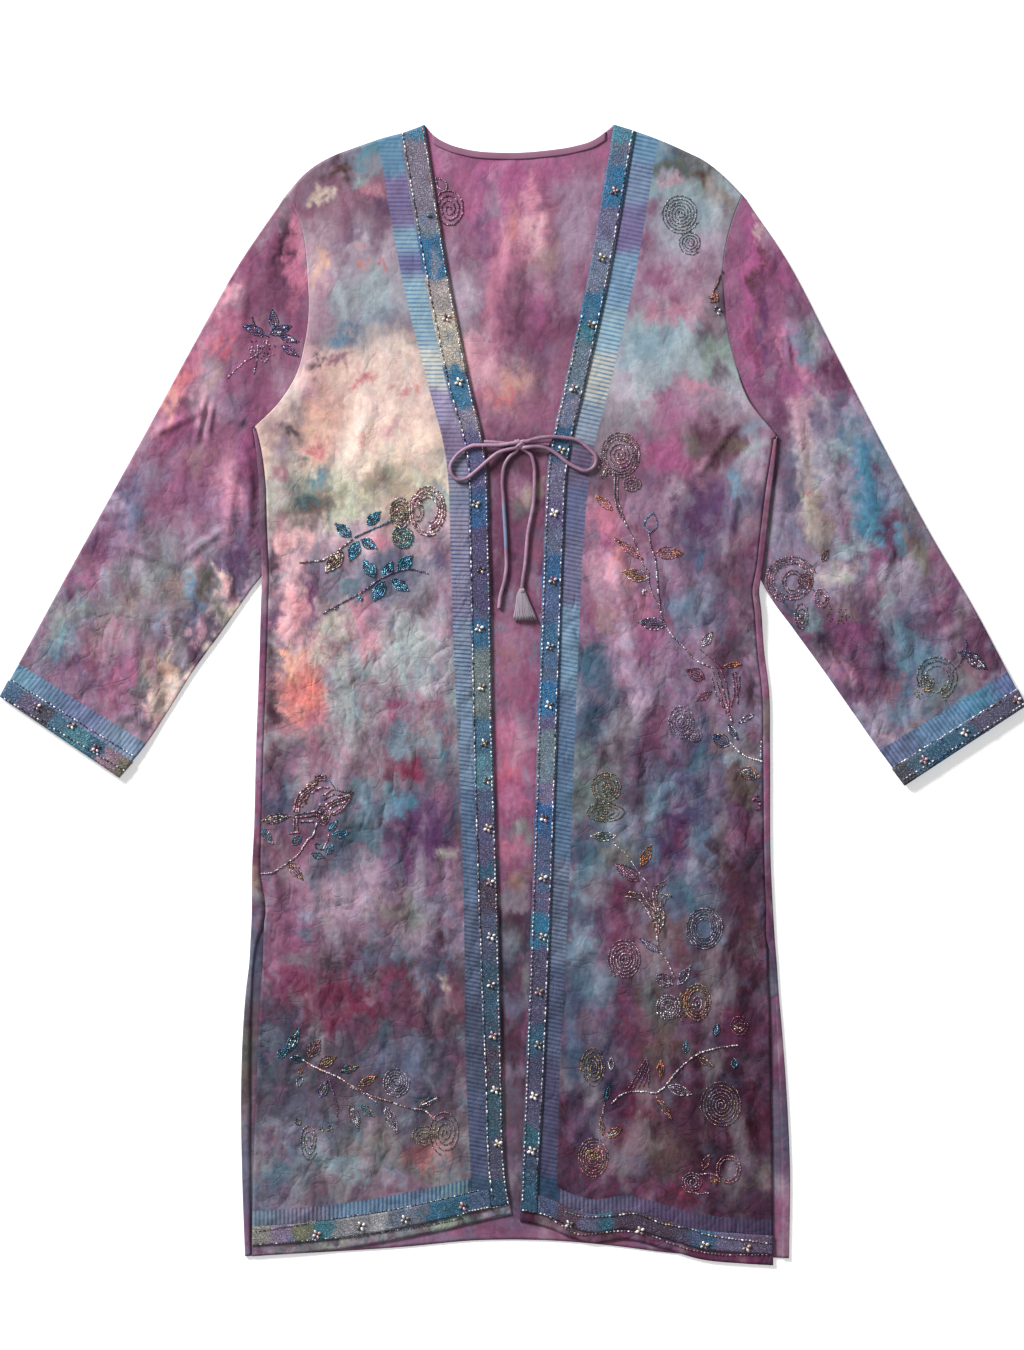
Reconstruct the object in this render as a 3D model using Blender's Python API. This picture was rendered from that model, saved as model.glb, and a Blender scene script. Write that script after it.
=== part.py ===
"""A long open-front kimono robe of dyed silk, laid flat on its back with its sleeves out.

Tables are in millimetres. A distance is measured out from the centre-back line, and a height up
from the lowest point of the hem. The wearer's left side is at +X, the neck at +Y, and the surface
that the robe lies on is z = 0.
"""

import math

import bmesh
import bpy
import numpy as np

MM = 0.001

LENGTH = 1141.0  # top of the shoulder at the neck down to the lowest point of the hem
CLOTH = 1.2  # wall of a panel
TRIM = 1.0  # wall of an embroidered band
BINDING = 0.8  # wall of the neck binding
SEAM = 0.3  # gap that parts two sewn pieces
HEM_TURN = 11.0  # plain turned edge below the embroidery of the front hem
HEM_BAND = 30.0  # top of the embroidery above the edge of the hem
CUFF_BAND = 21.0  # width of the embroidered cuff
BINDING_WIDTH = 6.5
TIE = 3.8  # diameter of the tie

SIDE_FOLD_RISE = 2.2  # how far the back's wrapped edge stands over its lower layer, above the slit
SLIT_FOLD_RISE = 1.6  # the same along the slit, where it is pressed flat
TUCK_RISE = 3.6  # how far the body rides up over the sleeve's tucked underarm
TUCK_SPAN = (600.0, 664.0, 845.0, 905.0)  # heights where that ride starts, is full, and ends again
TUCK_REACH = (18.0, 62.0)  # it is full this far in from the side, and gone by here
TUCK_EASE = 0.35  # the front stands this much further off the back there
FRONT_SETTLE = 26.0  # the front sinks from the side seam on to the back over this distance

# height, fold edge, free edge of the wrapped back, gap from there to the front panel's edge
SIDE = {
    "right": [
        (10, 268, 262.5, 1.5), (96, 271, 263, 3.5), (166, 272, 263, 6), (236, 270, 262.5, 8.5),
        (276, 267, 261.5, 9.5), (306, 263.5, 259.5, 9.5), (326, 262.5, 256, 6.5),
        (344, 261.5, 249, 0.3), (396, 261, 252.6, 0.3), (436, 259, 251.8, 0.3),
        (516, 257, 249.8, 0.3), (596, 254, 246.8, 0.3), (656, 252, 244.8, 0.3),
        (689, 251, 244, 0.3), (736, 252.7, 245.7, 0.3), (796, 255, 248.5, 0.3),
        (821, 257.5, 252.5, 0.3), (837, 260, 256.5, 0.3),
    ],
    "left": [
        (8, 276, 268.5, 8.5), (96, 277, 268, 9), (166, 274, 266.5, 8.5), (236, 269, 263.5, 6.5),
        (276, 265.5, 262, 6.5), (306, 263.5, 259.5, 5.5), (324, 262, 254, 0.3),
        (356, 260, 252.8, 0.3), (396, 258, 251.5, 0.3), (516, 257, 250, 0.3),
        (576, 256, 248.8, 0.3), (616, 251, 244, 0.3), (656, 248, 241, 0.3), (676, 246, 239, 0.3),
        (696, 249.5, 242.5, 0.3), (736, 254, 247.2, 0.3), (776, 258.5, 252.2, 0.3),
        (816, 263, 258.5, 0.3), (829, 264, 260.5, 0.3),
    ],
}
SLIT_TOP = {"right": 344.0, "left": 324.0}

# height, distance of the armhole seam
ARMHOLE = {
    "right": [
        (837, 260), (858, 238), (886, 219), (923, 208), (956, 204), (985, 205), (1041, 212),
        (1073, 225),
    ],
    "left": [
        (829, 264), (866, 235), (896, 224), (932, 215), (967, 210), (1010, 211), (1041, 218),
        (1071, 229),
    ],
}

# distance, height of the shoulder line
SHOULDER = {
    "right": [
        (88.5, 1141), (97, 1137), (129, 1128), (161, 1117), (177, 1111), (193, 1103),
        (209, 1091), (225, 1073),
    ],
    "left": [
        (100.8, 1141), (111, 1138), (143, 1127), (175, 1113), (191, 1105), (207, 1093),
        (229, 1071),
    ],
}

# height, distance of the front edge, width of its band
FRONT_EDGE = {
    "right": [
        (52, 1, 18), (73, 4.7, 17.7), (201, 11, 18), (306, 13.3, 20), (566, 21, 20),
        (717, 23.5, 20.5), (816, 28.4, 19.5), (879, 42.4, 22.5), (971, 61, 23), (1141, 88.5, 25),
    ],
    "left": [
        (45, 7, 17), (76, 8, 17), (201, 12.8, 19), (326, 17.4, 19.5), (617, 27, 20),
        (717, 30.4, 20), (816, 37, 20), (879, 51, 20.5), (971, 71.4, 20.5), (1141, 100.8, 21.5),
    ],
}

# distance, height of the front hem
FRONT_HEM = {
    "right": [(1, 52), (20, 48), (73, 35.5), (136, 23), (199, 14.4), (261, 10)],
    "left": [
        (7, 45), (38, 38), (59, 28), (80, 23), (111, 27), (153, 17), (188, 7), (227, 3), (260, 1),
    ],
}

# x, height of the back hem, then of the back neckline
BACK_HEM = [
    (-268, 10), (-199, 13.5), (-113, 19), (-33, 26), (31, 26), (95, 21), (160, 13), (276, 8),
]
NECKLINE = [
    (-88.5, 1141), (-81, 1132), (-65, 1122), (-49, 1117), (-9, 1113), (31, 1115), (63, 1120),
    (79, 1125), (95, 1136), (100.8, 1141),
]

# distance, height along the sleeve's upper edge and along its underarm edge
SLEEVE_TOP = {
    "right": [
        (225, 1073), (273, 1003), (321, 918), (369, 830), (417, 743), (465, 656), (512, 569),
    ],
    "left": [
        (229, 1071), (271, 1010), (319, 919), (367, 826), (415, 736), (463, 654), (512, 560),
    ],
}
SLEEVE_UNDER = {
    "right": [
        (260, 837), (253, 796), (246, 766), (242, 726), (249, 694), (262, 676), (290, 636),
        (319, 596), (344, 556), (371, 516), (394, 489),
    ],
    "left": [
        (264, 829), (258, 796), (249, 766), (242, 726), (244, 696), (253, 676), (281, 636),
        (310, 596), (338, 556), (366, 516), (392, 481),
    ],
}
# share of the way from the top of the sleeve's cap to its end, height of the flattened sleeve
SLEEVE_HEIGHT = [(0, 3.2), (0.55, 3.2), (0.75, 3.8), (0.93, 3.8), (0.97, 4.8), (1, 4.8)]
CAP_START = 0.013  # share of the way along the upper edge where the cap's first row meets it
UNDERARM_ROWS = 13
SLEEVE_COLUMNS = 8  # spans across each layer of the sleeve

# distance and height of a soft fold's two ends, its rise, and half its width
FRONT_FOLDS = {
    "right": [
        (235, 800, 190, 640, 2.4, 10), (212, 705, 236, 560, 2.0, 9), (66, 870, 125, 700, 1.6, 13),
        (170, 560, 110, 330, 2.2, 14), (62, 520, 92, 300, 1.8, 12), (220, 420, 172, 180, 2.2, 13),
        (100, 260, 62, 90, 1.8, 11), (212, 1000, 150, 900, 1.6, 12),
    ],
    "left": [
        (90, 760, 150, 520, 2.5, 12), (150, 640, 232, 400, 2.2, 11), (228, 850, 170, 780, 2.0, 10),
        (120, 480, 100, 260, 2.0, 13), (190, 400, 160, 150, 2.2, 13), (70, 320, 112, 110, 1.8, 11),
        (214, 980, 160, 900, 1.6, 12), (228, 300, 216, 90, 1.8, 11),
    ],
}
SLEEVE_FOLDS = {
    "right": [
        (235, 1040, 238, 850, 2.2, 8), (276, 900, 322, 760, 2.0, 11), (288, 738, 330, 648, 2.4, 9),
        (332, 680, 382, 566, 2.6, 9), (362, 800, 402, 680, 1.8, 11), (414, 690, 440, 600, 1.8, 10),
    ],
    "left": [
        (236, 1030, 244, 860, 2.2, 8), (284, 900, 322, 770, 2.0, 11), (300, 730, 336, 654, 2.4, 9),
        (332, 662, 378, 560, 2.6, 9), (368, 790, 410, 680, 1.8, 11), (420, 680, 444, 600, 1.8, 10),
    ],
}
FOLD_CLEARANCE = (4.0, 30.0)  # a sleeve's folds grow over this distance out from the body's side

WRAP_POINTS = 7  # free edge, a middle point, and five round the fold
SLIT_ROWS = 7
SIDE_ROWS = 12
ARMHOLE_ROWS = 9
FRONT_COLUMNS = (0, 0.04, 0.1, 0.18, 0.28, 0.4, 0.52, 0.64, 0.76, 0.88, 1)
BACK_SHARES = (0.1, 0.18, 0.28, 0.4, 0.64, 0.88)
BACK_MIDDLE = (0.04, 0.12, 0.22, 0.36, 0.64, 0.78, 0.88, 0.96)

# Routes of the tie, as x, height and z. Each part starts or ends at the knot.
KNOT = (7.3, 821.5, 5.4)
KNOT_RADII = (5.6, 4.8, 3.9)
TIE_ROUTES = {
    "tie_right_lead": [(-29.2, 824, 3.5), (-20, 823.6, 3.5), (-10, 822.6, 3.5), (0.6, 821.8, 3.5)],
    "tie_right_loop": [
        (0.4, 822.6, 7.6), (-12.3, 820.6, 7.5), (-29.6, 820.4, 7.2), (-40.5, 819.9, 6.6),
        (-49.1, 816.1, 6.4), (-57.8, 808.5, 5.9), (-62.7, 798.7, 5.6), (-61.1, 791.1, 5.6),
        (-55.6, 786.2, 5.9), (-48.1, 786.8, 6.3), (-37.2, 794.4, 6.5), (-26.4, 804.1, 6.3),
        (-14.4, 813.2, 5.9), (-0.4, 817.4, 5.8),
    ],
    "tie_right_tail": [
        (3.2, 814.6, 3.5), (-1.5, 811, 3.5), (-7.9, 802, 3.5), (-10.6, 786.8, 3.5),
        (-9.6, 766.2, 3.5), (-8.6, 750, 3.5), (-7, 717, 3.5), (-6.9, 696, 3.5),
        (-9.2, 682.6, 3.5), (-12.3, 671, 3.5), (-14.1, 658.1, 3.5),
    ],
    "tie_left_lead": [(36.3, 821.5, 3.5), (25, 821.6, 3.5), (14.4, 821.8, 3.5)],
    "tie_left_loop": [
        (13.9, 824.4, 7.4), (20.3, 826.4, 7.4), (35.5, 828.7, 7.3), (51.7, 828, 6.6),
        (64.7, 825.3, 6), (75.6, 817.1, 5.6), (83.2, 807.4, 5.6), (81, 799.2, 5.6),
        (73.4, 794.9, 5.8), (62.6, 798.2, 6.2), (52.8, 804.1, 6.5), (42, 812.8, 6.9),
        (33.3, 817.4, 7.4), (24.6, 819, 7.5), (14, 818.4, 7.3),
    ],
    "tie_left_tail": [
        (13.2, 814.6, 3.5), (17.4, 811.6, 3.5), (20.8, 802, 3.5), (21.6, 786.8, 3.5),
        (20.8, 766.2, 3.5), (15, 733, 3.5), (11.4, 696, 3.5), (10, 687.1, 3.5), (9, 678.4, 3.5),
    ],
}

TASSEL_TOP = (8.9, 677.8)
TASSEL_SHOULDER = (8.6, 671.5)
TASSEL_FOOT = (12.0, 646.4)
TASSEL_WIDTHS = (4.0, 10.4, 23.4)  # across its top, its shoulder and the strands' ends
TASSEL_DEPTHS = (3.0, 4.6, 4.4)
TASSEL_GRID = (14, 3)  # strands across, and through
TASSEL_MIDDLE = 4.1  # height of its middle over the surface
STRAND_GAP = 0.12

MAUVE_SILK = ("mauve silk", (0.26, 0.13, 0.21), 0.5)
AQUA_SILK = ("aqua and mauve silk", (0.27, 0.27, 0.33), 0.48)
BLUE_BAND = ("blue embroidery", (0.09, 0.2, 0.3), 0.6)
TIE_SILK = ("mauve tie silk", (0.27, 0.16, 0.22), 0.55)
TASSEL_SILK = ("lilac grey floss", (0.4, 0.36, 0.42), 0.6)


def clear_scene():
    for obj in list(bpy.data.objects):
        bpy.data.objects.remove(obj)


def through(rows, column, at):
    """One column of a table at a key: a cubic through its rows, with each row's slope from its neighbours."""
    table = np.array(rows, float)
    key = table[:, 0]
    value = table[:, column]
    slope = np.gradient(value, key)
    at = np.clip(np.asarray(at, float), key[0], key[-1])
    i = np.clip(np.searchsorted(key, at, side="right") - 1, 0, len(key) - 2)
    step = key[i + 1] - key[i]
    t = (at - key[i]) / step
    start = (1 + 2 * t) * (1 - t) ** 2 * value[i] + t * (1 - t) ** 2 * step * slope[i]
    end = t * t * (3 - 2 * t) * value[i + 1] + t * t * (t - 1) * step * slope[i + 1]
    return start + end


def along(rows, share):
    """Points at shares of the length of the smooth curve through the rows."""
    rows = np.array(rows, float)
    chord = np.linalg.norm(np.diff(rows, axis=0), axis=1)
    keyed = np.column_stack([np.concatenate([[0], np.cumsum(chord)]), rows])
    fine = np.linspace(0, keyed[-1, 0], 400)
    curve = np.stack([through(keyed, c + 1, fine) for c in range(rows.shape[1])], axis=-1)
    run = np.concatenate([[0], np.cumsum(np.linalg.norm(np.diff(curve, axis=0), axis=1))])
    at = np.asarray(share) * run[-1]
    return np.stack([np.interp(at, run, curve[:, c]) for c in range(rows.shape[1])], axis=-1)


def ease(low, high, value):
    """0 below low, 1 above high, smooth between."""
    t = np.clip((np.asarray(value, float) - low) / (high - low), 0, 1)
    return t * t * (3 - 2 * t)


def mix(a, b, t):
    return a + (b - a) * t


def folds(rows, sign, x, h):
    """Rise of the soft ridges over a point: a bell across each ridge, tapering to its ends."""
    rise = np.zeros(np.broadcast(x, h).shape)
    for x1, h1, x2, h2, top, half in rows:
        start = np.array([sign * x1, h1])
        run = np.array([sign * x2, h2]) - start
        length = np.linalg.norm(run)
        run = run / length
        forward = ((x - start[0]) * run[0] + (h - start[1]) * run[1]) / length
        aside = (x - start[0]) * run[1] - (h - start[1]) * run[0]
        taper = ease(-0.12, 0.3, forward) * (1 - ease(0.7, 1.12, forward))
        rise += top * taper * np.exp(-((aside / half) ** 2))
    return rise


def tuck_rise(inward, h):
    """How far the body stands up where the sleeve's underarm lies beneath it."""
    low, full, still, gone = TUCK_SPAN
    upright = ease(low, full, h) * (1 - ease(still, gone, h))
    return TUCK_RISE * upright * (1 - ease(*TUCK_REACH, inward))


def edge_heights(side, hem):
    """Heights of a panel's rows at its side: hem, slit top, armpit, shoulder, with rows between."""
    armpit = ARMHOLE[side][0][0]
    shoulder = ARMHOLE[side][-1][0]
    slit = np.linspace(hem + HEM_BAND, SLIT_TOP[side], SLIT_ROWS)
    seam = np.linspace(SLIT_TOP[side], armpit, SIDE_ROWS + 1)[1:]
    armhole = armpit + (shoulder - armpit) * np.linspace(0, 1, ARMHOLE_ROWS + 1)[1:] ** 1.15
    return np.concatenate([[hem, hem + HEM_TURN], slit, seam, armhole])


def side_distance(side, h, column):
    """A column of the side's table up to the armpit, and the armhole above it."""
    armpit = ARMHOLE[side][0][0]
    return np.where(h <= armpit, through(SIDE[side], column, h), through(ARMHOLE[side], 1, h))


def front_side_distance(side, h):
    armpit = ARMHOLE[side][0][0]
    seam = through(SIDE[side], 2, h) - np.maximum(through(SIDE[side], 3, h), SEAM)
    return np.where(h <= armpit, seam, through(ARMHOLE[side], 1, h))


def fold_rise(side, h):
    return mix(SLIT_FOLD_RISE, SIDE_FOLD_RISE, ease(SLIT_TOP[side] - 40, SLIT_TOP[side] + 40, h))


def normals_of(grid, sewn_from=None):
    """Unit normals from the grid's own tangents, down its rows and across its columns.

    From the row sewn_from on, the grid's first and last columns are one line.
    """
    down = np.gradient(grid, axis=0)
    across = np.gradient(grid, axis=1)
    if sewn_from is not None:
        across[sewn_from:, 0] = across[sewn_from:, -1] = (grid[:, 1] - grid[:, -2])[sewn_from:]
    normal = np.cross(across, down)
    return normal / np.linalg.norm(normal, axis=2, keepdims=True)


def raised(grid, by, sewn_from=None):
    return grid + by * normals_of(grid, sewn_from)


def set_in_place(points):
    """Table coordinates to metres, with the origin at the middle of the robe's length."""
    points = np.array(points, float)
    points[..., 1] -= LENGTH / 2
    return points * MM


def finish(obj, material):
    name, colour, roughness = material
    made = bpy.data.materials.get(name) or bpy.data.materials.new(name)
    made.use_nodes = True
    shader = made.node_tree.nodes["Principled BSDF"]
    shader.inputs["Base Color"].default_value = (*colour, 1)
    shader.inputs["Roughness"].default_value = roughness
    shader.inputs["Metallic"].default_value = 0.0
    obj.data.materials.append(made)
    return obj


def mesh_object(name, vertices, faces, material):
    mesh = bpy.data.meshes.new(name)
    mesh.from_pydata(np.asarray(vertices).tolist(), [], faces)
    shape = bmesh.new()
    shape.from_mesh(mesh)
    loose = [v for v in shape.verts if not v.link_faces]
    bmesh.ops.delete(shape, geom=loose, context="VERTS")
    bmesh.ops.recalc_face_normals(shape, faces=shape.faces)
    shape.to_mesh(mesh)
    shape.free()
    mesh.shade_smooth()
    obj = bpy.data.objects.new(name, mesh)
    bpy.context.scene.collection.objects.link(obj)
    return finish(obj, material)


def cloth(name, grid, wall, material, sewn_from=None):
    """A wall on both sides of a grid of middle points, closed round its free edges.

    From the row sewn_from on, the first and last columns are one line, as in a tube. Each cell is
    cut along its shorter diagonal in plan, so that panels that share rows lie parallel.
    """
    rows, columns = grid.shape[:2]
    sewn = rows if sewn_from is None else sewn_from
    offset = normals_of(grid, sewn_from) * wall / 2
    vertices = np.concatenate([(grid + offset).reshape(-1, 3), (grid - offset).reshape(-1, 3)])
    index = np.arange(rows * columns).reshape(rows, columns)
    index[sewn:, -1] = index[sewn:, 0]
    under = rows * columns
    faces = []
    for r in range(rows - 1):
        for c in range(columns - 1):
            near = np.linalg.norm(grid[r, c, :2] - grid[r + 1, c + 1, :2])
            far = np.linalg.norm(grid[r, c + 1, :2] - grid[r + 1, c, :2])
            ring = [int(index[r + a, c + b]) for a, b in ((0, 0), (0, 1), (1, 1), (1, 0))]
            if far < near:
                ring = ring[1:] + ring[:1]
            for corners in (ring[:3], [ring[0], ring[2], ring[3]]):
                faces.append(tuple(corners))
                faces.append(tuple(under + i for i in reversed(corners)))
    edges = list(zip(index[0, :-1], index[0, 1:])) + list(zip(index[-1, 1:], index[-1, :-1]))
    open_rows = min(sewn, rows - 1)
    edges += [(index[r + 1, 0], index[r, 0]) for r in range(open_rows)]
    edges += [(index[r, -1], index[r + 1, -1]) for r in range(open_rows)]
    faces += [(int(a), int(under + a), int(under + b), int(b)) for a, b in edges]
    return mesh_object(name, set_in_place(vertices), faces, material)


def wrapped_edge(side, h):
    """The back's side in section, from its free edge over the fold and down to its lower layer."""
    armpit = ARMHOLE[side][0][0]
    rise = fold_rise(side, h)
    radius = rise / 2
    edge = side_distance(side, h, 1)
    bottom = CLOTH / 2
    if h > armpit:
        return edge - np.arange(WRAP_POINTS) * 0.9, np.full(WRAP_POINTS, bottom)
    free = side_distance(side, h, 2)
    centre = edge - CLOTH / 2 - radius
    turn = np.radians([90, 45, 0, -45, -90])
    distance = np.concatenate([[free, mix(free, centre, 0.5)], centre + radius * np.cos(turn)])
    z = np.concatenate([[bottom + rise] * 2, bottom + radius + radius * np.sin(turn)])
    return distance, z


def row_height(side, h_side, hem_side, foot, top):
    """A point's height on a row: the hem's curve fades out up to the slit, the shoulder's fades in."""
    shoulder = ARMHOLE[side][-1][0]
    from_hem = (foot - hem_side) * (1 - ease(hem_side, SLIT_TOP[side], h_side))
    return h_side + from_hem + (top - shoulder) * ease(shoulder / 2, shoulder, h_side)


def front_edge_at(side, h_side, hem_side, foot):
    """Height, distance and band width where a row meets the front edge."""
    h = row_height(side, h_side, hem_side, foot, SHOULDER[side][0][1])
    return h, through(FRONT_EDGE[side], 1, h), through(FRONT_EDGE[side], 2, h)


def front_row(side, h_side, hem_side, shares):
    """Distances and shoulder heights at shares of a row, from the side seam to the band's inner edge."""
    foot = FRONT_EDGE[side][0][0]
    _, edge, band = front_edge_at(side, h_side, hem_side, foot)
    at_side = front_side_distance(side, h_side)
    distance = mix(at_side, edge + band, np.asarray(shares))
    across = (distance - at_side) / (edge - at_side)
    reach = mix(SHOULDER[side][-1][0], SHOULDER[side][0][0], across)
    return distance, through(SHOULDER[side], 1, reach)


def half_back_row(side, h_side):
    """The back's row from its free edge round the fold and in to the line of the front edge."""
    hem_side = SIDE[side][0][0]
    distance, z = wrapped_edge(side, h_side)
    inner, top = front_row(side, h_side, hem_side, BACK_SHARES)
    edge = front_edge_at(side, h_side, hem_side, FRONT_EDGE[side][0][0])[1]
    distance = np.concatenate([distance, inner, [edge]])
    z = np.concatenate([z, np.full(len(inner) + 1, CLOTH / 2)])
    tops = np.concatenate([np.full(WRAP_POINTS, ARMHOLE[side][-1][0]), top, [SHOULDER[side][0][1]]])
    if h_side > ARMHOLE[side][0][0]:
        reach = SHOULDER[side][-1][0] - (distance[0] - distance[:WRAP_POINTS])
        tops[:WRAP_POINTS] = through(SHOULDER[side], 1, reach)
    z = z + tuck_rise(side_distance(side, h_side, 1) - distance, h_side)
    return distance, tops, z


def back_grid():
    """Rows from hem to shoulder: right wrap and half, middle, left half and wrap."""
    hems = {side: SIDE[side][0][0] for side in ("right", "left")}
    heights = {side: edge_heights(side, hems[side]) for side in ("right", "left")}
    grid = []
    for right, left in zip(heights["right"], heights["left"]):
        r_distance, r_top, r_z = half_back_row("right", right)
        l_distance, l_top, l_z = half_back_row("left", left)
        t = np.array(BACK_MIDDLE)
        x_middle = mix(-r_distance[-1], l_distance[-1], t)
        top_middle = through(NECKLINE, 1, mix(NECKLINE[0][0], NECKLINE[-1][0], t))
        parts = []
        for side, h_side, x, top in (
            ("right", right, -r_distance, r_top),
            ("middle", None, x_middle, top_middle),
            ("left", left, l_distance[::-1], l_top[::-1]),
        ):
            foot = through(BACK_HEM, 1, x)
            if side == "middle":
                a = row_height("right", right, hems["right"], foot, top)
                b = row_height("left", left, hems["left"], foot, top)
                parts.append(mix(a, b, t))
            else:
                parts.append(row_height(side, h_side, hems[side], foot, top))
        x = np.concatenate([-r_distance, x_middle, l_distance[::-1]])
        z = np.concatenate([r_z, np.full(len(t), CLOTH / 2), l_z[::-1]])
        grid.append(np.stack([x, np.concatenate(parts), z], axis=-1))
    return np.array(grid)


def front_grid(side):
    """Rows from hem to shoulder, columns from the side to the band and over it to the front edge."""
    sign = -1 if side == "right" else 1
    hem_side = FRONT_HEM[side][-1][1]
    foot_edge = FRONT_EDGE[side][0]
    grid = []
    for h_side in edge_heights(side, hem_side):
        distance, top = front_row(side, h_side, hem_side, FRONT_COLUMNS)
        _, edge, band = front_edge_at(side, h_side, hem_side, foot_edge[0])
        distance = np.concatenate([distance, [edge + band / 2, edge]])
        neck = SHOULDER[side][0][1]
        top = np.concatenate([top, [mix(top[-1], neck, 0.5), neck]])
        reach = (distance - distance[0]) / (edge - distance[0])
        foot = through(FRONT_HEM[side], 1, mix(FRONT_HEM[side][-1][0], foot_edge[1], reach))
        h = row_height(side, h_side, hem_side, foot, top)
        x = sign * distance
        settle = 1 - ease(0, FRONT_SETTLE, distance[0] - distance)
        z = CLOTH * 1.5 + SEAM + (fold_rise(side, h_side) - CLOTH - SEAM) * settle
        tuck = tuck_rise(side_distance(side, h_side, 1) - distance, h_side)
        z = z + tuck + TUCK_EASE * ease(0, 0.4, tuck)
        z = z + folds(FRONT_FOLDS[side], sign, x, h)
        grid.append(np.stack([x, h, z], axis=-1))
    return np.array(grid)


def armhole_seam(side):
    """The sleeve's edge beside the body's armhole, from the shoulder down to the armpit."""
    h = edge_heights(side, SIDE[side][0][0])[-ARMHOLE_ROWS - 1 :][::-1]
    seam = np.stack([through(ARMHOLE[side], 1, h), h], axis=-1)
    tangent = np.gradient(seam, axis=0)
    tangent /= np.linalg.norm(tangent, axis=1, keepdims=True)
    return seam + (SEAM + 0.1) * np.stack([-tangent[:, 1], tangent[:, 0]], axis=-1)


def sleeve_grid(side):
    """Rows across the sleeve, each from the underarm over the upper layer, round the upper edge and back beneath.

    The first rows are the cap's, whose ends lie along the armhole. From the armpit on, a row's two
    ends meet in the underarm fold. The last stretch between rows is the cuff band's.
    """
    sign = -1 if side == "right" else 1
    armpit = ARMHOLE[side][0][0]
    seam = armhole_seam(side)
    under_length = np.linalg.norm(np.diff(np.array(SLEEVE_UNDER[side], float), axis=0), axis=1).sum()
    to_band = np.linspace(0, 1 - CUFF_BAND / under_length, UNDERARM_ROWS)[1:]
    under = along(SLEEVE_UNDER[side], np.append(to_band, 1))
    near = np.concatenate([seam, under])
    run = np.concatenate([[0], np.cumsum(np.linalg.norm(np.diff(near, axis=0), axis=1))])
    shares = run / run[-1]
    far = along(SLEEVE_TOP[side], mix(CAP_START, 1, shares))
    turn = np.radians([90, 45, 0, -45, -90])
    grid = []
    for row, (inner, outer, share) in enumerate(zip(near, far, shares)):
        high = float(through(SLEEVE_HEIGHT, 1, share))
        radius = (high - CLOTH) / 2
        length = np.linalg.norm(outer - inner)
        upper = high - CLOTH / 2
        lower = CLOTH / 2
        bend = CLOTH / 2 + radius * (1 - np.cos(turn))
        bend_z = high / 2 + radius * np.sin(turn)
        if row < len(seam) - 1:
            start = np.array([0, 0.5, 1.0])
            start_z = np.full(3, upper)
        else:
            start = bend[2::-1]
            start_z = bend_z[2::-1]
        line = np.linspace(start[-1], length - bend[0], SLEEVE_COLUMNS + 1)[1:-1]
        distance = np.concatenate([start, line, length - bend, line[::-1], start[::-1]])
        z = np.concatenate(
            [start_z, np.full(len(line), upper), bend_z, np.full(len(line), lower), high - start_z[::-1]]
        )
        plan = inner + (outer - inner) / length * distance[:, None]
        x = sign * plan[:, 0]
        h = plan[:, 1]
        beside = plan[:, 0] - side_distance(side, np.minimum(h, armpit), 1)
        rise = folds(SLEEVE_FOLDS[side], sign, x, h) * ease(*FOLD_CLEARANCE, beside)
        lift = (TRIM + SEAM) * float(ease(0.88, 0.97, share))
        z = z + lift + rise * (np.arange(len(z)) < 3 + len(line)) * (z > high / 2)
        grid.append(np.stack([x, h, z], axis=-1))
    return np.array(grid)


def neck_binding_grid():
    """A strip down from the back neckline, as wide square to the line all along."""
    inset = 8.0
    x = np.linspace(NECKLINE[0][0] + inset, NECKLINE[-1][0] - inset, 17)
    top = through(NECKLINE, 1, x)
    slope = np.gradient(top, x)
    drop = BINDING_WIDTH * np.sqrt(1 + slope**2)
    z = np.full(len(x), CLOTH + SEAM + BINDING / 2)
    return np.array([np.stack([x, top - drop * t, z], axis=-1) for t in (1.0, 0.5, 0.0)])


def tie(name, route):
    """A round tie along a smooth curve through its route."""
    rows = np.array(route, float)
    length = np.linalg.norm(np.diff(rows, axis=0), axis=1).sum()
    count = max(4, math.ceil(length / (2.4 * TIE)) + 1)
    points = set_in_place(along(rows, np.linspace(0, 1, count)))
    curve = bpy.data.curves.new(name, "CURVE")
    curve.dimensions = "3D"
    curve.bevel_depth = TIE / 2 * MM
    curve.bevel_resolution = 2
    curve.use_fill_caps = True
    spline = curve.splines.new("POLY")
    spline.points.add(len(points) - 1)
    spline.points.foreach_set("co", np.column_stack([points, np.ones(len(points))]).ravel())
    obj = bpy.data.objects.new(name, curve)
    bpy.context.scene.collection.objects.link(obj)
    return finish(obj, TIE_SILK)


def knot():
    shape = bmesh.new()
    bmesh.ops.create_uvsphere(shape, u_segments=16, v_segments=10, radius=1.0)
    faces = [[v.index for v in f.verts] for f in shape.faces]
    points = np.array([v.co[:] for v in shape.verts]) * KNOT_RADII + KNOT
    shape.free()
    return mesh_object("tie_knot", set_in_place(points), faces, TIE_SILK)


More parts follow.
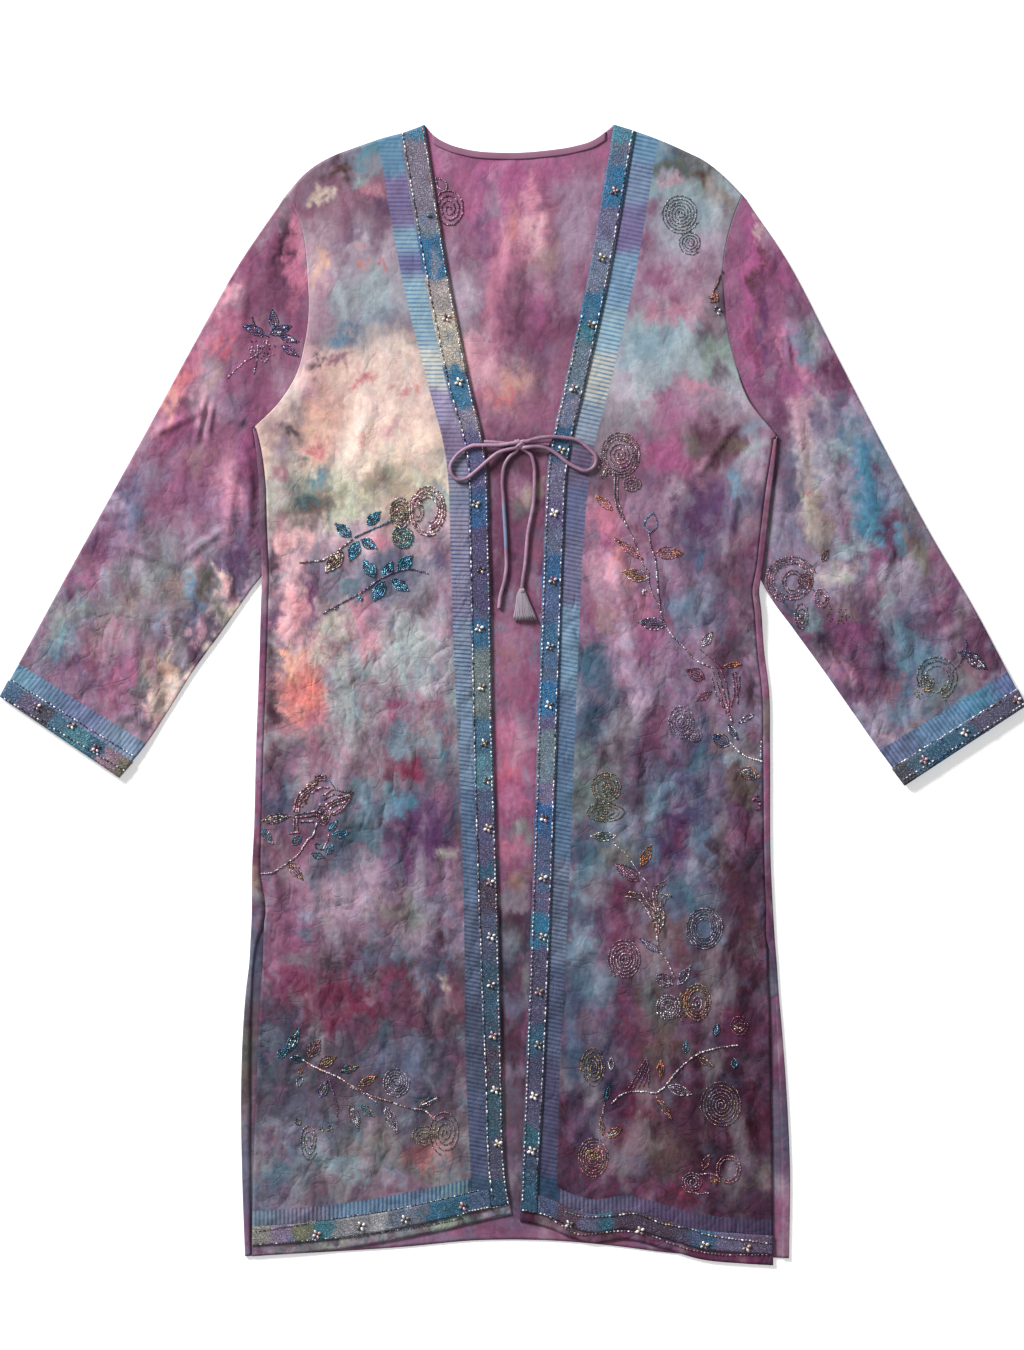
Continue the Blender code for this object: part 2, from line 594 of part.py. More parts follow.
def tassel():
    """A head whose lower face is a grid of cells, with a strand drawn down from each."""
    across, through_it = TASSEL_GRID
    a, b = np.meshgrid(np.linspace(-1, 1, across + 1), np.linspace(-1, 1, through_it + 1))
    disc = np.stack([a * np.sqrt(1 - b * b / 2), b * np.sqrt(1 - a * a / 2)], axis=-1)

    def level(centre, width, depth):
        x = centre[0] + disc[..., 0] * width / 2
        z = TASSEL_MIDDLE + disc[..., 1] * depth / 2
        return np.stack([x, np.full(x.shape, centre[1]), z], axis=-1).reshape(-1, 3)

    crown = level(TASSEL_TOP, TASSEL_WIDTHS[0], TASSEL_DEPTHS[0])
    root = level(TASSEL_SHOULDER, TASSEL_WIDTHS[1], TASSEL_DEPTHS[1])
    foot = level(TASSEL_FOOT, TASSEL_WIDTHS[2], TASSEL_DEPTHS[2])
    wide = across + 1
    cells = [
        (r * wide + c, r * wide + c + 1, (r + 1) * wide + c + 1, (r + 1) * wide + c)
        for r in range(through_it)
        for c in range(across)
    ]
    rim = list(range(across)) + [r * wide + across for r in range(through_it)]
    rim += [through_it * wide + c for c in range(across, 0, -1)]
    rim += [r * wide for r in range(through_it, 0, -1)]
    vertices = np.concatenate([crown, root])
    count = len(crown)
    faces = list(cells)
    faces += [
        (rim[i], rim[(i + 1) % len(rim)], count + rim[(i + 1) % len(rim)], count + rim[i])
        for i in range(len(rim))
    ]
    for n, cell in enumerate(cells):
        corners = root[list(cell)]
        middle = corners.mean(axis=0)
        size = np.linalg.norm(corners[0] - corners[1])
        inset = mix(corners, middle, 2 * STRAND_GAP / max(size, 0.4))
        ends = foot[list(cell)]
        tip = ends.mean(axis=0)
        tip[1] -= 0.7 * math.sin(2.4 * n)
        ends = mix(ends, tip, 0.3)
        ends[:, 1] = tip[1]
        start = len(vertices)
        vertices = np.concatenate([vertices, inset, ends])
        here = [count + i for i in cell]
        for i in range(4):
            j = (i + 1) % 4
            faces.append((here[i], here[j], start + j, start + i))
            faces.append((start + i, start + j, start + 4 + j, start + 4 + i))
        faces.append(tuple(start + 4 + i for i in range(4)))
    return mesh_object("tassel", set_in_place(vertices), faces, TASSEL_SILK)


def build():
    clear_scene()
    cloth("back", back_grid(), CLOTH, MAUVE_SILK)
    cloth("neck_binding", neck_binding_grid(), BINDING, MAUVE_SILK)
    band_rise = CLOTH / 2 + SEAM + TRIM / 2
    for side in ("right", "left"):
        sign = -1 if side == "right" else 1
        front = front_grid(side)
        cloth(f"front_{side}", front, CLOTH, AQUA_SILK)
        over = raised(front, -sign * band_rise)
        cloth(f"front_band_{side}", over[1:, -3:], TRIM, BLUE_BAND)
        hem_band = over[1:3, : len(FRONT_COLUMNS)].copy()
        hem_band[:, -1, 0] += sign * (SEAM + 0.1)
        cloth(f"hem_band_{side}", hem_band, TRIM, BLUE_BAND)
        sleeve = sleeve_grid(side)
        cloth(f"sleeve_{side}", sleeve, CLOTH, MAUVE_SILK, sewn_from=ARMHOLE_ROWS)
        cuff = raised(sleeve, -sign * band_rise, sewn_from=ARMHOLE_ROWS)[-2:]
        cloth(f"cuff_{side}", cuff, TRIM, BLUE_BAND, sewn_from=0)
    for name, route in TIE_ROUTES.items():
        tie(name, route)
    knot()
    tassel()


build()
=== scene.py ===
"""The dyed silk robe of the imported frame, lying open on its back with its sleeves out.

Lengths in the tables are millimetres. A garment point is x, out from the centre back, and h, up
from the lowest point of the hem. Patterns and creases are given on a chart of the robe seen from
above: u to the wearer's left and v down, with x = u - 513 and h = 1266 - v.
"""

import math

import bpy
import numpy as np
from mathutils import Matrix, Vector
from mathutils.bvhtree import BVHTree


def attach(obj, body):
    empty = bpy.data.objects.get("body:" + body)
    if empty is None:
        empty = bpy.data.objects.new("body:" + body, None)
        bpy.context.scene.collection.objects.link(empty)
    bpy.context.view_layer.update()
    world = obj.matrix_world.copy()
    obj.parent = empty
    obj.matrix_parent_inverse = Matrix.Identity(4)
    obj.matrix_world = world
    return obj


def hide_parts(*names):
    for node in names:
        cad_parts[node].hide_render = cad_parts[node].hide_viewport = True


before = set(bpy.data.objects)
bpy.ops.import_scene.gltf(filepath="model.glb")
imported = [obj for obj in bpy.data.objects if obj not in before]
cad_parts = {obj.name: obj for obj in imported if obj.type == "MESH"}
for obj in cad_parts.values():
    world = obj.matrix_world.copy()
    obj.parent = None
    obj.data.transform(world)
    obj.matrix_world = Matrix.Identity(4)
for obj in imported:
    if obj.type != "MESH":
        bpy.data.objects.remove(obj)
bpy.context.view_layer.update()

MM = 0.001
LENGTH = 1141.0
CHART = (513.0, 1266.0)


def place(points):
    """Garment millimetres to metres in the frame, whose origin is at the middle of the robe's length."""
    points = np.array(points, float)
    points[..., 1] -= LENGTH / 2
    return points * MM


def ease(low, high, value):
    """0 below low and 1 above high, with the smooth step 3 t^2 - 2 t^3 between them."""
    t = np.clip((np.asarray(value, float) - low) / (high - low), 0, 1)
    return t * t * (3 - 2 * t)


def mix(a, b, t):
    """The point at share t of the way from a to b."""
    return a + (b - a) * t


def through(rows, column, at):
    """One column of a table at a key: a cubic through its rows, with slopes from the rows beside."""
    table = np.array(rows, float)
    key = table[:, 0]
    value = table[:, column]
    slope = np.gradient(value, key)
    at = np.clip(np.asarray(at, float), key[0], key[-1])
    i = np.clip(np.searchsorted(key, at, side="right") - 1, 0, len(key) - 2)
    step = key[i + 1] - key[i]
    t = (at - key[i]) / step
    start = (1 + 2 * t) * (1 - t) ** 2 * value[i] + t * (1 - t) ** 2 * step * slope[i]
    end = t * t * (3 - 2 * t) * value[i + 1] + t * t * (t - 1) * step * slope[i + 1]
    return start + end


def along(rows, share):
    """Points at shares of the length of the smooth curve through the rows."""
    rows = np.array(rows, float)
    chord = np.linalg.norm(np.diff(rows, axis=0), axis=1)
    keyed = np.column_stack([np.concatenate([[0], np.cumsum(chord)]), rows])
    fine = np.linspace(0, keyed[-1, 0], 1200)
    curve = np.stack([through(keyed, c + 1, fine) for c in range(rows.shape[1])], axis=-1)
    run = np.concatenate([[0], np.cumsum(np.linalg.norm(np.diff(curve, axis=0), axis=1))])
    at = np.asarray(share) * run[-1]
    return np.stack([np.interp(at, run, curve[:, c]) for c in range(rows.shape[1])], axis=-1)


def length_of(points):
    """The sum of the straight steps from point to point."""
    return float(np.linalg.norm(np.diff(points, axis=0), axis=1).sum())


def noise(x, y, size, seed):
    """Smooth noise from -1 to 1 with features of about that size: seeded slopes on a square lattice."""
    x = np.asarray(x, float) / size
    y = np.asarray(y, float) / size
    turns = np.random.default_rng(seed).uniform(0, 2 * np.pi, (97, 97))
    column = np.floor(x).astype(int)
    row = np.floor(y).astype(int)
    fx = x - column
    fy = y - row
    total = 0
    sx = fx * fx * fx * (fx * (fx * 6 - 15) + 10)
    sy = fy * fy * fy * (fy * (fy * 6 - 15) + 10)
    for dx, wx in ((0, 1 - sx), (1, sx)):
        for dy, wy in ((0, 1 - sy), (1, sy)):
            turn = turns[(column + dx) % 97, (row + dy) % 97]
            total = total + wx * wy * (np.cos(turn) * (fx - dx) + np.sin(turn) * (fy - dy))
    return total * 1.5


# Camera and light. The robe is seen from straight above; large soft lamps stand to the upper left
# and the lower right, and the surface below it is plain and pale.
VIEW_HEIGHT = 4.0
VIEW_LONG_SIDE = 1.350  # what the picture's long side spans on the surface
VIEW_CENTRE = (-0.001, 0.0205)

scene = bpy.context.scene
scene.view_settings.view_transform = "Standard"
camera = bpy.data.objects.new("camera", bpy.data.cameras.new("camera"))
camera.data.sensor_width = 36.0
camera.data.lens = 36.0 * VIEW_HEIGHT / VIEW_LONG_SIDE
camera.location = (*VIEW_CENTRE, VIEW_HEIGHT)
scene.collection.objects.link(camera)
scene.camera = camera

world = bpy.data.worlds.new("studio")
world.use_nodes = True
world.node_tree.nodes["Background"].inputs["Color"].default_value = (1.0, 1.0, 1.0, 1)
world.node_tree.nodes["Background"].inputs["Strength"].default_value = 0.26
scene.world = world

for name, at, size, power in (
    ("key_lamp", (-3.5, 3.6, 2.7), 1.6, 640.0),
    ("fill_lamp", (3.0, -2.5, 4.0), 3.0, 60.0),
):
    lamp = bpy.data.objects.new(name, bpy.data.lights.new(name, "AREA"))
    lamp.data.size = size
    lamp.data.energy = power
    lamp.location = at
    lamp.rotation_euler = Vector((-at[0], -at[1], -at[2])).to_track_quat("-Z", "Y").to_euler()
    scene.collection.objects.link(lamp)


class Wire:
    """An output socket of a material, with arithmetic that adds the nodes."""

    def __init__(self, look, socket):
        self.look = look
        self.socket = socket

    def math(self, operation, a, b=0.0, c=0.0):
        """One Math node on up to three numbers or wires."""
        return self.look.add("ShaderNodeMath", {"operation": operation}, {0: a, 1: b, 2: c})

    def __add__(self, other):
        return self.math("ADD", self, other)

    __radd__ = __add__

    def __mul__(self, other):
        return self.math("MULTIPLY", self, other)

    __rmul__ = __mul__

    def __sub__(self, other):
        return self.math("SUBTRACT", self, other)

    def __rsub__(self, other):
        return self.math("SUBTRACT", other, self)

    def step(self, low, high):
        """0 below low and 1 above high, smooth between; low may be the higher."""
        return self.look.add(
            "ShaderNodeMapRange", {"interpolation_type": "SMOOTHSTEP"}, {0: self, 1: low, 2: high}
        )

    def wave(self, pitch):
        """From -1 to 1 and back over each pitch."""
        return self.math("SINE", self * (2 * math.pi / pitch), 0.0)


class Look:
    """A material of one Principled shader. add() puts in a node and returns one of its outputs."""

    def __init__(self, name, roughness=0.55, specular=0.3, metallic=0.0):
        self.material = bpy.data.materials.new(name)
        self.material.use_nodes = True
        self.tree = self.material.node_tree
        self.shader = self.tree.nodes["Principled BSDF"]
        self.shader.inputs["Roughness"].default_value = roughness
        self.shader.inputs["Specular IOR Level"].default_value = specular
        self.shader.inputs["Metallic"].default_value = metallic

    def add(self, kind, settings, inputs, output=0):
        """Any node: its type, its settings, the values or wires of its sockets, and the output used."""
        node = self.tree.nodes.new(kind)
        for key, value in settings.items():
            setattr(node, key, value)
        for key, value in inputs.items():
            if isinstance(value, Wire):
                self.tree.links.new(value.socket, node.inputs[key])
            else:
                node.inputs[key].default_value = value
        return Wire(self, node.outputs[output])

    def set(self, name, value):
        """A value or a wire for one of the shader's sockets."""
        if isinstance(value, Wire):
            self.tree.links.new(value.socket, self.shader.inputs[name])
        else:
            self.shader.inputs[name].default_value = value

    def colour(self, name):
        """The mesh's own colour of that name."""
        return self.add("ShaderNodeAttribute", {"attribute_name": name}, {}, "Color")

    def value(self, name):
        """The mesh's own number of that name."""
        return self.add("ShaderNodeAttribute", {"attribute_name": name}, {}, "Fac")

    def noise(self, size, detail=2.0, roughness=0.5, distortion=0.0, stretch=(1, 1, 1)):
        """Noise from 0 to 1 with features of about that size in millimetres."""
        at = self.add("ShaderNodeTexCoord", {}, {}, "Object")
        at = self.add("ShaderNodeMapping", {}, {"Vector": at, "Scale": stretch})
        inputs = {"Vector": at, "Scale": 1000 / size, "Detail": detail}
        return self.add(
            "ShaderNodeTexNoise", {}, {**inputs, "Roughness": roughness, "Distortion": distortion}
        )

    def blend(self, factor, a, b, kind="MIX"):
        """Colour a turned into b by the factor, or b laid over a in another kind of mixing."""
        settings = {"data_type": "RGBA", "blend_type": kind}
        return self.add("ShaderNodeMix", settings, {0: factor, 6: a, 7: b}, 2)

    def bump(self, height, strength, distance):
        """Normals tilted by the slope of a height, which is 1 over that distance in metres."""
        return self.add(
            "ShaderNodeBump", {}, {"Height": height, "Strength": strength, "Distance": distance}
        )


def plain(name, colour, roughness=0.6, specular=0.3):
    """A look of one colour."""
    look = Look(name, roughness, specular)
    look.set("Base Color", (*colour, 1))
    return look


def shape(name, vertices, faces, look, paint=None, smooth=True):
    """A mesh object in the frame, with point attributes of one or three numbers from paint."""
    sides = np.asarray(faces).shape[1]
    used, faces = np.unique(faces, return_inverse=True)
    faces = faces.reshape(-1, sides)
    mesh = bpy.data.meshes.new(name)
    mesh.from_pydata(np.asarray(vertices)[used].tolist(), [], faces.tolist())
    for key, values in (paint or {}).items():
        values = np.asarray(values, np.float32)
        values = values.reshape(len(vertices), -1)[used]
        if values.shape[1] == 1:
            mesh.attributes.new(key, "FLOAT", "POINT").data.foreach_set("value", values.ravel())
            continue
        colours = np.column_stack([values, np.ones(len(values), np.float32)])
        mesh.attributes.new(key, "FLOAT_COLOR", "POINT").data.foreach_set("color", colours.ravel())
    if smooth:
        mesh.shade_smooth()
    mesh.materials.append(look.material)
    obj = bpy.data.objects.new(name, mesh)
    scene.collection.objects.link(obj)
    return obj


floor_look = plain("surface", (0.93, 0.93, 0.93), 0.9, 0.1)
floor_look.set("Emission Color", (1.0, 1.0, 1.0, 1))
floor_look.set("Emission Strength", 0.3)
corner = 4.0
floor = shape(
    "surface",
    [(-corner, -corner, -0.0003), (corner, -corner, -0.0003), (corner, corner, -0.0003),
     (-corner, corner, -0.0003)],
    np.array([[0, 1, 2, 3]]),
    floor_look,
    smooth=False,
)


# Tassel. A bunch of lilac-grey floss strands, bound at the head and hung on the left tie's end.
TASSEL_TOP = (8.9, 677.8)
TASSEL_SHOULDER = (8.6, 671.5)
TASSEL_FOOT = (12.0, 646.4)
TASSEL_WIDTHS = (4.0, 10.4, 23.4)
TASSEL_DEPTHS = (3.0, 4.6, 4.4)
TASSEL_MIDDLE = 4.1


def tubes(paths, radius, sides):
    """Closed tubes along paths of (path, step, 3) points: a ring of that many sides at each step."""
    paths = np.asarray(paths, float)
    count, steps = paths.shape[:2]
    way = np.gradient(paths, axis=1)
    way /= np.linalg.norm(way, axis=2, keepdims=True)
    first = np.cross(way, np.array([0.31, 0.17, 0.94]))
    first /= np.linalg.norm(first, axis=2, keepdims=True)
    second = np.cross(way, first)
    turn = np.arange(sides) * 2 * np.pi / sides
    ring = first[:, :, None] * np.cos(turn)[:, None] + second[:, :, None] * np.sin(turn)[:, None]
    vertices = paths[:, :, None] + ring * np.broadcast_to(radius, (count, steps))[..., None, None]
    index = np.arange(count * steps * sides).reshape(count, steps, sides)
    a, b = index[:, :-1], index[:, 1:]
    walls = np.stack([a, np.roll(a, -1, 2), np.roll(b, -1, 2), b], axis=-1).reshape(-1, 4)
    ends = []
    for k in range(1, sides - 1, 2):
        last = min(k + 2, sides - 1)
        ends.append(
            np.stack([index[:, 0, 0], index[:, 0, last], index[:, 0, k + 1], index[:, 0, k]], axis=-1)
        )
        ends.append(
            np.stack([index[:, -1, 0], index[:, -1, k], index[:, -1, k + 1], index[:, -1, last]], axis=-1)
        )
    return vertices.reshape(-1, 3), np.concatenate([walls, *ends])


floss = Look("floss", 0.55, 0.35)
fibre = floss.noise(2.2, 3, 0.6, 0.0, (1, 0.12, 1))
floss.set("Base Color", floss.blend(fibre, (0.145, 0.115, 0.15, 1), (0.37, 0.32, 0.37, 1)))
floss.set("Normal", floss.bump(fibre, 0.6, 0.0006))
across, deep = np.meshgrid(np.linspace(-1, 1, 21), np.linspace(-1, 1, 6))
across, deep = across.ravel(), deep.ravel()
disc = np.stack([across * np.sqrt(1 - deep**2 / 2), deep * np.sqrt(1 - across**2 / 2)], axis=-1)
order = np.arange(len(disc))
strands = []
for share in np.linspace(0, 1, 9):
    head = min(share / 0.2, 1)
    tail = max((share - 0.2) / 0.8, 0)
    if share <= 0.2:
        centre = mix(np.array(TASSEL_TOP), np.array(TASSEL_SHOULDER), head)
        wide, depth = mix(TASSEL_WIDTHS[0], TASSEL_WIDTHS[1], head), mix(
            TASSEL_DEPTHS[0], TASSEL_DEPTHS[1], head
        )
    else:
        centre = mix(np.array(TASSEL_SHOULDER), np.array(TASSEL_FOOT), tail)
        wide, depth = mix(TASSEL_WIDTHS[1], TASSEL_WIDTHS[2], tail**1.1), TASSEL_DEPTHS[1]
    sway = 0.5 * np.sin(order * 2.4 + 5 * share) * tail
    strands.append(
        np.stack(
            [
                centre[0] + disc[:, 0] * (wide - 1.1) / 2 + sway,
                centre[1] - 0.8 * tail * np.sin(order * 1.7) + 0 * sway,
                TASSEL_MIDDLE + disc[:, 1] * (depth - 1.2) / 2 + 0.2 * sway,
            ], axis=-1,
        )
    )
points, faces = tubes(np.stack(strands, axis=1), 0.58, 5)
turn = np.linspace(0, 6 * np.pi, 60)
binding_path = np.stack(
    [
        8.7 + 2.9 * np.cos(turn), 675.4 - np.linspace(0, 2.4, 60), TASSEL_MIDDLE + 2.15 * np.sin(turn),
    ], axis=-1,
)
bound, bound_faces = tubes(binding_path[None], 0.5, 6)
tassel = shape(
    "tassel_floss", place(np.concatenate([points, bound])),
    np.concatenate([faces, bound_faces + len(points)]), floss,
)
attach(tassel, "root")
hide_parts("tassel")


# Ties. Each is a narrow tube of the same mauve silk, sewn to the edge of a front band, led to the
# knot, laid out in one bow loop and let down from the knot to its free end.
TIE = 3.8
TIE_ROUTES = {
    "right": [
        (-29.2, 824, 3.5), (-20, 823.6, 3.5), (-10, 822.6, 3.5), (-1, 821.8, 3.6), (5.5, 822, 4.4),
        (6.2, 823.2, 6.4), (0.4, 822.6, 7.6), (-12.3, 820.6, 7.5), (-29.6, 820.4, 7.2),
        (-40.5, 819.9, 6.6), (-49.1, 816.1, 6.4), (-57.8, 808.5, 5.9), (-62.7, 798.7, 5.6),
        (-61.1, 791.1, 5.6), (-55.6, 786.2, 5.9), (-48.1, 786.8, 6.3), (-37.2, 794.4, 6.5),
        (-26.4, 804.1, 6.3), (-14.4, 813.2, 5.9), (-0.4, 817.4, 5.8), (5.2, 818.2, 5.2),
        (3.2, 814.6, 3.5), (-1.5, 811, 3.5), (-7.9, 802, 3.5), (-10.6, 786.8, 3.5),
        (-9.6, 766.2, 3.5), (-8.6, 750, 3.5), (-7, 717, 3.5), (-6.9, 696, 3.5),
        (-9.2, 682.6, 3.5), (-12.3, 671, 3.5), (-14.1, 658.1, 3.5),
    ],
    "left": [
        (36.3, 821.5, 3.5), (25, 821.6, 3.5), (15.4, 821.8, 3.6), (8.6, 822.2, 4.6),
        (8.6, 824, 6.6), (13.9, 824.4, 7.4), (20.3, 826.4, 7.4), (35.5, 828.7, 7.3),
        (51.7, 828, 6.6), (64.7, 825.3, 6), (75.6, 817.1, 5.6), (83.2, 807.4, 5.6),
        (81, 799.2, 5.6), (73.4, 794.9, 5.8), (62.6, 798.2, 6.2), (52.8, 804.1, 6.5),
        (42, 812.8, 6.9), (33.3, 817.4, 7.4), (24.6, 819, 7.5), (14, 818.4, 7.3),
        (9.2, 817.6, 5.6), (13.2, 814.6, 3.5), (17.4, 811.6, 3.5), (20.8, 802, 3.5),
        (21.6, 786.8, 3.5), (20.8, 766.2, 3.5), (15, 733, 3.5), (11.4, 696, 3.5),
        (10, 687.1, 3.5), (9, 678.4, 3.5),
    ],
}
KNOT = (7.3, 821.5, 5.4)
KNOT_RADII = (5.0, 4.2, 3.2)

tie_look = Look("tie_silk", 0.46, 0.4)
shade = tie_look.noise(26, 4, 0.6)
shade = tie_look.blend(shade.step(0.35, 0.65), (0.19, 0.105, 0.165, 1), (0.33, 0.19, 0.275, 1))
place_on = tie_look.add("ShaderNodeTexCoord", {}, {}, "Object")
sideways = tie_look.add("ShaderNodeSeparateXYZ", {}, {"Vector": place_on}, "X")
upright = tie_look.add("ShaderNodeSeparateXYZ", {}, {"Vector": place_on}, "Y")
dipped = sideways.step(-0.002, -0.005) * upright.step(0.144, 0.152) * upright.step(0.196, 0.186)
shade = tie_look.blend(dipped * 0.75, shade, (0.105, 0.2, 0.32, 1))
twill = tie_look.noise(2.4, 2, 0.5, 0.0, (1, 0.4, 1))
tie_look.set("Base Color", tie_look.blend(1.0, shade, twill * 0.5 + 0.75, "MULTIPLY"))
tie_look.set("Normal", tie_look.bump(twill, 0.4, 0.0004))
for side, route in TIE_ROUTES.items():
    route = np.array(route, float)
    count = int(np.linalg.norm(np.diff(route, axis=0), axis=1).sum() / 1.6)
    points = place(along(route, np.linspace(0, 1, count)))
    curve = bpy.data.curves.new(f"tie_{side}", "CURVE")
    curve.dimensions = "3D"
    curve.bevel_depth = TIE / 2 * MM
    curve.bevel_resolution = 3
    curve.use_fill_caps = True
    spline = curve.splines.new("POLY")
    spline.points.add(len(points) - 1)
    spline.points.foreach_set("co", np.column_stack([points, np.ones(len(points))]).ravel())
    spline.use_smooth = True
    curve.materials.append(tie_look.material)
    obj = bpy.data.objects.new(f"tie_{side}", curve)
    scene.collection.objects.link(obj)
    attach(obj, "root")
    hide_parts(f"tie_{side}_lead", f"tie_{side}_loop", f"tie_{side}_tail")
    on_it = [tassel] if side == "left" else []


# Knot. Both ties wrapped once over each other in the middle and drawn tight.
turn, rise = np.meshgrid(np.linspace(0, 2 * np.pi, 25)[:-1], np.linspace(-1.35, 1.35, 13))
core = np.stack([np.cos(turn) * np.cos(rise), np.sin(turn) * np.cos(rise), np.sin(rise)], axis=-1)
core = (core * KNOT_RADII + KNOT).reshape(-1, 3)
index = np.arange(13 * 24).reshape(13, 24)
core_faces = np.stack(
    [index[:-1], np.roll(index[:-1], -1, 1), np.roll(index[1:], -1, 1), index[1:]], axis=-1
).reshape(-1, 4)
WRAPS = [
    [(1.9, 817.6, 3.2), (3.6, 819.0, 6.2), (6.9, 821.3, 7.6), (10.4, 823.4, 6.2), (12.0, 824.8, 3.2)],
    [(2.2, 825.0, 3.4), (4.2, 823.6, 5.6), (7.2, 821.9, 6.6), (10.6, 819.6, 5.4), (12.2, 818.0, 3.2)],
    [(8.6, 816.6, 3.0), (7.4, 818.4, 6.4), (6.6, 821.2, 7.5), (5.6, 824.0, 6.2), (5.2, 825.6, 3.4)],
]
wraps = np.array([along(w, np.linspace(0, 1, 17)) for w in WRAPS])
wrapped, wrapped_faces = tubes(wraps, np.array([[1.75], [1.6], [1.5]]), 10)
knot = shape(
    "tie_knot_silk", place(np.concatenate([core, wrapped])),
    np.concatenate([core_faces, wrapped_faces + len(core)]), tie_look,
)
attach(knot, "root")
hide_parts("tie_knot")


# The robe's cut, as in its solids: outlines, folds and the heights at which the layers lie.
CLOTH = 1.2
TRIM = 1.0
BINDING = 0.8
SEAM = 0.3
HEM_TURN = 11.0
HEM_BAND = 30.0
CUFF_BAND = 21.0
BINDING_WIDTH = 6.5
SIDE_FOLD_RISE = 2.2
SLIT_FOLD_RISE = 1.6
TUCK_RISE = 3.6
TUCK_SPAN = (600.0, 664.0, 845.0, 905.0)
TUCK_REACH = (18.0, 62.0)
TUCK_EASE = 0.35
FRONT_SETTLE = 26.0
# height, fold edge, free edge of the wrapped back, gap from there to the front panel's edge
SIDE = {
    "right": [
        (10, 268, 262.5, 1.5), (96, 271, 263, 3.5), (166, 272, 263, 6), (236, 270, 262.5, 8.5),
        (276, 267, 261.5, 9.5), (306, 263.5, 259.5, 9.5), (326, 262.5, 256, 6.5),
        (344, 261.5, 249, 0.3), (396, 261, 252.6, 0.3), (436, 259, 251.8, 0.3),
        (516, 257, 249.8, 0.3), (596, 254, 246.8, 0.3), (656, 252, 244.8, 0.3),
        (689, 251, 244, 0.3), (736, 252.7, 245.7, 0.3), (796, 255, 248.5, 0.3),
        (821, 257.5, 252.5, 0.3), (837, 260, 256.5, 0.3),
    ],
    "left": [
        (8, 276, 268.5, 8.5), (96, 277, 268, 9), (166, 274, 266.5, 8.5), (236, 269, 263.5, 6.5),
        (276, 265.5, 262, 6.5), (306, 263.5, 259.5, 5.5), (324, 262, 254, 0.3),
        (356, 260, 252.8, 0.3), (396, 258, 251.5, 0.3), (516, 257, 250, 0.3),
        (576, 256, 248.8, 0.3), (616, 251, 244, 0.3), (656, 248, 241, 0.3), (676, 246, 239, 0.3),
        (696, 249.5, 242.5, 0.3), (736, 254, 247.2, 0.3), (776, 258.5, 252.2, 0.3),
        (816, 263, 258.5, 0.3), (829, 264, 260.5, 0.3),
    ],
}
SLIT_TOP = {"right": 344.0, "left": 324.0}
# height, distance of the armhole seam
ARMHOLE = {
    "right": [
        (837, 260), (858, 238), (886, 219), (923, 208), (956, 204), (985, 205), (1041, 212),
        (1073, 225),
    ],
    "left": [
        (829, 264), (866, 235), (896, 224), (932, 215), (967, 210), (1010, 211), (1041, 218),
        (1071, 229),
    ],
}
# distance, height of the shoulder line
SHOULDER = {
    "right": [
        (88.5, 1141), (97, 1137), (129, 1128), (161, 1117), (177, 1111), (193, 1103),
        (209, 1091), (225, 1073),
    ],
    "left": [
        (100.8, 1141), (111, 1138), (143, 1127), (175, 1113), (191, 1105), (207, 1093),
        (229, 1071),
    ],
}
# height, distance of the front edge, width of its band
FRONT_EDGE = {
    "right": [
        (52, 1, 18), (73, 4.7, 17.7), (201, 11, 18), (306, 13.3, 20), (566, 21, 20),
        (717, 23.5, 20.5), (816, 28.4, 19.5), (879, 42.4, 22.5), (971, 61, 23), (1141, 88.5, 25),
    ],
    "left": [
        (45, 7, 17), (76, 8, 17), (201, 12.8, 19), (326, 17.4, 19.5), (617, 27, 20),
        (717, 30.4, 20), (816, 37, 20), (879, 51, 20.5), (971, 71.4, 20.5), (1141, 100.8, 21.5),
    ],
}
# distance, height of the front hem
FRONT_HEM = {
    "right": [(1, 52), (20, 48), (73, 35.5), (136, 23), (199, 14.4), (261, 10)],
    "left": [
        (7, 45), (38, 38), (59, 28), (80, 23), (111, 27), (153, 17), (188, 7), (227, 3), (260, 1),
    ],
}
# x, height of the back hem, then of the back neckline
BACK_HEM = [
    (-268, 10), (-199, 13.5), (-113, 19), (-33, 26), (31, 26), (95, 21), (160, 13), (276, 8),
]
NECKLINE = [
    (-88.5, 1141), (-81, 1132), (-65, 1122), (-49, 1117), (-9, 1113), (31, 1115), (63, 1120),
    (79, 1125), (95, 1136), (100.8, 1141),
]
# distance, height along the sleeve's upper edge and along its underarm edge
SLEEVE_TOP = {
    "right": [
        (225, 1073), (273, 1003), (321, 918), (369, 830), (417, 743), (465, 656), (512, 569),
    ],
    "left": [
        (229, 1071), (271, 1010), (319, 919), (367, 826), (415, 736), (463, 654), (512, 560),
    ],
}
SLEEVE_UNDER = {
    "right": [
        (260, 837), (253, 796), (246, 766), (242, 726), (249, 694), (262, 676), (290, 636),
        (319, 596), (344, 556), (371, 516), (394, 489),
    ],
    "left": [
        (264, 829), (258, 796), (249, 766), (242, 726), (244, 696), (253, 676), (281, 636),
        (310, 596), (338, 556), (366, 516), (392, 481),
    ],
}
SLEEVE_HEIGHT = [(0, 3.2), (0.55, 3.2), (0.75, 3.8), (0.93, 3.8), (0.97, 4.8), (1, 4.8)]
CAP_START = 0.013
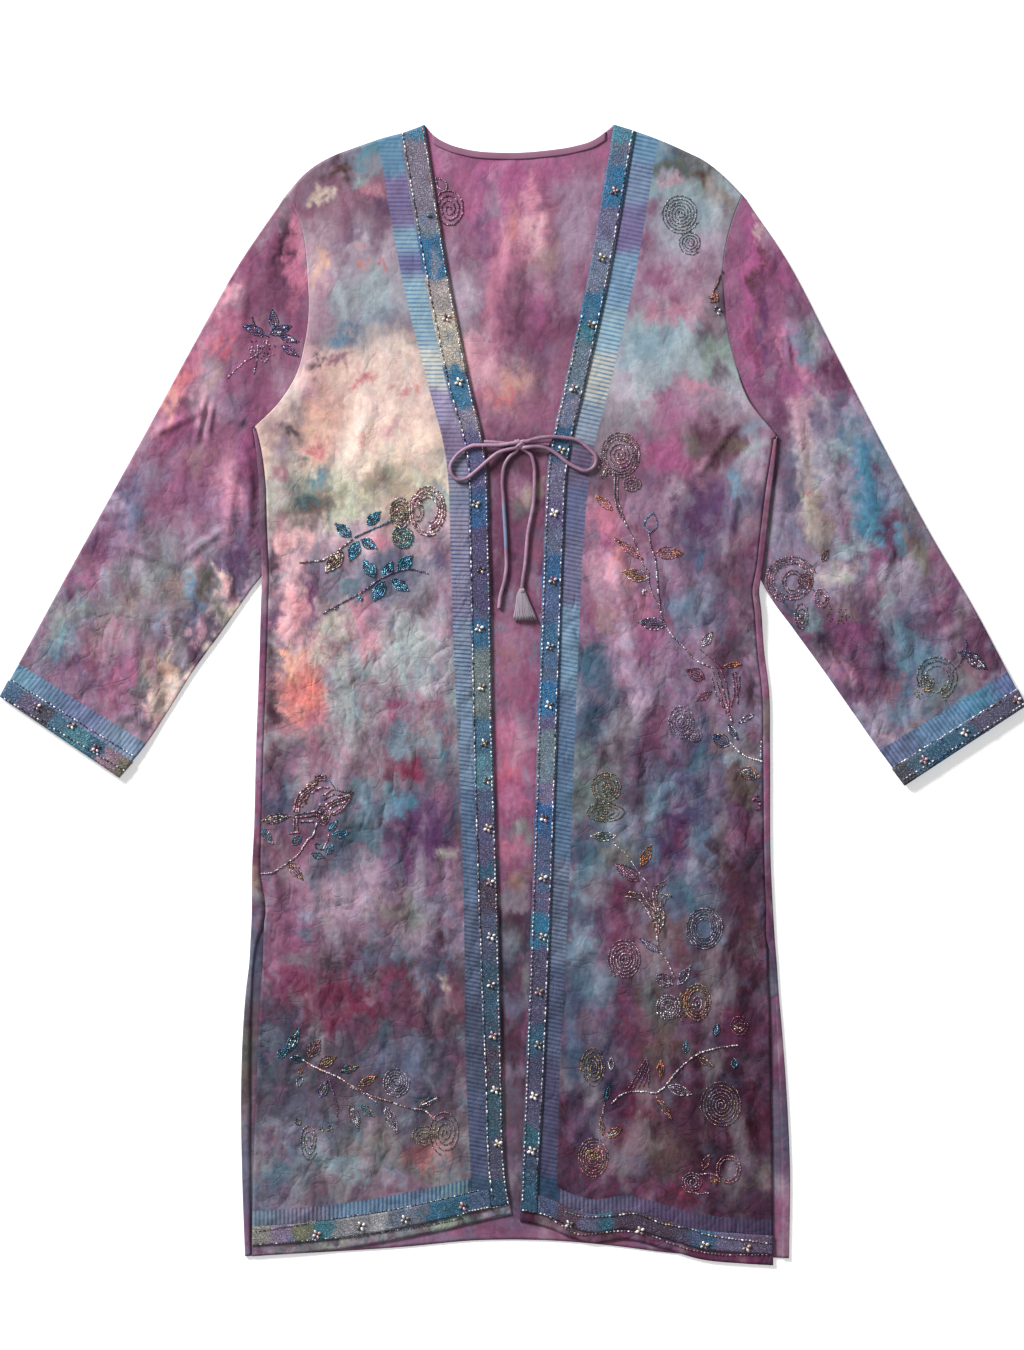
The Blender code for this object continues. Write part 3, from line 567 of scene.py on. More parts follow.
# distance and height of a soft fold's two ends, its rise, and half its width
FRONT_FOLDS = {
    "right": [
        (235, 800, 190, 640, 2.4, 10), (212, 705, 236, 560, 2.0, 9), (66, 870, 125, 700, 1.6, 13),
        (170, 560, 110, 330, 2.2, 14), (62, 520, 92, 300, 1.8, 12), (220, 420, 172, 180, 2.2, 13),
        (100, 260, 62, 90, 1.8, 11), (212, 1000, 150, 900, 1.6, 12),
    ],
    "left": [
        (90, 760, 150, 520, 2.5, 12), (150, 640, 232, 400, 2.2, 11), (228, 850, 170, 780, 2.0, 10),
        (120, 480, 100, 260, 2.0, 13), (190, 400, 160, 150, 2.2, 13), (70, 320, 112, 110, 1.8, 11),
        (214, 980, 160, 900, 1.6, 12), (228, 300, 216, 90, 1.8, 11),
    ],
}
SLEEVE_FOLDS = {
    "right": [
        (235, 1040, 238, 850, 2.2, 8), (276, 900, 322, 760, 2.0, 11), (288, 738, 330, 648, 2.4, 9),
        (332, 680, 382, 566, 2.6, 9), (362, 800, 402, 680, 1.8, 11), (414, 690, 440, 600, 1.8, 10),
    ],
    "left": [
        (236, 1030, 244, 860, 2.2, 8), (284, 900, 322, 770, 2.0, 11), (300, 730, 336, 654, 2.4, 9),
        (332, 662, 378, 560, 2.6, 9), (368, 790, 410, 680, 1.8, 11), (420, 680, 444, 600, 1.8, 10),
    ],
}
FOLD_CLEARANCE = (4.0, 30.0)


def ridge(x, h, start, end, top, half):
    """A soft ridge from start to end: a bell across it, tapering to its ends."""
    run = np.subtract(end, start)
    length = np.linalg.norm(run)
    run = run / length
    forward = ((x - start[0]) * run[0] + (h - start[1]) * run[1]) / length
    aside = (x - start[0]) * run[1] - (h - start[1]) * run[0]
    taper = ease(-0.12, 0.3, forward) * (1 - ease(0.7, 1.12, forward))
    return top * taper * np.exp(-((aside / half) ** 2))


def folds(rows, sign, x, h):
    """The summed ridges of a table of soft folds, on the right or left side."""
    return sum(ridge(x, h, (sign * a, b), (sign * c, d), top, half) for a, b, c, d, top, half in rows)


def tuck_rise(inward, h):
    """The cloth's rise over the tuck under the arm: full at the side, eased out inward and up and down."""
    low, full, still, gone = TUCK_SPAN
    upright = ease(low, full, h) * (1 - ease(still, gone, h))
    return TUCK_RISE * upright * (1 - ease(*TUCK_REACH, inward))


def side_distance(side, h, column):
    """Out from the middle: a column of the side's table below the armpit, the armhole above it."""
    armpit = ARMHOLE[side][0][0]
    return np.where(h <= armpit, through(SIDE[side], column, h), through(ARMHOLE[side], 1, h))


def front_side_distance(side, h):
    """Out from the middle to a front's side edge: the back's wrapped edge less the gap between them."""
    armpit = ARMHOLE[side][0][0]
    seam = through(SIDE[side], 2, h) - np.maximum(through(SIDE[side], 3, h), SEAM)
    return np.where(h <= armpit, seam, through(ARMHOLE[side], 1, h))


def fold_rise(side, h):
    """The wrapped edge's rise, which eases from the slit's to the side seam's about the slit's top."""
    return mix(SLIT_FOLD_RISE, SIDE_FOLD_RISE, ease(SLIT_TOP[side] - 40, SLIT_TOP[side] + 40, h))


def row_height(side, h_side, hem_side, foot, top):
    """Height along a row: its height at the side, bent to the foot's line low down and the top's high up."""
    shoulder = ARMHOLE[side][-1][0]
    from_hem = (foot - hem_side) * (1 - ease(hem_side, SLIT_TOP[side], h_side))
    return h_side + from_hem + (top - shoulder) * ease(shoulder / 2, shoulder, h_side)


def row_across(side, h_side, hem_side, share):
    """Distances along rows: share 0 at the side seam, 1 at the band's inner edge, 2 at the front edge."""
    h_edge = row_height(side, h_side, hem_side, FRONT_EDGE[side][0][0], SHOULDER[side][0][1])
    edge = through(FRONT_EDGE[side], 1, h_edge)
    band = through(FRONT_EDGE[side], 2, h_edge)
    at_side = front_side_distance(side, h_side)
    distance = mix(at_side, edge + band, np.minimum(share, 1)) - band * np.maximum(share - 1, 0)
    across = (distance - at_side) / (edge - at_side)
    top = through(SHOULDER[side], 1, mix(SHOULDER[side][-1][0], SHOULDER[side][0][0], across))
    return distance, top, across


def front_at(side, h_side, share):
    """The middle surface of a front: rows by their height at the side, columns by their share."""
    sign = -1 if side == "right" else 1
    hem_side = FRONT_HEM[side][-1][1]
    distance, top, across = row_across(side, h_side, hem_side, share)
    reach = mix(FRONT_HEM[side][-1][0], FRONT_EDGE[side][0][1], across)
    h = row_height(side, h_side, hem_side, through(FRONT_HEM[side], 1, reach), top)
    x = sign * distance
    inward = front_side_distance(side, h_side) - distance
    settle = 1 - ease(0, FRONT_SETTLE, inward)
    z = CLOTH * 1.5 + SEAM + (fold_rise(side, h_side) - CLOTH - SEAM) * settle
    tuck = tuck_rise(side_distance(side, h_side, 1) - distance, h_side)
    z = z + tuck + TUCK_EASE * ease(0, 0.4, tuck) + folds(FRONT_FOLDS[side], sign, x, h)
    return np.stack([x, h, z], axis=-1)


def normals_of(grid, sewn_from=None):
    """Unit normals of a grid: its slope across times its slope down. Sewn rows close on themselves."""
    down = np.gradient(grid, axis=0)
    across = np.gradient(grid, axis=1)
    if sewn_from is not None:
        across[sewn_from:, 0] = across[sewn_from:, -1] = (grid[:, 1] - grid[:, -2])[sewn_from:]
    normal = np.cross(across, down)
    return normal / np.linalg.norm(normal, axis=2, keepdims=True)


def outward(grid, column, sewn_from=None):
    """Normals turned so that they point up in the middle row at that column."""
    normal = normals_of(grid, sewn_from)
    return normal * np.sign(normal[len(grid) // 2, column, 2])


def cloth(name, grid, wall, look, up, paint=None, sewn_from=None):
    """A wall on both sides of a grid of middle points, closed round its free edges."""
    rows, columns = grid.shape[:2]
    sewn = rows if sewn_from is None else sewn_from
    normal = outward(grid, up, sewn_from)
    flip = np.sign(normals_of(grid, sewn_from)[rows // 2, up, 2]) > 0
    vertices = np.concatenate(
        [(grid + normal * wall / 2).reshape(-1, 3), (grid - normal * wall / 2).reshape(-1, 3)]
    )
    index = np.arange(rows * columns).reshape(rows, columns)
    index[sewn:, -1] = index[sewn:, 0]
    under = rows * columns
    ring = np.stack([index[:-1, :-1], index[1:, :-1], index[1:, 1:], index[:-1, 1:]], axis=-1).reshape(-1, 4)
    if flip:
        ring = ring[:, ::-1]
    a = [index[0, :-1], index[-1, 1:]]
    b = [index[0, 1:], index[-1, :-1]]
    stop = min(sewn, rows - 1)
    a += [index[1 : stop + 1, 0], index[:stop, -1]]
    b += [index[:stop, 0], index[1 : stop + 1, -1]]
    a = np.concatenate(a)
    b = np.concatenate(b)
    edge = np.stack([a, b, under + b, under + a], axis=-1)
    if flip:
        edge = edge[:, ::-1]
    faces = np.concatenate([ring, under + ring[:, ::-1], edge])
    doubled = {}
    for key, values in (paint or {}).items():
        values = np.asarray(values, float)
        flat = values.reshape(rows * columns, -1)
        doubled[key] = np.concatenate([flat, flat])
    obj = shape(name, place(vertices), faces, look, doubled)
    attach(obj, "root")
    return obj


# Dyes. The silk is dyed by hand in blots that run into each other. A dye is named with its colour
# as the lamps show it. A blot is chart u and v, half its length and width, its turn, dye and depth.
LAMPS = 1.3  # how much brighter the lamps show a surface than its base colour
DYES = {
    "mauve": (142, 98, 124), "deep_mauve": (110, 70, 96), "magenta": (164, 98, 138),
    "pink": (198, 138, 160), "pale_pink": (212, 172, 184), "lilac": (158, 138, 160),
    "pale_lilac": (182, 166, 184), "plum": (92, 62, 80), "dark_plum": (68, 46, 60),
    "wine": (116, 58, 82), "violet": (92, 66, 104), "aqua": (122, 152, 168),
    "pale_aqua": (164, 182, 188), "cyan": (88, 142, 166), "teal": (74, 108, 124),
    "slate": (100, 104, 128), "dark_slate": (70, 74, 94), "indigo": (78, 74, 112),
    "blue": (82, 116, 150), "cream": (226, 208, 196), "peach": (230, 186, 166),
    "coral": (214, 142, 138), "coral_pink": (204, 118, 130), "tan": (154, 134, 124),
    "olive": (118, 112, 98), "sea_green": (124, 144, 136), "brown": (86, 60, 56),
    "charcoal": (70, 62, 68), "grey": (138, 132, 140), "mint": (196, 204, 190),
    # the palest cream serves for painted highlights as well as for dye
    "green_grey": (104, 108, 98), "dusk": (98, 84, 98), "cream_and_highlight": (246, 226, 210),
    "deep_wine": (72, 42, 58), "dark_teal": (58, 82, 96), "deep_violet": (84, 58, 98),
}
RIGHT_FRONT_GROUND = [
    (120, "aqua"), (150, "lilac"), (200, "mauve"), (235, "lilac"), (275, "pale_lilac"),
    (330, "grey"), (352, "cream"), (455, "cream"), (492, "mint"), (535, "pale_lilac"),
    (565, "slate"), (625, "lilac"), (690, "pale_aqua"), (745, "grey"), (800, "slate"),
    (845, "dusk"), (905, "lilac"), (955, "dusk"), (1000, "wine"), (1040, "dusk"), (1110, "dusk"),
    (1165, "grey"), (1220, "dusk"), (1260, "lilac"),
]
# broad fields under the blots: chart u and v, half long, half wide, turn, dye and depth
RIGHT_FRONT_FIELDS = [
    (330, 168, 34, 16, 10, "plum", 0.7), (372, 165, 26, 16, 20, "aqua", 0.6),
    (335, 215, 46, 22, 80, "mauve", 0.6), (300, 285, 50, 26, 85, "pale_pink", 0.6),
    (375, 300, 44, 34, 80, "pale_aqua", 0.7), (300, 350, 34, 22, 80, "pale_pink", 0.6),
    # the palest cream field here and the peach field beside it are partly dye and partly a painted pool of
    # light on the chest
    (372, 404, 62, 52, 80, "cream_and_highlight", 0.95), (322, 405, 46, 26, 85, "peach", 0.7),
    (285, 438, 26, 20, 60, "plum", 0.7), (282, 500, 40, 24, 80, "grey", 0.6),
    (320, 505, 34, 22, 30, "olive", 0.6), (345, 512, 26, 16, 20, "mint", 0.6),
    (400, 500, 44, 30, 80, "tan", 0.6), (432, 540, 50, 22, 85, "lilac", 0.7),
    (392, 575, 34, 24, 30, "slate", 0.85), (294, 605, 44, 24, 80, "pale_pink", 0.75),
    (330, 636, 34, 22, 70, "mint", 0.7), (300, 692, 40, 26, 80, "coral", 0.7),
    (268, 700, 70, 14, 88, "plum", 0.7), (405, 640, 50, 30, 60, "pale_aqua", 0.7),
    (352, 700, 44, 24, 80, "grey", 0.6), (365, 612, 26, 14, 60, "pink", 0.45),
    (405, 712, 34, 26, 30, "mauve", 0.6), (400, 772, 52, 16, -6, "wine", 0.6),
    (330, 765, 40, 24, 60, "mauve", 0.6), (366, 800, 34, 22, 0, "aqua", 0.6),
    (440, 760, 30, 18, 80, "teal", 0.6), (415, 850, 50, 30, 75, "violet", 0.85),
    (340, 852, 50, 26, 20, "teal", 0.6), (290, 880, 60, 24, 80, "mauve", 0.7),
    (352, 905, 54, 22, 0, "pale_lilac", 0.6), (410, 915, 30, 20, 60, "grey", 0.6),
    (300, 950, 40, 22, 60, "magenta", 0.4), (345, 1000, 66, 26, 10, "wine", 0.45),
    (412, 1000, 40, 30, 60, "plum", 0.7), (436, 965, 30, 14, 80, "slate", 0.6),
    (272, 1050, 60, 26, 85, "dark_teal", 0.7), (330, 1075, 50, 26, 20, "dusk", 0.6),
    (420, 1080, 50, 26, 80, "slate", 0.7), (374, 1050, 34, 20, 60, "teal", 0.5),
    (430, 1145, 34, 24, 60, "olive", 0.6), (310, 1140, 44, 24, 20, "slate", 0.7),
    (360, 1165, 40, 20, 0, "grey", 0.6), (275, 1190, 40, 22, 60, "slate", 0.7),
    (400, 1190, 40, 14, 0, "mauve", 0.5),
]
RIGHT_FRONT_BLOTS = [
    (377, 147, 26, 9, 18, "cyan", 0.8), (368, 178, 10, 7, 0, "pale_aqua", 0.8),
    (341, 170, 20, 7, 20, "brown", 0.95), (318, 160, 14, 14, 0, "lilac", 0.7),
    (322, 196, 8, 7, 0, "cream", 0.8), (320, 215, 12, 16, 90, "mauve", 0.6),
    (370, 219, 28, 24, 0, "deep_mauve", 0.55), (358, 236, 16, 9, 0, "violet", 0.5),
    (374, 191, 12, 7, 10, "pink", 0.85), (392, 205, 10, 18, 90, "violet", 0.6),
    (318, 266, 22, 9, 70, "peach", 0.9), (330, 290, 12, 9, 0, "pale_pink", 0.7),
    (385, 265, 6, 4, 0, "coral_pink", 0.9), (359, 258, 6, 5, 0, "coral", 0.8),
    (366, 308, 34, 24, 0, "pale_aqua", 0.6), (390, 318, 12, 20, 90, "slate", 0.45),
    (343, 334, 15, 6, 25, "cyan", 0.7), (336, 361, 14, 8, 20, "mauve", 0.8),
    (364, 379, 12, 7, 0, "coral_pink", 0.75), (401, 390, 9, 6, 0, "coral_pink", 0.7),
    (416, 391, 7, 5, 0, "coral", 0.7), (315, 364, 9, 8, 0, "dusk", 0.9),
    (312, 388, 16, 9, 75, "pale_pink", 0.6), (291, 432, 13, 6, 10, "charcoal", 0.95),
    (300, 412, 14, 8, 60, "grey", 0.6), (321, 448, 15, 9, 0, "coral_pink", 0.75),
    (362, 441, 13, 8, 0, "coral", 0.65), (388, 430, 18, 8, 30, "pale_pink", 0.6),
    (317, 480, 11, 9, 80, "cyan", 0.7), (281, 477, 14, 9, 90, "mauve", 0.85),
    (282, 452, 12, 8, 90, "lilac", 0.6), (375, 479, 22, 12, 10, "olive", 0.65),
    (318, 507, 27, 15, 0, "charcoal", 0.75), (304, 500, 12, 8, 0, "teal", 0.7),
    (424, 480, 18, 10, 0, "mint", 0.6), (436, 500, 14, 22, 90, "aqua", 0.5),
    (350, 512, 12, 9, 0, "mint", 0.85), (292, 541, 19, 17, 0, "pale_pink", 0.9),
    (272, 571, 30, 7, 85, "dark_plum", 0.85), (272, 622, 22, 8, 85, "violet", 0.85),
    (269, 650, 14, 9, 80, "charcoal", 0.8), (310, 600, 34, 7, 82, "violet", 0.75),
    (291, 615, 30, 13, 80, "pale_pink", 0.75), (353, 592, 14, 13, 60, "teal", 0.8),
    (375, 541, 14, 8, 0, "pink", 0.7), (335, 555, 14, 22, 90, "lilac", 0.5),
    (402, 581, 40, 26, 0, "slate", 0.7), (430, 565, 18, 10, 60, "indigo", 0.6),
    (425, 600, 20, 8, 30, "dusk", 0.7), (372, 640, 16, 10, 40, "pink", 0.6),
    (410, 655, 24, 12, -20, "pale_aqua", 0.6), (440, 632, 12, 14, 90, "lilac", 0.7),
    (336, 645, 16, 10, 0, "mauve", 0.5), (432, 672, 10, 16, 90, "teal", 0.55),
    (303, 693, 24, 30, 0, "coral", 0.75), (292, 668, 12, 9, 40, "peach", 0.8),
    (318, 716, 12, 12, 0, "pink", 0.6), (271, 711, 26, 10, 80, "dark_plum", 0.85),
    (350, 712, 22, 26, 0, "pale_aqua", 0.55), (372, 690, 12, 9, 0, "lilac", 0.6),
    (399, 707, 12, 8, 20, "magenta", 0.8), (430, 700, 18, 9, -40, "mauve", 0.6),
    (402, 741, 20, 20, 0, "aqua", 0.65), (443, 751, 12, 10, 90, "teal", 0.75),
    (300, 760, 20, 10, 0, "mauve", 0.6), (276, 770, 22, 9, 85, "plum", 0.7),
    (406, 775, 24, 6, 6, "wine", 0.8), (362, 776, 15, 11, 0, "aqua", 0.75),
    (330, 790, 14, 10, 0, "lilac", 0.6), (405, 804, 21, 8, -10, "cyan", 0.6),
    (440, 800, 16, 9, 80, "mauve", 0.5), (428, 838, 24, 32, 0, "violet", 0.7),
    (445, 855, 6, 9, 0, "mint", 0.6), (366, 833, 27, 13, -10, "teal", 0.65),
    (300, 800, 20, 12, 60, "grey", 0.6), (290, 860, 22, 12, 80, "plum", 0.55),
    (262, 830, 40, 6, 90, "plum", 0.6), (345, 900, 30, 22, 0, "pale_lilac", 0.5),
    (398, 910, 32, 18, 0, "green_grey", 0.5), (441, 941, 11, 13, 0, "dark_plum", 0.75),
    (306, 934, 8, 15, 90, "teal", 0.7), (280, 935, 18, 44, 0, "mauve", 0.6),
    (430, 900, 16, 12, 0, "slate", 0.6), (325, 990, 26, 12, 10, "wine", 0.8),
    (355, 1010, 46, 14, 0, "wine", 0.6), (410, 1012, 30, 20, 0, "plum", 0.7),
    (372, 962, 22, 9, 30, "slate", 0.7), (445, 985, 7, 8, 0, "cream", 0.55),
    (300, 960, 16, 9, 0, "grey", 0.6), (340, 1075, 44, 30, 0, "dusk", 0.6),
    (285, 1040, 20, 30, 0, "dark_slate", 0.55), (400, 1060, 30, 22, 0, "slate", 0.55),
    (300, 1110, 30, 16, 0, "slate", 0.5), (370, 1140, 34, 14, 10, "olive", 0.4),
    (340, 1165, 30, 14, -10, "aqua", 0.5), (290, 1170, 26, 14, 0, "teal", 0.5),
    (430, 1152, 26, 14, 0, "coral_pink", 0.45), (385, 1180, 22, 9, 0, "lilac", 0.6),
    (260, 1120, 60, 10, 90, "dusk", 0.6), (280, 1205, 24, 12, 0, "lilac", 0.5),
    (300, 1250, 40, 7, 4, "grey", 0.85), (345, 1242, 34, 6, 6, "mint", 0.45),
    (400, 1236, 34, 7, 8, "grey", 0.8),
    (447, 1226, 20, 8, 12, "mint", 0.65), (470, 1220, 14, 7, 12, "sea_green", 0.8),
    (489, 1212, 9, 6, 0, "pale_lilac", 0.8),
    (504, 1210, 9, 6, 0, "aqua", 0.7),
]
LEFT_FRONT_GROUND = [
    (120, "aqua"), (150, "grey"), (180, "pale_aqua"), (250, "pale_lilac"), (300, "lilac"),
    (345, "pale_aqua"), (400, "grey"), (440, "mauve"), (500, "dusk"), (560, "lilac"),
    (620, "lilac"), (690, "pale_lilac"), (740, "slate"), (820, "slate"), (880, "slate"),
    (940, "dusk"), (1000, "dusk"), (1060, "dusk"), (1110, "plum"), (1180, "dusk"), (1230, "plum"),
    (1270, "mauve"),
]
LEFT_FRONT_FIELDS = [
    (668, 160, 40, 14, -20, "dark_teal", 0.7), (708, 186, 26, 16, -40, "green_grey", 0.7),
    (650, 190, 34, 18, 80, "aqua", 0.6), (690, 222, 34, 22, 60, "pale_aqua", 0.7),
    (730, 230, 34, 14, 80, "grey", 0.6), (642, 246, 30, 16, 80, "mauve", 0.7),
    (680, 262, 40, 20, 20, "pale_lilac", 0.5), (672, 296, 44, 22, 10, "mauve", 0.75),
    (716, 312, 40, 18, 80, "dusk", 0.75), (646, 360, 48, 36, 60, "pale_aqua", 0.95),
    (716, 366, 34, 18, 70, "sea_green", 0.55), (618, 400, 44, 20, 80, "pale_aqua", 0.7),
    (690, 402, 50, 24, 0, "lilac", 0.6), (718, 446, 40, 24, 0, "plum", 0.9),
    (668, 450, 34, 24, 60, "magenta", 0.55), (610, 450, 30, 24, 60, "grey", 0.5),
    (752, 462, 50, 12, 85, "pale_lilac", 0.6), (716, 506, 44, 26, 40, "violet", 0.8),
    (604, 530, 40, 22, 70, "pink", 0.55), (640, 520, 40, 22, 60, "mauve", 0.7),
    (745, 560, 70, 16, 86, "deep_mauve", 0.75), (690, 556, 34, 20, 0, "slate", 0.6),
    (700, 606, 40, 22, 60, "aqua", 0.6), (610, 600, 60, 18, 75, "pale_pink", 0.7),
    (646, 665, 60, 20, -70, "pale_lilac", 0.85), (590, 690, 60, 24, 85, "teal", 0.8),
    (648, 612, 34, 20, 60, "mauve", 0.6), (728, 650, 60, 22, 80, "plum", 0.8),
    (690, 690, 40, 20, -50, "lilac", 0.5), (620, 745, 50, 20, 80, "dusk", 0.8),
    (596, 790, 60, 30, 85, "sea_green", 0.7), (655, 740, 44, 18, 80, "mauve", 0.6),
    (706, 752, 36, 22, 20, "slate", 0.8), (742, 765, 40, 16, 80, "tan", 0.6),
    (655, 808, 50, 22, 80, "aqua", 0.7), (694, 800, 40, 26, 60, "slate", 0.7),
    (676, 842, 34, 22, 40, "deep_violet", 0.8), (742, 860, 90, 28, 86, "deep_wine", 0.8),
    (594, 880, 60, 26, 85, "teal", 0.7), (625, 892, 40, 24, 20, "wine", 0.55),
    (692, 896, 44, 26, 30, "aqua", 0.55), (625, 948, 44, 22, 10, "mauve", 0.55),
    (585, 980, 60, 22, 85, "aqua", 0.7), (668, 955, 40, 20, 60, "tan", 0.35),
    (730, 985, 70, 40, 80, "deep_wine", 0.8), (650, 1030, 50, 30, 60, "olive", 0.5),
    (592, 1060, 50, 26, 80, "teal", 0.7), (625, 1040, 30, 20, 60, "mauve", 0.5),
    (628, 1120, 50, 26, 60, "wine", 0.75), (590, 1130, 40, 18, 80, "slate", 0.6),
    (720, 1120, 90, 56, 80, "deep_wine", 0.85), (670, 1150, 40, 22, 80, "olive", 0.4),
    (690, 1200, 80, 20, 0, "deep_wine", 0.7),
]
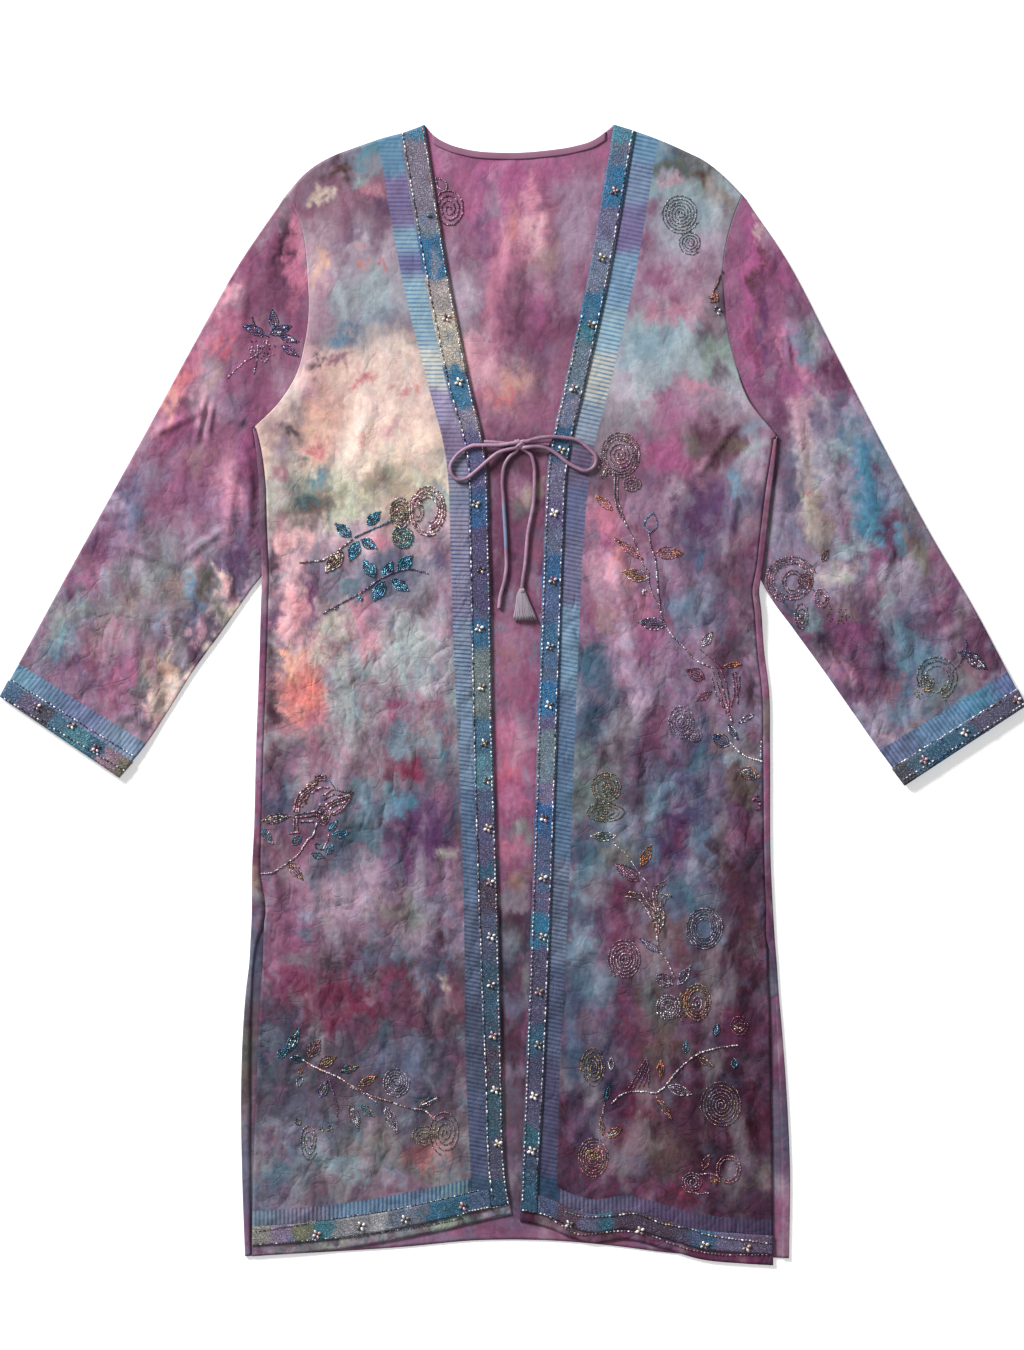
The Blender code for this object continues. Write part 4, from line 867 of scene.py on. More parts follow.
LEFT_FRONT_BLOTS = [
    (578, 960, 60, 12, 88, "aqua", 0.55), (574, 1044, 46, 10, 88, "cyan", 0.45),
    (598, 850, 40, 20, 60, "aqua", 0.45), (700, 886, 26, 16, 60, "aqua", 0.4),
    (703, 928, 20, 18, 0, "cyan", 0.45), (594, 905, 30, 16, 70, "teal", 0.4),
    (655, 146, 22, 9, -18, "cyan", 0.6), (664, 160, 14, 8, -15, "green_grey", 0.95),
    (690, 168, 24, 8, -22, "green_grey", 0.85), (705, 179, 11, 9, -30, "brown", 0.85),
    (722, 196, 22, 14, -60, "tan", 0.5), (655, 180, 12, 16, 90, "pale_aqua", 0.7),
    (654, 205, 10, 14, 60, "mauve", 0.8), (670, 182, 12, 8, 0, "pale_pink", 0.6),
    (710, 215, 18, 14, 0, "pale_aqua", 0.7), (735, 215, 8, 22, 0, "grey", 0.6),
    (645, 240, 10, 20, 80, "mauve", 0.75), (640, 252, 10, 9, 0, "violet", 0.5),
    (690, 262, 40, 18, 10, "pale_lilac", 0.5), (706, 270, 16, 14, 90, "mauve", 0.5),
    (670, 290, 42, 30, 10, "mauve", 0.6), (668, 284, 30, 14, 10, "magenta", 0.45),
    (650, 300, 9, 16, 90, "lilac", 0.8), (690, 310, 10, 24, 90, "pink", 0.55),
    (720, 300, 22, 12, 75, "dusk", 0.75), (709, 330, 26, 12, -80, "plum", 0.55),
    (650, 318, 8, 10, 0, "pink", 0.6), (680, 322, 18, 8, -20, "pink", 0.6),
    (640, 350, 34, 20, 10, "aqua", 0.75), (670, 368, 34, 18, 20, "pale_aqua", 0.75),
    (716, 352, 14, 18, 90, "sea_green", 0.8), (722, 374, 14, 12, 60, "dusk", 0.75),
    (618, 385, 14, 40, 0, "pale_lilac", 0.6), (613, 420, 22, 26, 0, "grey", 0.7),
    (660, 398, 16, 9, 30, "mauve", 0.8), (672, 412, 28, 14, 0, "magenta", 0.6),
    (700, 392, 26, 8, -10, "pink", 0.6), (745, 396, 20, 10, -50, "pale_lilac", 0.6),
    (715, 440, 34, 18, 0, "plum", 0.85), (692, 448, 20, 10, 0, "green_grey", 0.6),
    (672, 460, 20, 20, 0, "magenta", 0.6), (735, 448, 14, 10, 0, "olive", 0.7),
    (749, 425, 10, 12, 0, "aqua", 0.7), (752, 455, 22, 10, 60, "pale_aqua", 0.7),
    (737, 484, 12, 10, 20, "cyan", 0.8), (762, 470, 9, 18, 0, "pale_lilac", 0.7),
    (706, 478, 14, 20, 90, "pale_pink", 0.4), (700, 500, 34, 24, 50, "violet", 0.75),
    (740, 512, 26, 16, 20, "indigo", 0.75), (725, 530, 22, 14, 0, "violet", 0.7),
    (755, 540, 12, 28, 0, "deep_mauve", 0.6), (596, 520, 14, 26, 70, "pink", 0.75),
    (606, 538, 12, 9, 0, "magenta", 0.75), (640, 510, 28, 18, 40, "lilac", 0.7),
    (665, 500, 20, 9, 60, "pale_lilac", 0.6), (640, 545, 30, 16, 0, "mauve", 0.45),
    (690, 550, 20, 14, 0, "slate", 0.6), (702, 556, 6, 7, 0, "cyan", 0.9),
    (727, 575, 20, 30, 0, "plum", 0.8), (750, 600, 12, 24, 0, "dusk", 0.7),
    (612, 575, 16, 30, 70, "pale_pink", 0.7), (620, 560, 10, 9, 0, "coral", 0.5),
    (590, 600, 12, 30, 0, "mauve", 0.6), (640, 610, 20, 20, 0, "pink", 0.45),
    (690, 605, 26, 16, 60, "aqua", 0.6), (712, 625, 18, 12, 60, "slate", 0.6),
    (620, 640, 30, 14, 70, "pale_lilac", 0.7), (650, 640, 22, 14, 50, "magenta", 0.6),
    (590, 665, 16, 22, 90, "teal", 0.8), (612, 695, 12, 26, 0, "teal", 0.6),
    (606, 620, 12, 16, 90, "tan", 0.5), (735, 650, 22, 14, 80, "dusk", 0.75),
    (752, 690, 20, 12, 80, "dark_plum", 0.7), (690, 665, 18, 12, -30, "lilac", 0.6),
    (638, 690, 30, 10, 80, "pale_lilac", 0.7), (590, 730, 22, 30, 0, "teal", 0.6),
    (622, 740, 44, 9, 85, "dusk", 0.8), (604, 748, 12, 14, 0, "deep_mauve", 0.6),
    (584, 755, 12, 12, 0, "sea_green", 0.7), (655, 735, 30, 12, 80, "mauve", 0.6),
    (700, 760, 26, 16, 20, "teal", 0.8), (672, 760, 16, 12, 0, "deep_mauve", 0.6),
    (735, 765, 12, 8, -20, "pale_aqua", 0.8), (745, 790, 24, 12, -60, "olive", 0.6),
    (720, 740, 22, 9, -60, "tan", 0.6), (590, 800, 26, 22, 0, "sea_green", 0.6),
    (628, 800, 18, 18, 0, "dusk", 0.7), (662, 800, 30, 12, 80, "aqua", 0.65),
    (700, 800, 24, 24, 0, "slate", 0.7), (668, 822, 14, 9, 50, "violet", 0.85),
    (680, 846, 12, 9, 30, "deep_mauve", 0.95), (700, 840, 18, 14, 0, "aqua", 0.5),
    (740, 830, 22, 30, 0, "mauve", 0.5), (722, 850, 30, 10, -80, "dark_plum", 0.75),
    (590, 850, 20, 20, 0, "teal", 0.65), (620, 850, 22, 14, 0, "green_grey", 0.7),
    (582, 880, 12, 22, 0, "aqua", 0.6), (612, 895, 24, 20, 0, "wine", 0.45),
    (640, 880, 14, 12, 0, "lilac", 0.6), (690, 895, 30, 18, 0, "teal", 0.65),
    (708, 880, 16, 12, 90, "violet", 0.55), (738, 890, 30, 26, 0, "plum", 0.8),
    (722, 870, 10, 26, 70, "brown", 0.55), (750, 925, 14, 24, 0, "brown", 0.5),
    (606, 925, 20, 14, 20, "mauve", 0.6), (584, 940, 9, 26, 0, "pale_aqua", 0.6),
    (625, 940, 22, 14, 0, "mauve", 0.5), (660, 930, 22, 14, 0, "tan", 0.35),
    (725, 960, 30, 26, 0, "plum", 0.6), (575, 985, 16, 26, 0, "teal", 0.6),
    (600, 990, 18, 18, 40, "aqua", 0.45), (622, 1000, 14, 16, 0, "mauve", 0.7),
    (640, 1030, 18, 14, 0, "wine", 0.4), (588, 1030, 14, 26, 0, "grey", 0.6),
    (660, 1010, 26, 14, -60, "sea_green", 0.5), (668, 1045, 26, 20, 0, "olive", 0.5),
    (735, 1030, 34, 30, 0, "deep_mauve", 0.6), (600, 1060, 16, 16, 0, "teal", 0.5),
    (620, 1075, 20, 14, 0, "slate", 0.5), (640, 1108, 20, 18, 0, "wine", 0.8),
    (580, 1100, 18, 20, 0, "dusk", 0.6), (600, 1118, 26, 12, 20, "slate", 0.5),
    (665, 1150, 22, 26, 0, "olive", 0.6), (630, 1160, 20, 14, 0, "slate", 0.5),
    (690, 1120, 30, 30, 0, "plum", 0.6), (750, 1120, 30, 30, 0, "wine", 0.3),
    (650, 1188, 40, 9, 0, "mauve", 0.6), (690, 1190, 26, 9, 10, "coral_pink", 0.4),
    (740, 1200, 30, 20, 0, "dusk", 0.6), (758, 1180, 8, 22, -70, "olive", 0.7),
    (590, 1170, 20, 14, 0, "mauve", 0.6), (720, 1060, 26, 12, 0, "dark_plum", 0.6),
    (660, 1228, 60, 8, -8, "pale_lilac", 0.5), (740, 1250, 40, 9, -10, "magenta", 0.35),
    (590, 1226, 20, 10, -30, "tan", 0.6), (612, 1236, 14, 7, -20, "green_grey", 0.6),
]
BACK_GROUND = [
    (125, "mauve"), (150, "magenta"), (200, "mauve"), (260, "mauve"), (320, "deep_mauve"),
    (370, "mauve"), (430, "mauve"), (520, "deep_mauve"), (600, "mauve"), (680, "mauve"),
    (760, "mauve"), (820, "mauve"), (900, "plum"), (960, "dark_slate"), (1020, "dusk"),
    (1060, "plum"), (1120, "dusk"), (1180, "dusk"), (1220, "mauve"), (1260, "mauve"),
]
BACK_FIELDS = [
    (512, 168, 50, 30, 0, "magenta", 0.8), (480, 225, 60, 18, 85, "magenta", 0.7),
    (528, 232, 50, 22, 85, "pink", 0.75), (575, 235, 60, 22, 80, "lilac", 0.6),
    (540, 320, 70, 26, 85, "deep_mauve", 0.7), (462, 310, 60, 18, 85, "pale_lilac", 0.7),
    (478, 368, 44, 18, 60, "pink", 0.7), (520, 385, 34, 22, 30, "peach", 0.25),
    (560, 400, 50, 18, 80, "mauve", 0.6), (508, 455, 44, 20, 0, "plum", 0.8),
    (515, 560, 60, 26, 80, "deep_mauve", 0.7), (512, 650, 50, 24, 80, "mauve", 0.55),
    (512, 760, 80, 26, 85, "magenta", 0.35), (510, 860, 50, 22, 80, "mauve", 0.6),
    (510, 965, 60, 30, 80, "charcoal", 0.7), (508, 1060, 60, 30, 80, "plum", 0.7),
    (508, 1160, 60, 30, 80, "dusk", 0.7),
]
BACK_BLOTS = [
    (510, 172, 20, 40, 0, "magenta", 0.8), (498, 200, 40, 9, 82, "magenta", 0.7),
    (528, 190, 34, 7, 85, "pink", 0.7), (552, 175, 20, 9, 80, "magenta", 0.6),
    (575, 190, 26, 18, 70, "lilac", 0.55), (590, 160, 16, 20, 0, "mauve", 0.6),
    (486, 225, 44, 6, 84, "violet", 0.6), (504, 245, 40, 9, 86, "pink", 0.85),
    (514, 225, 20, 6, 88, "coral", 0.6), (536, 240, 30, 10, 85, "pale_pink", 0.85),
    (545, 262, 26, 12, 70, "tan", 0.45), (530, 222, 14, 6, 85, "cream", 0.3),
    (575, 235, 30, 18, 80, "lilac", 0.6), (545, 196, 22, 6, 80, "deep_mauve", 0.7),
    (466, 260, 30, 12, 85, "deep_mauve", 0.6), (450, 250, 14, 12, 0, "lilac", 0.5),
    (492, 300, 34, 9, 86, "pink", 0.6), (522, 300, 44, 6, 88, "plum", 0.5),
    (540, 310, 34, 10, 86, "magenta", 0.6), (565, 290, 24, 14, 80, "lilac", 0.45),
    (575, 320, 26, 10, 80, "deep_mauve", 0.5), (458, 290, 14, 26, 0, "pale_lilac", 0.6),
    (462, 330, 20, 14, 80, "grey", 0.6), (470, 350, 20, 12, 30, "pale_pink", 0.7),
    (476, 372, 22, 12, 30, "pale_pink", 0.7), (500, 374, 20, 8, 30, "pale_pink", 0.5),
    (514, 386, 18, 9, 10, "peach", 0.4), (498, 398, 16, 8, 0, "coral_pink", 0.5),
    (540, 370, 30, 16, 80, "violet", 0.45), (555, 400, 30, 12, 80, "mauve", 0.7),
    (500, 350, 24, 8, 86, "mauve", 0.5), (520, 420, 30, 10, 0, "mauve", 0.7),
    (505, 462, 30, 12, 0, "plum", 0.7), (532, 470, 16, 9, 60, "deep_mauve", 0.7),
    (532, 492, 18, 9, 50, "tan", 0.8), (520, 508, 14, 8, 50, "sea_green", 0.5),
    (508, 530, 26, 14, 80, "deep_mauve", 0.6), (530, 535, 22, 10, 80, "mauve", 0.7),
    (498, 570, 26, 12, 80, "plum", 0.6), (515, 640, 22, 16, 0, "lilac", 0.35),
    (500, 655, 14, 10, 0, "tan", 0.4), (522, 685, 24, 12, 80, "mauve", 0.6),
    (505, 700, 24, 10, 80, "deep_mauve", 0.5), (512, 745, 30, 22, 80, "pink", 0.4),
    (506, 775, 18, 16, 0, "coral_pink", 0.4), (520, 800, 20, 10, 0, "pink", 0.45),
    (504, 815, 14, 10, 0, "mauve", 0.5), (524, 832, 12, 12, 0, "sea_green", 0.6),
    (505, 848, 16, 12, 0, "pink", 0.6), (520, 880, 12, 10, 80, "tan", 0.8),
    (510, 897, 18, 12, 0, "grey", 0.75), (515, 925, 22, 14, 0, "dark_plum", 0.7),
    (508, 955, 16, 22, 0, "dark_slate", 0.5), (512, 1000, 20, 14, 0, "slate", 0.5),
    (508, 1045, 20, 18, 0, "dark_plum", 0.5), (510, 1100, 26, 10, 90, "dusk", 0.6),
    (506, 1165, 30, 10, 90, "lilac", 0.35),
    (254, 880, 18, 8, 90, "tan", 0.8), (252, 840, 30, 8, 90, "plum", 0.6),
    (252, 950, 60, 8, 90, "slate", 0.6), (244, 1050, 60, 12, 90, "green_grey", 0.7),
    (244, 1180, 60, 14, 90, "slate", 0.6), (770, 715, 22, 9, 90, "green_grey", 0.7),
    (771, 800, 60, 9, 90, "mauve", 0.8), (771, 862, 5, 9, 0, "teal", 0.9),
    (771, 874, 3.5, 9, 0, "teal", 0.9), (773, 920, 40, 9, 90, "deep_mauve", 0.7),
    (780, 1050, 60, 12, 90, "mauve", 0.6), (784, 1130, 40, 10, 90, "slate", 0.5),
    (785, 1210, 50, 12, 90, "mauve", 0.4), (560, 1246, 80, 14, 0, "mauve", 0.7),
    (764, 480, 44, 12, 90, "mauve", 0.7),
    (765, 550, 44, 12, 90, "deep_mauve", 0.8), (767, 600, 30, 12, 90, "dusk", 0.7),
    (262, 500, 60, 14, 90, "dusk", 0.7),
    (262, 620, 60, 14, 90, "deep_mauve", 0.6),
    (430, 1242, 80, 14, 0, "lilac", 0.5),
]
RIGHT_SLEEVE_GROUND = [
    (180, "mauve"), (260, "mauve"), (330, "mauve"), (420, "mauve"), (480, "mauve"),
    (520, "lilac"), (580, "grey"), (640, "grey"), (700, "mauve"), (760, "lilac"),
]
RIGHT_SLEEVE_FIELDS = [
    (284, 270, 70, 16, 84, "deep_mauve", 0.7), (250, 300, 60, 26, 66, "mauve", 0.7),
    (215, 330, 50, 16, 60, "pink", 0.6), (232, 390, 50, 24, 70, "grey", 0.4),
    (175, 400, 50, 16, 58, "pink", 0.6), (205, 430, 40, 22, 60, "mauve", 0.6),
    (255, 480, 60, 20, 85, "deep_mauve", 0.75), (230, 500, 50, 14, 85, "pink", 0.4),
    (135, 500, 44, 22, 55, "aqua", 0.5), (175, 510, 40, 26, 60, "mauve", 0.5),
    (95, 560, 44, 18, 55, "mauve", 0.6), (160, 560, 44, 26, 40, "grey", 0.6),
    (245, 560, 44, 22, 60, "violet", 0.6), (215, 600, 30, 14, -60, "aqua", 0.4),
    (110, 625, 50, 26, 50, "tan", 0.4), (64, 640, 40, 22, 55, "grey", 0.6),
    # the pale cream fields on the lower folds are partly painted highlights, and the dark slate field
    # between them partly painted shade
    (228, 630, 40, 12, -50, "cream_and_highlight", 0.6), (196, 640, 44, 10, 85, "dark_slate", 0.7),
    (165, 690, 50, 16, 75, "cream", 0.6), (120, 690, 50, 26, 60, "mauve", 0.6),
]
RIGHT_SLEEVE_BLOTS = [
    # the dark plum streak down the cap is a painted shadow beside its fold, and the pink streak beside it a
    # painted highlight on the fold's lit side
    (268, 235, 40, 12, 60, "magenta", 0.4), (283, 245, 48, 6, 85, "dark_plum", 0.85),
    (297, 262, 44, 7, 84, "pink", 0.85), (300, 225, 20, 8, 60, "pink", 0.6),
    (270, 300, 40, 9, 80, "deep_mauve", 0.6), (252, 265, 26, 9, 60, "mauve", 0.6),
    (262, 232, 26, 7, 60, "grey", 0.4), (226, 298, 22, 8, 62, "pale_pink", 0.85),
    (234, 320, 18, 9, 60, "pink", 0.6), (236, 300, 18, 9, 70, "grey", 0.5),
    (222, 345, 18, 8, 30, "coral_pink", 0.65), (203, 350, 16, 8, 60, "pink", 0.7),
    (209, 366, 14, 7, 80, "grey", 0.7), (240, 370, 30, 14, 60, "magenta", 0.45),
    (215, 385, 24, 9, 75, "tan", 0.5), (186, 378, 20, 8, 60, "coral", 0.6),
    (170, 402, 22, 8, 60, "peach", 0.55), (190, 404, 22, 9, 30, "plum", 0.5),
    (205, 405, 26, 8, 82, "pale_pink", 0.55), (222, 408, 24, 9, 10, "pale_lilac", 0.6),
    (240, 410, 22, 14, 0, "violet", 0.4), (182, 425, 34, 8, 25, "magenta", 0.5),
    (150, 440, 22, 9, 30, "mauve", 0.7), (215, 440, 24, 16, 0, "mauve", 0.6),
    (198, 462, 22, 14, 70, "tan", 0.45), (225, 470, 24, 9, 80, "pale_pink", 0.45),
    (231, 500, 22, 7, 86, "pink", 0.5), (248, 450, 30, 10, 84, "magenta", 0.5),
    (256, 480, 36, 12, 86, "deep_mauve", 0.7), (128, 490, 20, 9, 50, "slate", 0.75),
    (112, 508, 14, 10, 50, "pale_lilac", 0.7), (140, 505, 18, 10, 60, "aqua", 0.5),
    (160, 500, 26, 18, 0, "mauve", 0.6), (200, 520, 30, 14, 0, "mauve", 0.6),
    (102, 545, 26, 14, 55, "deep_mauve", 0.5), (84, 578, 20, 10, 55, "mauve", 0.7),
    (120, 540, 16, 10, 60, "lilac", 0.6), (165, 545, 30, 22, 30, "grey", 0.75),
    (150, 575, 34, 20, 20, "sea_green", 0.35), (158, 520, 20, 12, 30, "plum", 0.3),
    (180, 585, 26, 14, 60, "tan", 0.6), (130, 600, 30, 12, 60, "tan", 0.4),
    (195, 588, 24, 6, -62, "aqua", 0.8), (206, 582, 18, 8, -75, "olive", 0.8),
    (236, 560, 34, 18, 60, "violet", 0.55), (254, 540, 20, 10, 80, "mauve", 0.7),
    # in the rows from here down to chart v 720, the cream, pale pink and peach blots along the lower folds
    # are partly painted highlights, and the slate, dark slate, dusk and plum blots between them partly
    # painted shade
    (262, 560, 20, 8, 60, "deep_mauve", 0.6), (219, 582, 20, 5, -76, "cream", 0.9),
    (228, 598, 16, 7, -60, "pink", 0.7), (244, 590, 22, 6, 30, "pale_lilac", 0.6),
    (236, 616, 26, 9, -32, "cream", 0.9), (222, 612, 18, 7, -60, "green_grey", 0.7),
    (215, 632, 18, 10, -40, "violet", 0.7), (222, 652, 24, 8, -20, "cream", 0.8),
    (200, 640, 26, 8, 82, "dusk", 0.75), (193, 610, 26, 5, 86, "slate", 0.8),
    (196, 632, 20, 4, 80, "pale_pink", 0.7), (205, 664, 18, 9, -30, "plum", 0.6),
    (190, 680, 24, 9, 20, "cream", 0.75), (178, 668, 26, 8, 84, "dark_slate", 0.75),
    (168, 680, 30, 8, 80, "peach", 0.75), (158, 700, 24, 9, 60, "cream", 0.7),
    (172, 720, 24, 10, 60, "cream", 0.85), (160, 735, 20, 8, 40, "pink", 0.6),
    (185, 705, 14, 7, 60, "green_grey", 0.7), (148, 670, 26, 9, 84, "tan", 0.6),
    (142, 690, 24, 9, 80, "sea_green", 0.4), (130, 660, 34, 10, 78, "mauve", 0.7),
    (118, 690, 26, 14, 60, "pink", 0.35), (100, 640, 30, 16, 50, "pink", 0.4),
    (110, 620, 26, 12, 50, "grey", 0.6), (70, 620, 30, 14, 58, "sea_green", 0.6),
    (62, 640, 24, 10, 40, "aqua", 0.5), (50, 660, 20, 10, 40, "teal", 0.4),
    (85, 665, 30, 14, 20, "mauve", 0.5), (96, 700, 26, 12, -30, "plum", 0.45),
    (130, 725, 22, 12, -30, "grey", 0.6), (75, 690, 26, 12, -30, "lilac", 0.5),
]
LEFT_SLEEVE_GROUND = [
    (180, "mauve"), (260, "mauve"), (330, "mauve"), (400, "mauve"), (450, "lilac"),
    (520, "lilac"), (600, "mauve"), (660, "mauve"), (720, "lilac"), (790, "pale_lilac"),
]
LEFT_SLEEVE_FIELDS = [
    (755, 290, 110, 14, 87, "magenta", 0.7), (785, 280, 60, 16, -64, "deep_mauve", 0.5),
    (812, 340, 40, 16, -64, "pale_aqua", 0.5), (798, 385, 26, 20, 20, "magenta", 0.6),
    (842, 378, 40, 16, -60, "deep_mauve", 0.6), (803, 440, 60, 12, -84, "cream", 0.4),
    (778, 450, 60, 16, 86, "deep_mauve", 0.5), (866, 452, 50, 22, -64, "cyan", 0.65),
    (870, 500, 44, 16, -72, "cyan", 0.6), (815, 515, 50, 16, -78, "tan", 0.6),
    (850, 510, 40, 14, -76, "pale_lilac", 0.5), (890, 548, 60, 18, 66, "deep_mauve", 0.8),
    (920, 520, 50, 16, -62, "grey", 0.6), (925, 565, 34, 18, -60, "olive", 0.6),
    (790, 570, 50, 26, 80, "lilac", 0.6), (838, 572, 34, 20, 0, "pale_lilac", 0.6),
    (868, 615, 34, 24, 60, "deep_mauve", 0.8), (830, 640, 40, 18, -55, "plum", 0.6),
    (905, 625, 44, 20, 60, "aqua", 0.6), (950, 625, 50, 22, -58, "mauve", 0.7),
    (915, 672, 34, 22, 40, "cyan", 0.55), (985, 650, 34, 16, -60, "plum", 0.6),
    (850, 690, 40, 20, -55, "mauve", 0.6), (880, 720, 40, 18, 34, "pale_lilac", 0.6),
]
LEFT_SLEEVE_BLOTS = [
    (746, 330, 110, 6, 88, "magenta", 0.75), (752, 235, 30, 8, -70, "magenta", 0.55),
    # the thin brown line beside the armhole seam is a painted shadow line below the sleeve cap's fold
    (757, 280, 60, 4, 86, "brown", 0.7), (758, 225, 26, 3, 88, "cream", 0.55),
    (768, 225, 18, 8, 80, "grey", 0.55), (766, 290, 44, 9, 84, "deep_mauve", 0.75),
    (764, 330, 34, 6, 88, "violet", 0.8), (785, 270, 40, 9, -64, "magenta", 0.6),
    (775, 310, 30, 9, 84, "mauve", 0.5), (792, 300, 30, 9, -64, "deep_mauve", 0.6),
    (752, 348, 16, 7, 86, "wine", 0.6), (776, 360, 26, 9, 60, "violet", 0.6),
    (782, 345, 22, 5, 75, "pink", 0.65), (790, 340, 14, 6, 80, "lilac", 0.4),
    (806, 350, 30, 8, -66, "aqua", 0.65), (818, 345, 22, 9, -66, "sea_green", 0.65),
    (828, 352, 16, 8, -66, "pale_lilac", 0.7), (798, 350, 7, 6, 0, "magenta", 0.7),
    (803, 370, 16, 7, -70, "pink", 0.8), (795, 386, 24, 12, 10, "magenta", 0.75),
    (838, 378, 26, 10, -60, "deep_mauve", 0.75), (848, 372, 22, 6, -62, "pink", 0.6),
    (812, 395, 20, 6, -60, "pale_aqua", 0.6), (770, 390, 20, 8, 0, "deep_mauve", 0.5),
    (800, 430, 36, 8, -84, "pale_pink", 0.5), (810, 410, 22, 6, 86, "pale_pink", 0.75),
    (818, 420, 26, 8, -70, "slate", 0.55), (838, 408, 18, 8, -50, "teal", 0.55),
    (852, 412, 18, 9, 40, "pale_lilac", 0.6), (780, 420, 26, 12, 80, "deep_mauve", 0.6),
    (846, 435, 18, 9, -60, "teal", 0.6), (864, 446, 30, 11, -62, "cyan", 0.8),
    (882, 456, 20, 7, -60, "teal", 0.5), (858, 430, 12, 7, 0, "dusk", 0.6),
    (838, 455, 18, 10, 0, "pale_aqua", 0.7), (835, 465, 12, 9, 30, "plum", 0.6),
    (878, 470, 16, 9, -70, "deep_mauve", 0.85), (866, 480, 34, 11, -72, "cyan", 0.85),
    (812, 470, 14, 9, 60, "slate", 0.6), (776, 470, 34, 10, 86, "plum", 0.6),
    (790, 480, 30, 9, 84, "slate", 0.55), (808, 500, 40, 11, -80, "cream", 0.55),
    (818, 520, 40, 10, -76, "tan", 0.6), (806, 487, 5, 5, 0, "coral_pink", 0.8),
    (840, 500, 26, 10, -76, "pale_lilac", 0.6), (846, 520, 26, 8, -80, "mauve", 0.6),
    (870, 520, 32, 10, -76, "cyan", 0.8), (850, 545, 20, 9, 20, "pale_aqua", 0.65),
    (888, 540, 44, 9, 66, "deep_mauve", 0.8), (875, 575, 26, 9, 80, "magenta", 0.7),
    (902, 540, 16, 8, 50, "cyan", 0.75), (916, 510, 24, 10, -60, "grey", 0.7),
    (928, 520, 22, 9, -60, "mauve", 0.6), (922, 560, 26, 14, -60, "olive", 0.7),
    (900, 570, 20, 12, 50, "pale_lilac", 0.7), (885, 600, 20, 9, 50, "pale_aqua", 0.7),
    (945, 570, 34, 10, -62, "magenta", 0.55), (760, 530, 40, 10, 86, "dusk", 0.5),
    (775, 540, 26, 14, 0, "lilac", 0.6), (800, 590, 30, 22, 0, "lilac", 0.6),
    (838, 576, 18, 14, 0, "cream", 0.6), (850, 580, 10, 8, 0, "sea_green", 0.4),
    (792, 612, 22, 4, -55, "teal", 0.9), (812, 618, 18, 12, -50, "pale_aqua", 0.7),
    (840, 612, 22, 10, 30, "tan", 0.4), (865, 600, 14, 24, 0, "deep_mauve", 0.8),
    (872, 630, 18, 14, 40, "deep_mauve", 0.75), (850, 632, 22, 12, 0, "magenta", 0.55),
    (826, 645, 22, 12, -55, "plum", 0.65), (846, 670, 26, 12, -50, "pink", 0.45),
    (905, 600, 24, 12, 30, "lilac", 0.6), (900, 632, 24, 14, 60, "aqua", 0.6),
    (925, 625, 26, 10, -10, "deep_mauve", 0.75), (950, 620, 34, 14, -55, "mauve", 0.7),
    (975, 640, 30, 10, -60, "wine", 0.35), (880, 665, 22, 12, 70, "deep_mauve", 0.6),
    (915, 665, 26, 18, 40, "aqua", 0.65), (890, 690, 16, 12, 60, "coral_pink", 0.4),
    (940, 690, 26, 16, 30, "sea_green", 0.5), (965, 675, 26, 12, -60, "tan", 0.4),
    (985, 660, 20, 10, -60, "plum", 0.5), (905, 712, 26, 14, 30, "aqua", 0.6),
    (865, 715, 24, 14, -50, "pale_lilac", 0.7), (885, 740, 22, 10, -50, "pale_pink", 0.6),
    (860, 690, 20, 10, -50, "mauve", 0.5), (925, 725, 26, 9, 34, "tan", 0.5),
    (960, 705, 34, 6, 34, "aqua", 0.7), (900, 745, 26, 6, 34, "pale_lilac", 0.6),
]


def tone(shown):
    """The base colour of a dye, or of a shown red, green and blue."""
    shown = np.array(DYES[shown] if isinstance(shown, str) else shown, float) / 255
    return np.where(shown <= 0.04045, shown / 12.92, ((shown + 0.055) / 1.055) ** 2.4) / LAMPS


# chart v, and factors on red, green and blue: partly dye depth, partly painted light and shade down the
# panel
RIGHT_FRONT_DEPTH_AND_SHADE = [
    (200, 0.84, 0.84, 0.76), (400, 0.88, 0.82, 0.86), (520, 1.2, 1.14, 0.98), (680, 1.15, 1.02, 0.94),
    (860, 0.92, 0.86, 0.82), (1080, 0.88, 0.95, 0.88),
]
LEFT_FRONT_DEPTH_AND_SHADE = [
    (230, 0.84, 0.84, 0.84), (400, 1.08, 1.02, 1.0), (530, 0.93, 0.82, 0.85), (690, 0.75, 0.67, 0.72),
    (880, 0.84, 0.77, 0.78), (1080, 0.64, 0.47, 0.56),
]
BACK_DEPTH_AND_SHADE = [(200, 1.02, 1.0, 0.97), (700, 1.0, 0.95, 0.92), (1100, 0.9, 0.9, 0.9)]
RIGHT_SLEEVE_DEPTH_AND_SHADE = [(320, 0.91, 0.76, 0.81), (480, 1.0, 0.9, 0.94), (640, 0.95, 0.95, 0.95)]
LEFT_SLEEVE_DEPTH_AND_SHADE = [(320, 1.04, 0.92, 1.0), (480, 0.86, 0.95, 0.94), (650, 0.7, 0.8, 0.8)]


def laid(colour, a, b, rows, low, high, most):
    """Lays rows of elliptical dye spots over the colours, each with a rim from low to high."""
    for u0, v0, long, wide, turn, name, depth in rows:
        far = 1.5 * (long + wide)
        near = np.flatnonzero((np.abs(a - u0) < far) & (np.abs(b - v0) < far))
        p = a[near] - u0
        q = v0 - b[near]
        c, s = math.cos(math.radians(turn)), math.sin(math.radians(turn))
        away = np.hypot((p * c + q * s) / long, (q * c - p * s) / wide)
        amount = min(most * depth, 0.97) * (1 - ease(low, high, away))
        colour[near] = mix(colour[near], tone(name), amount[:, None])
    return colour


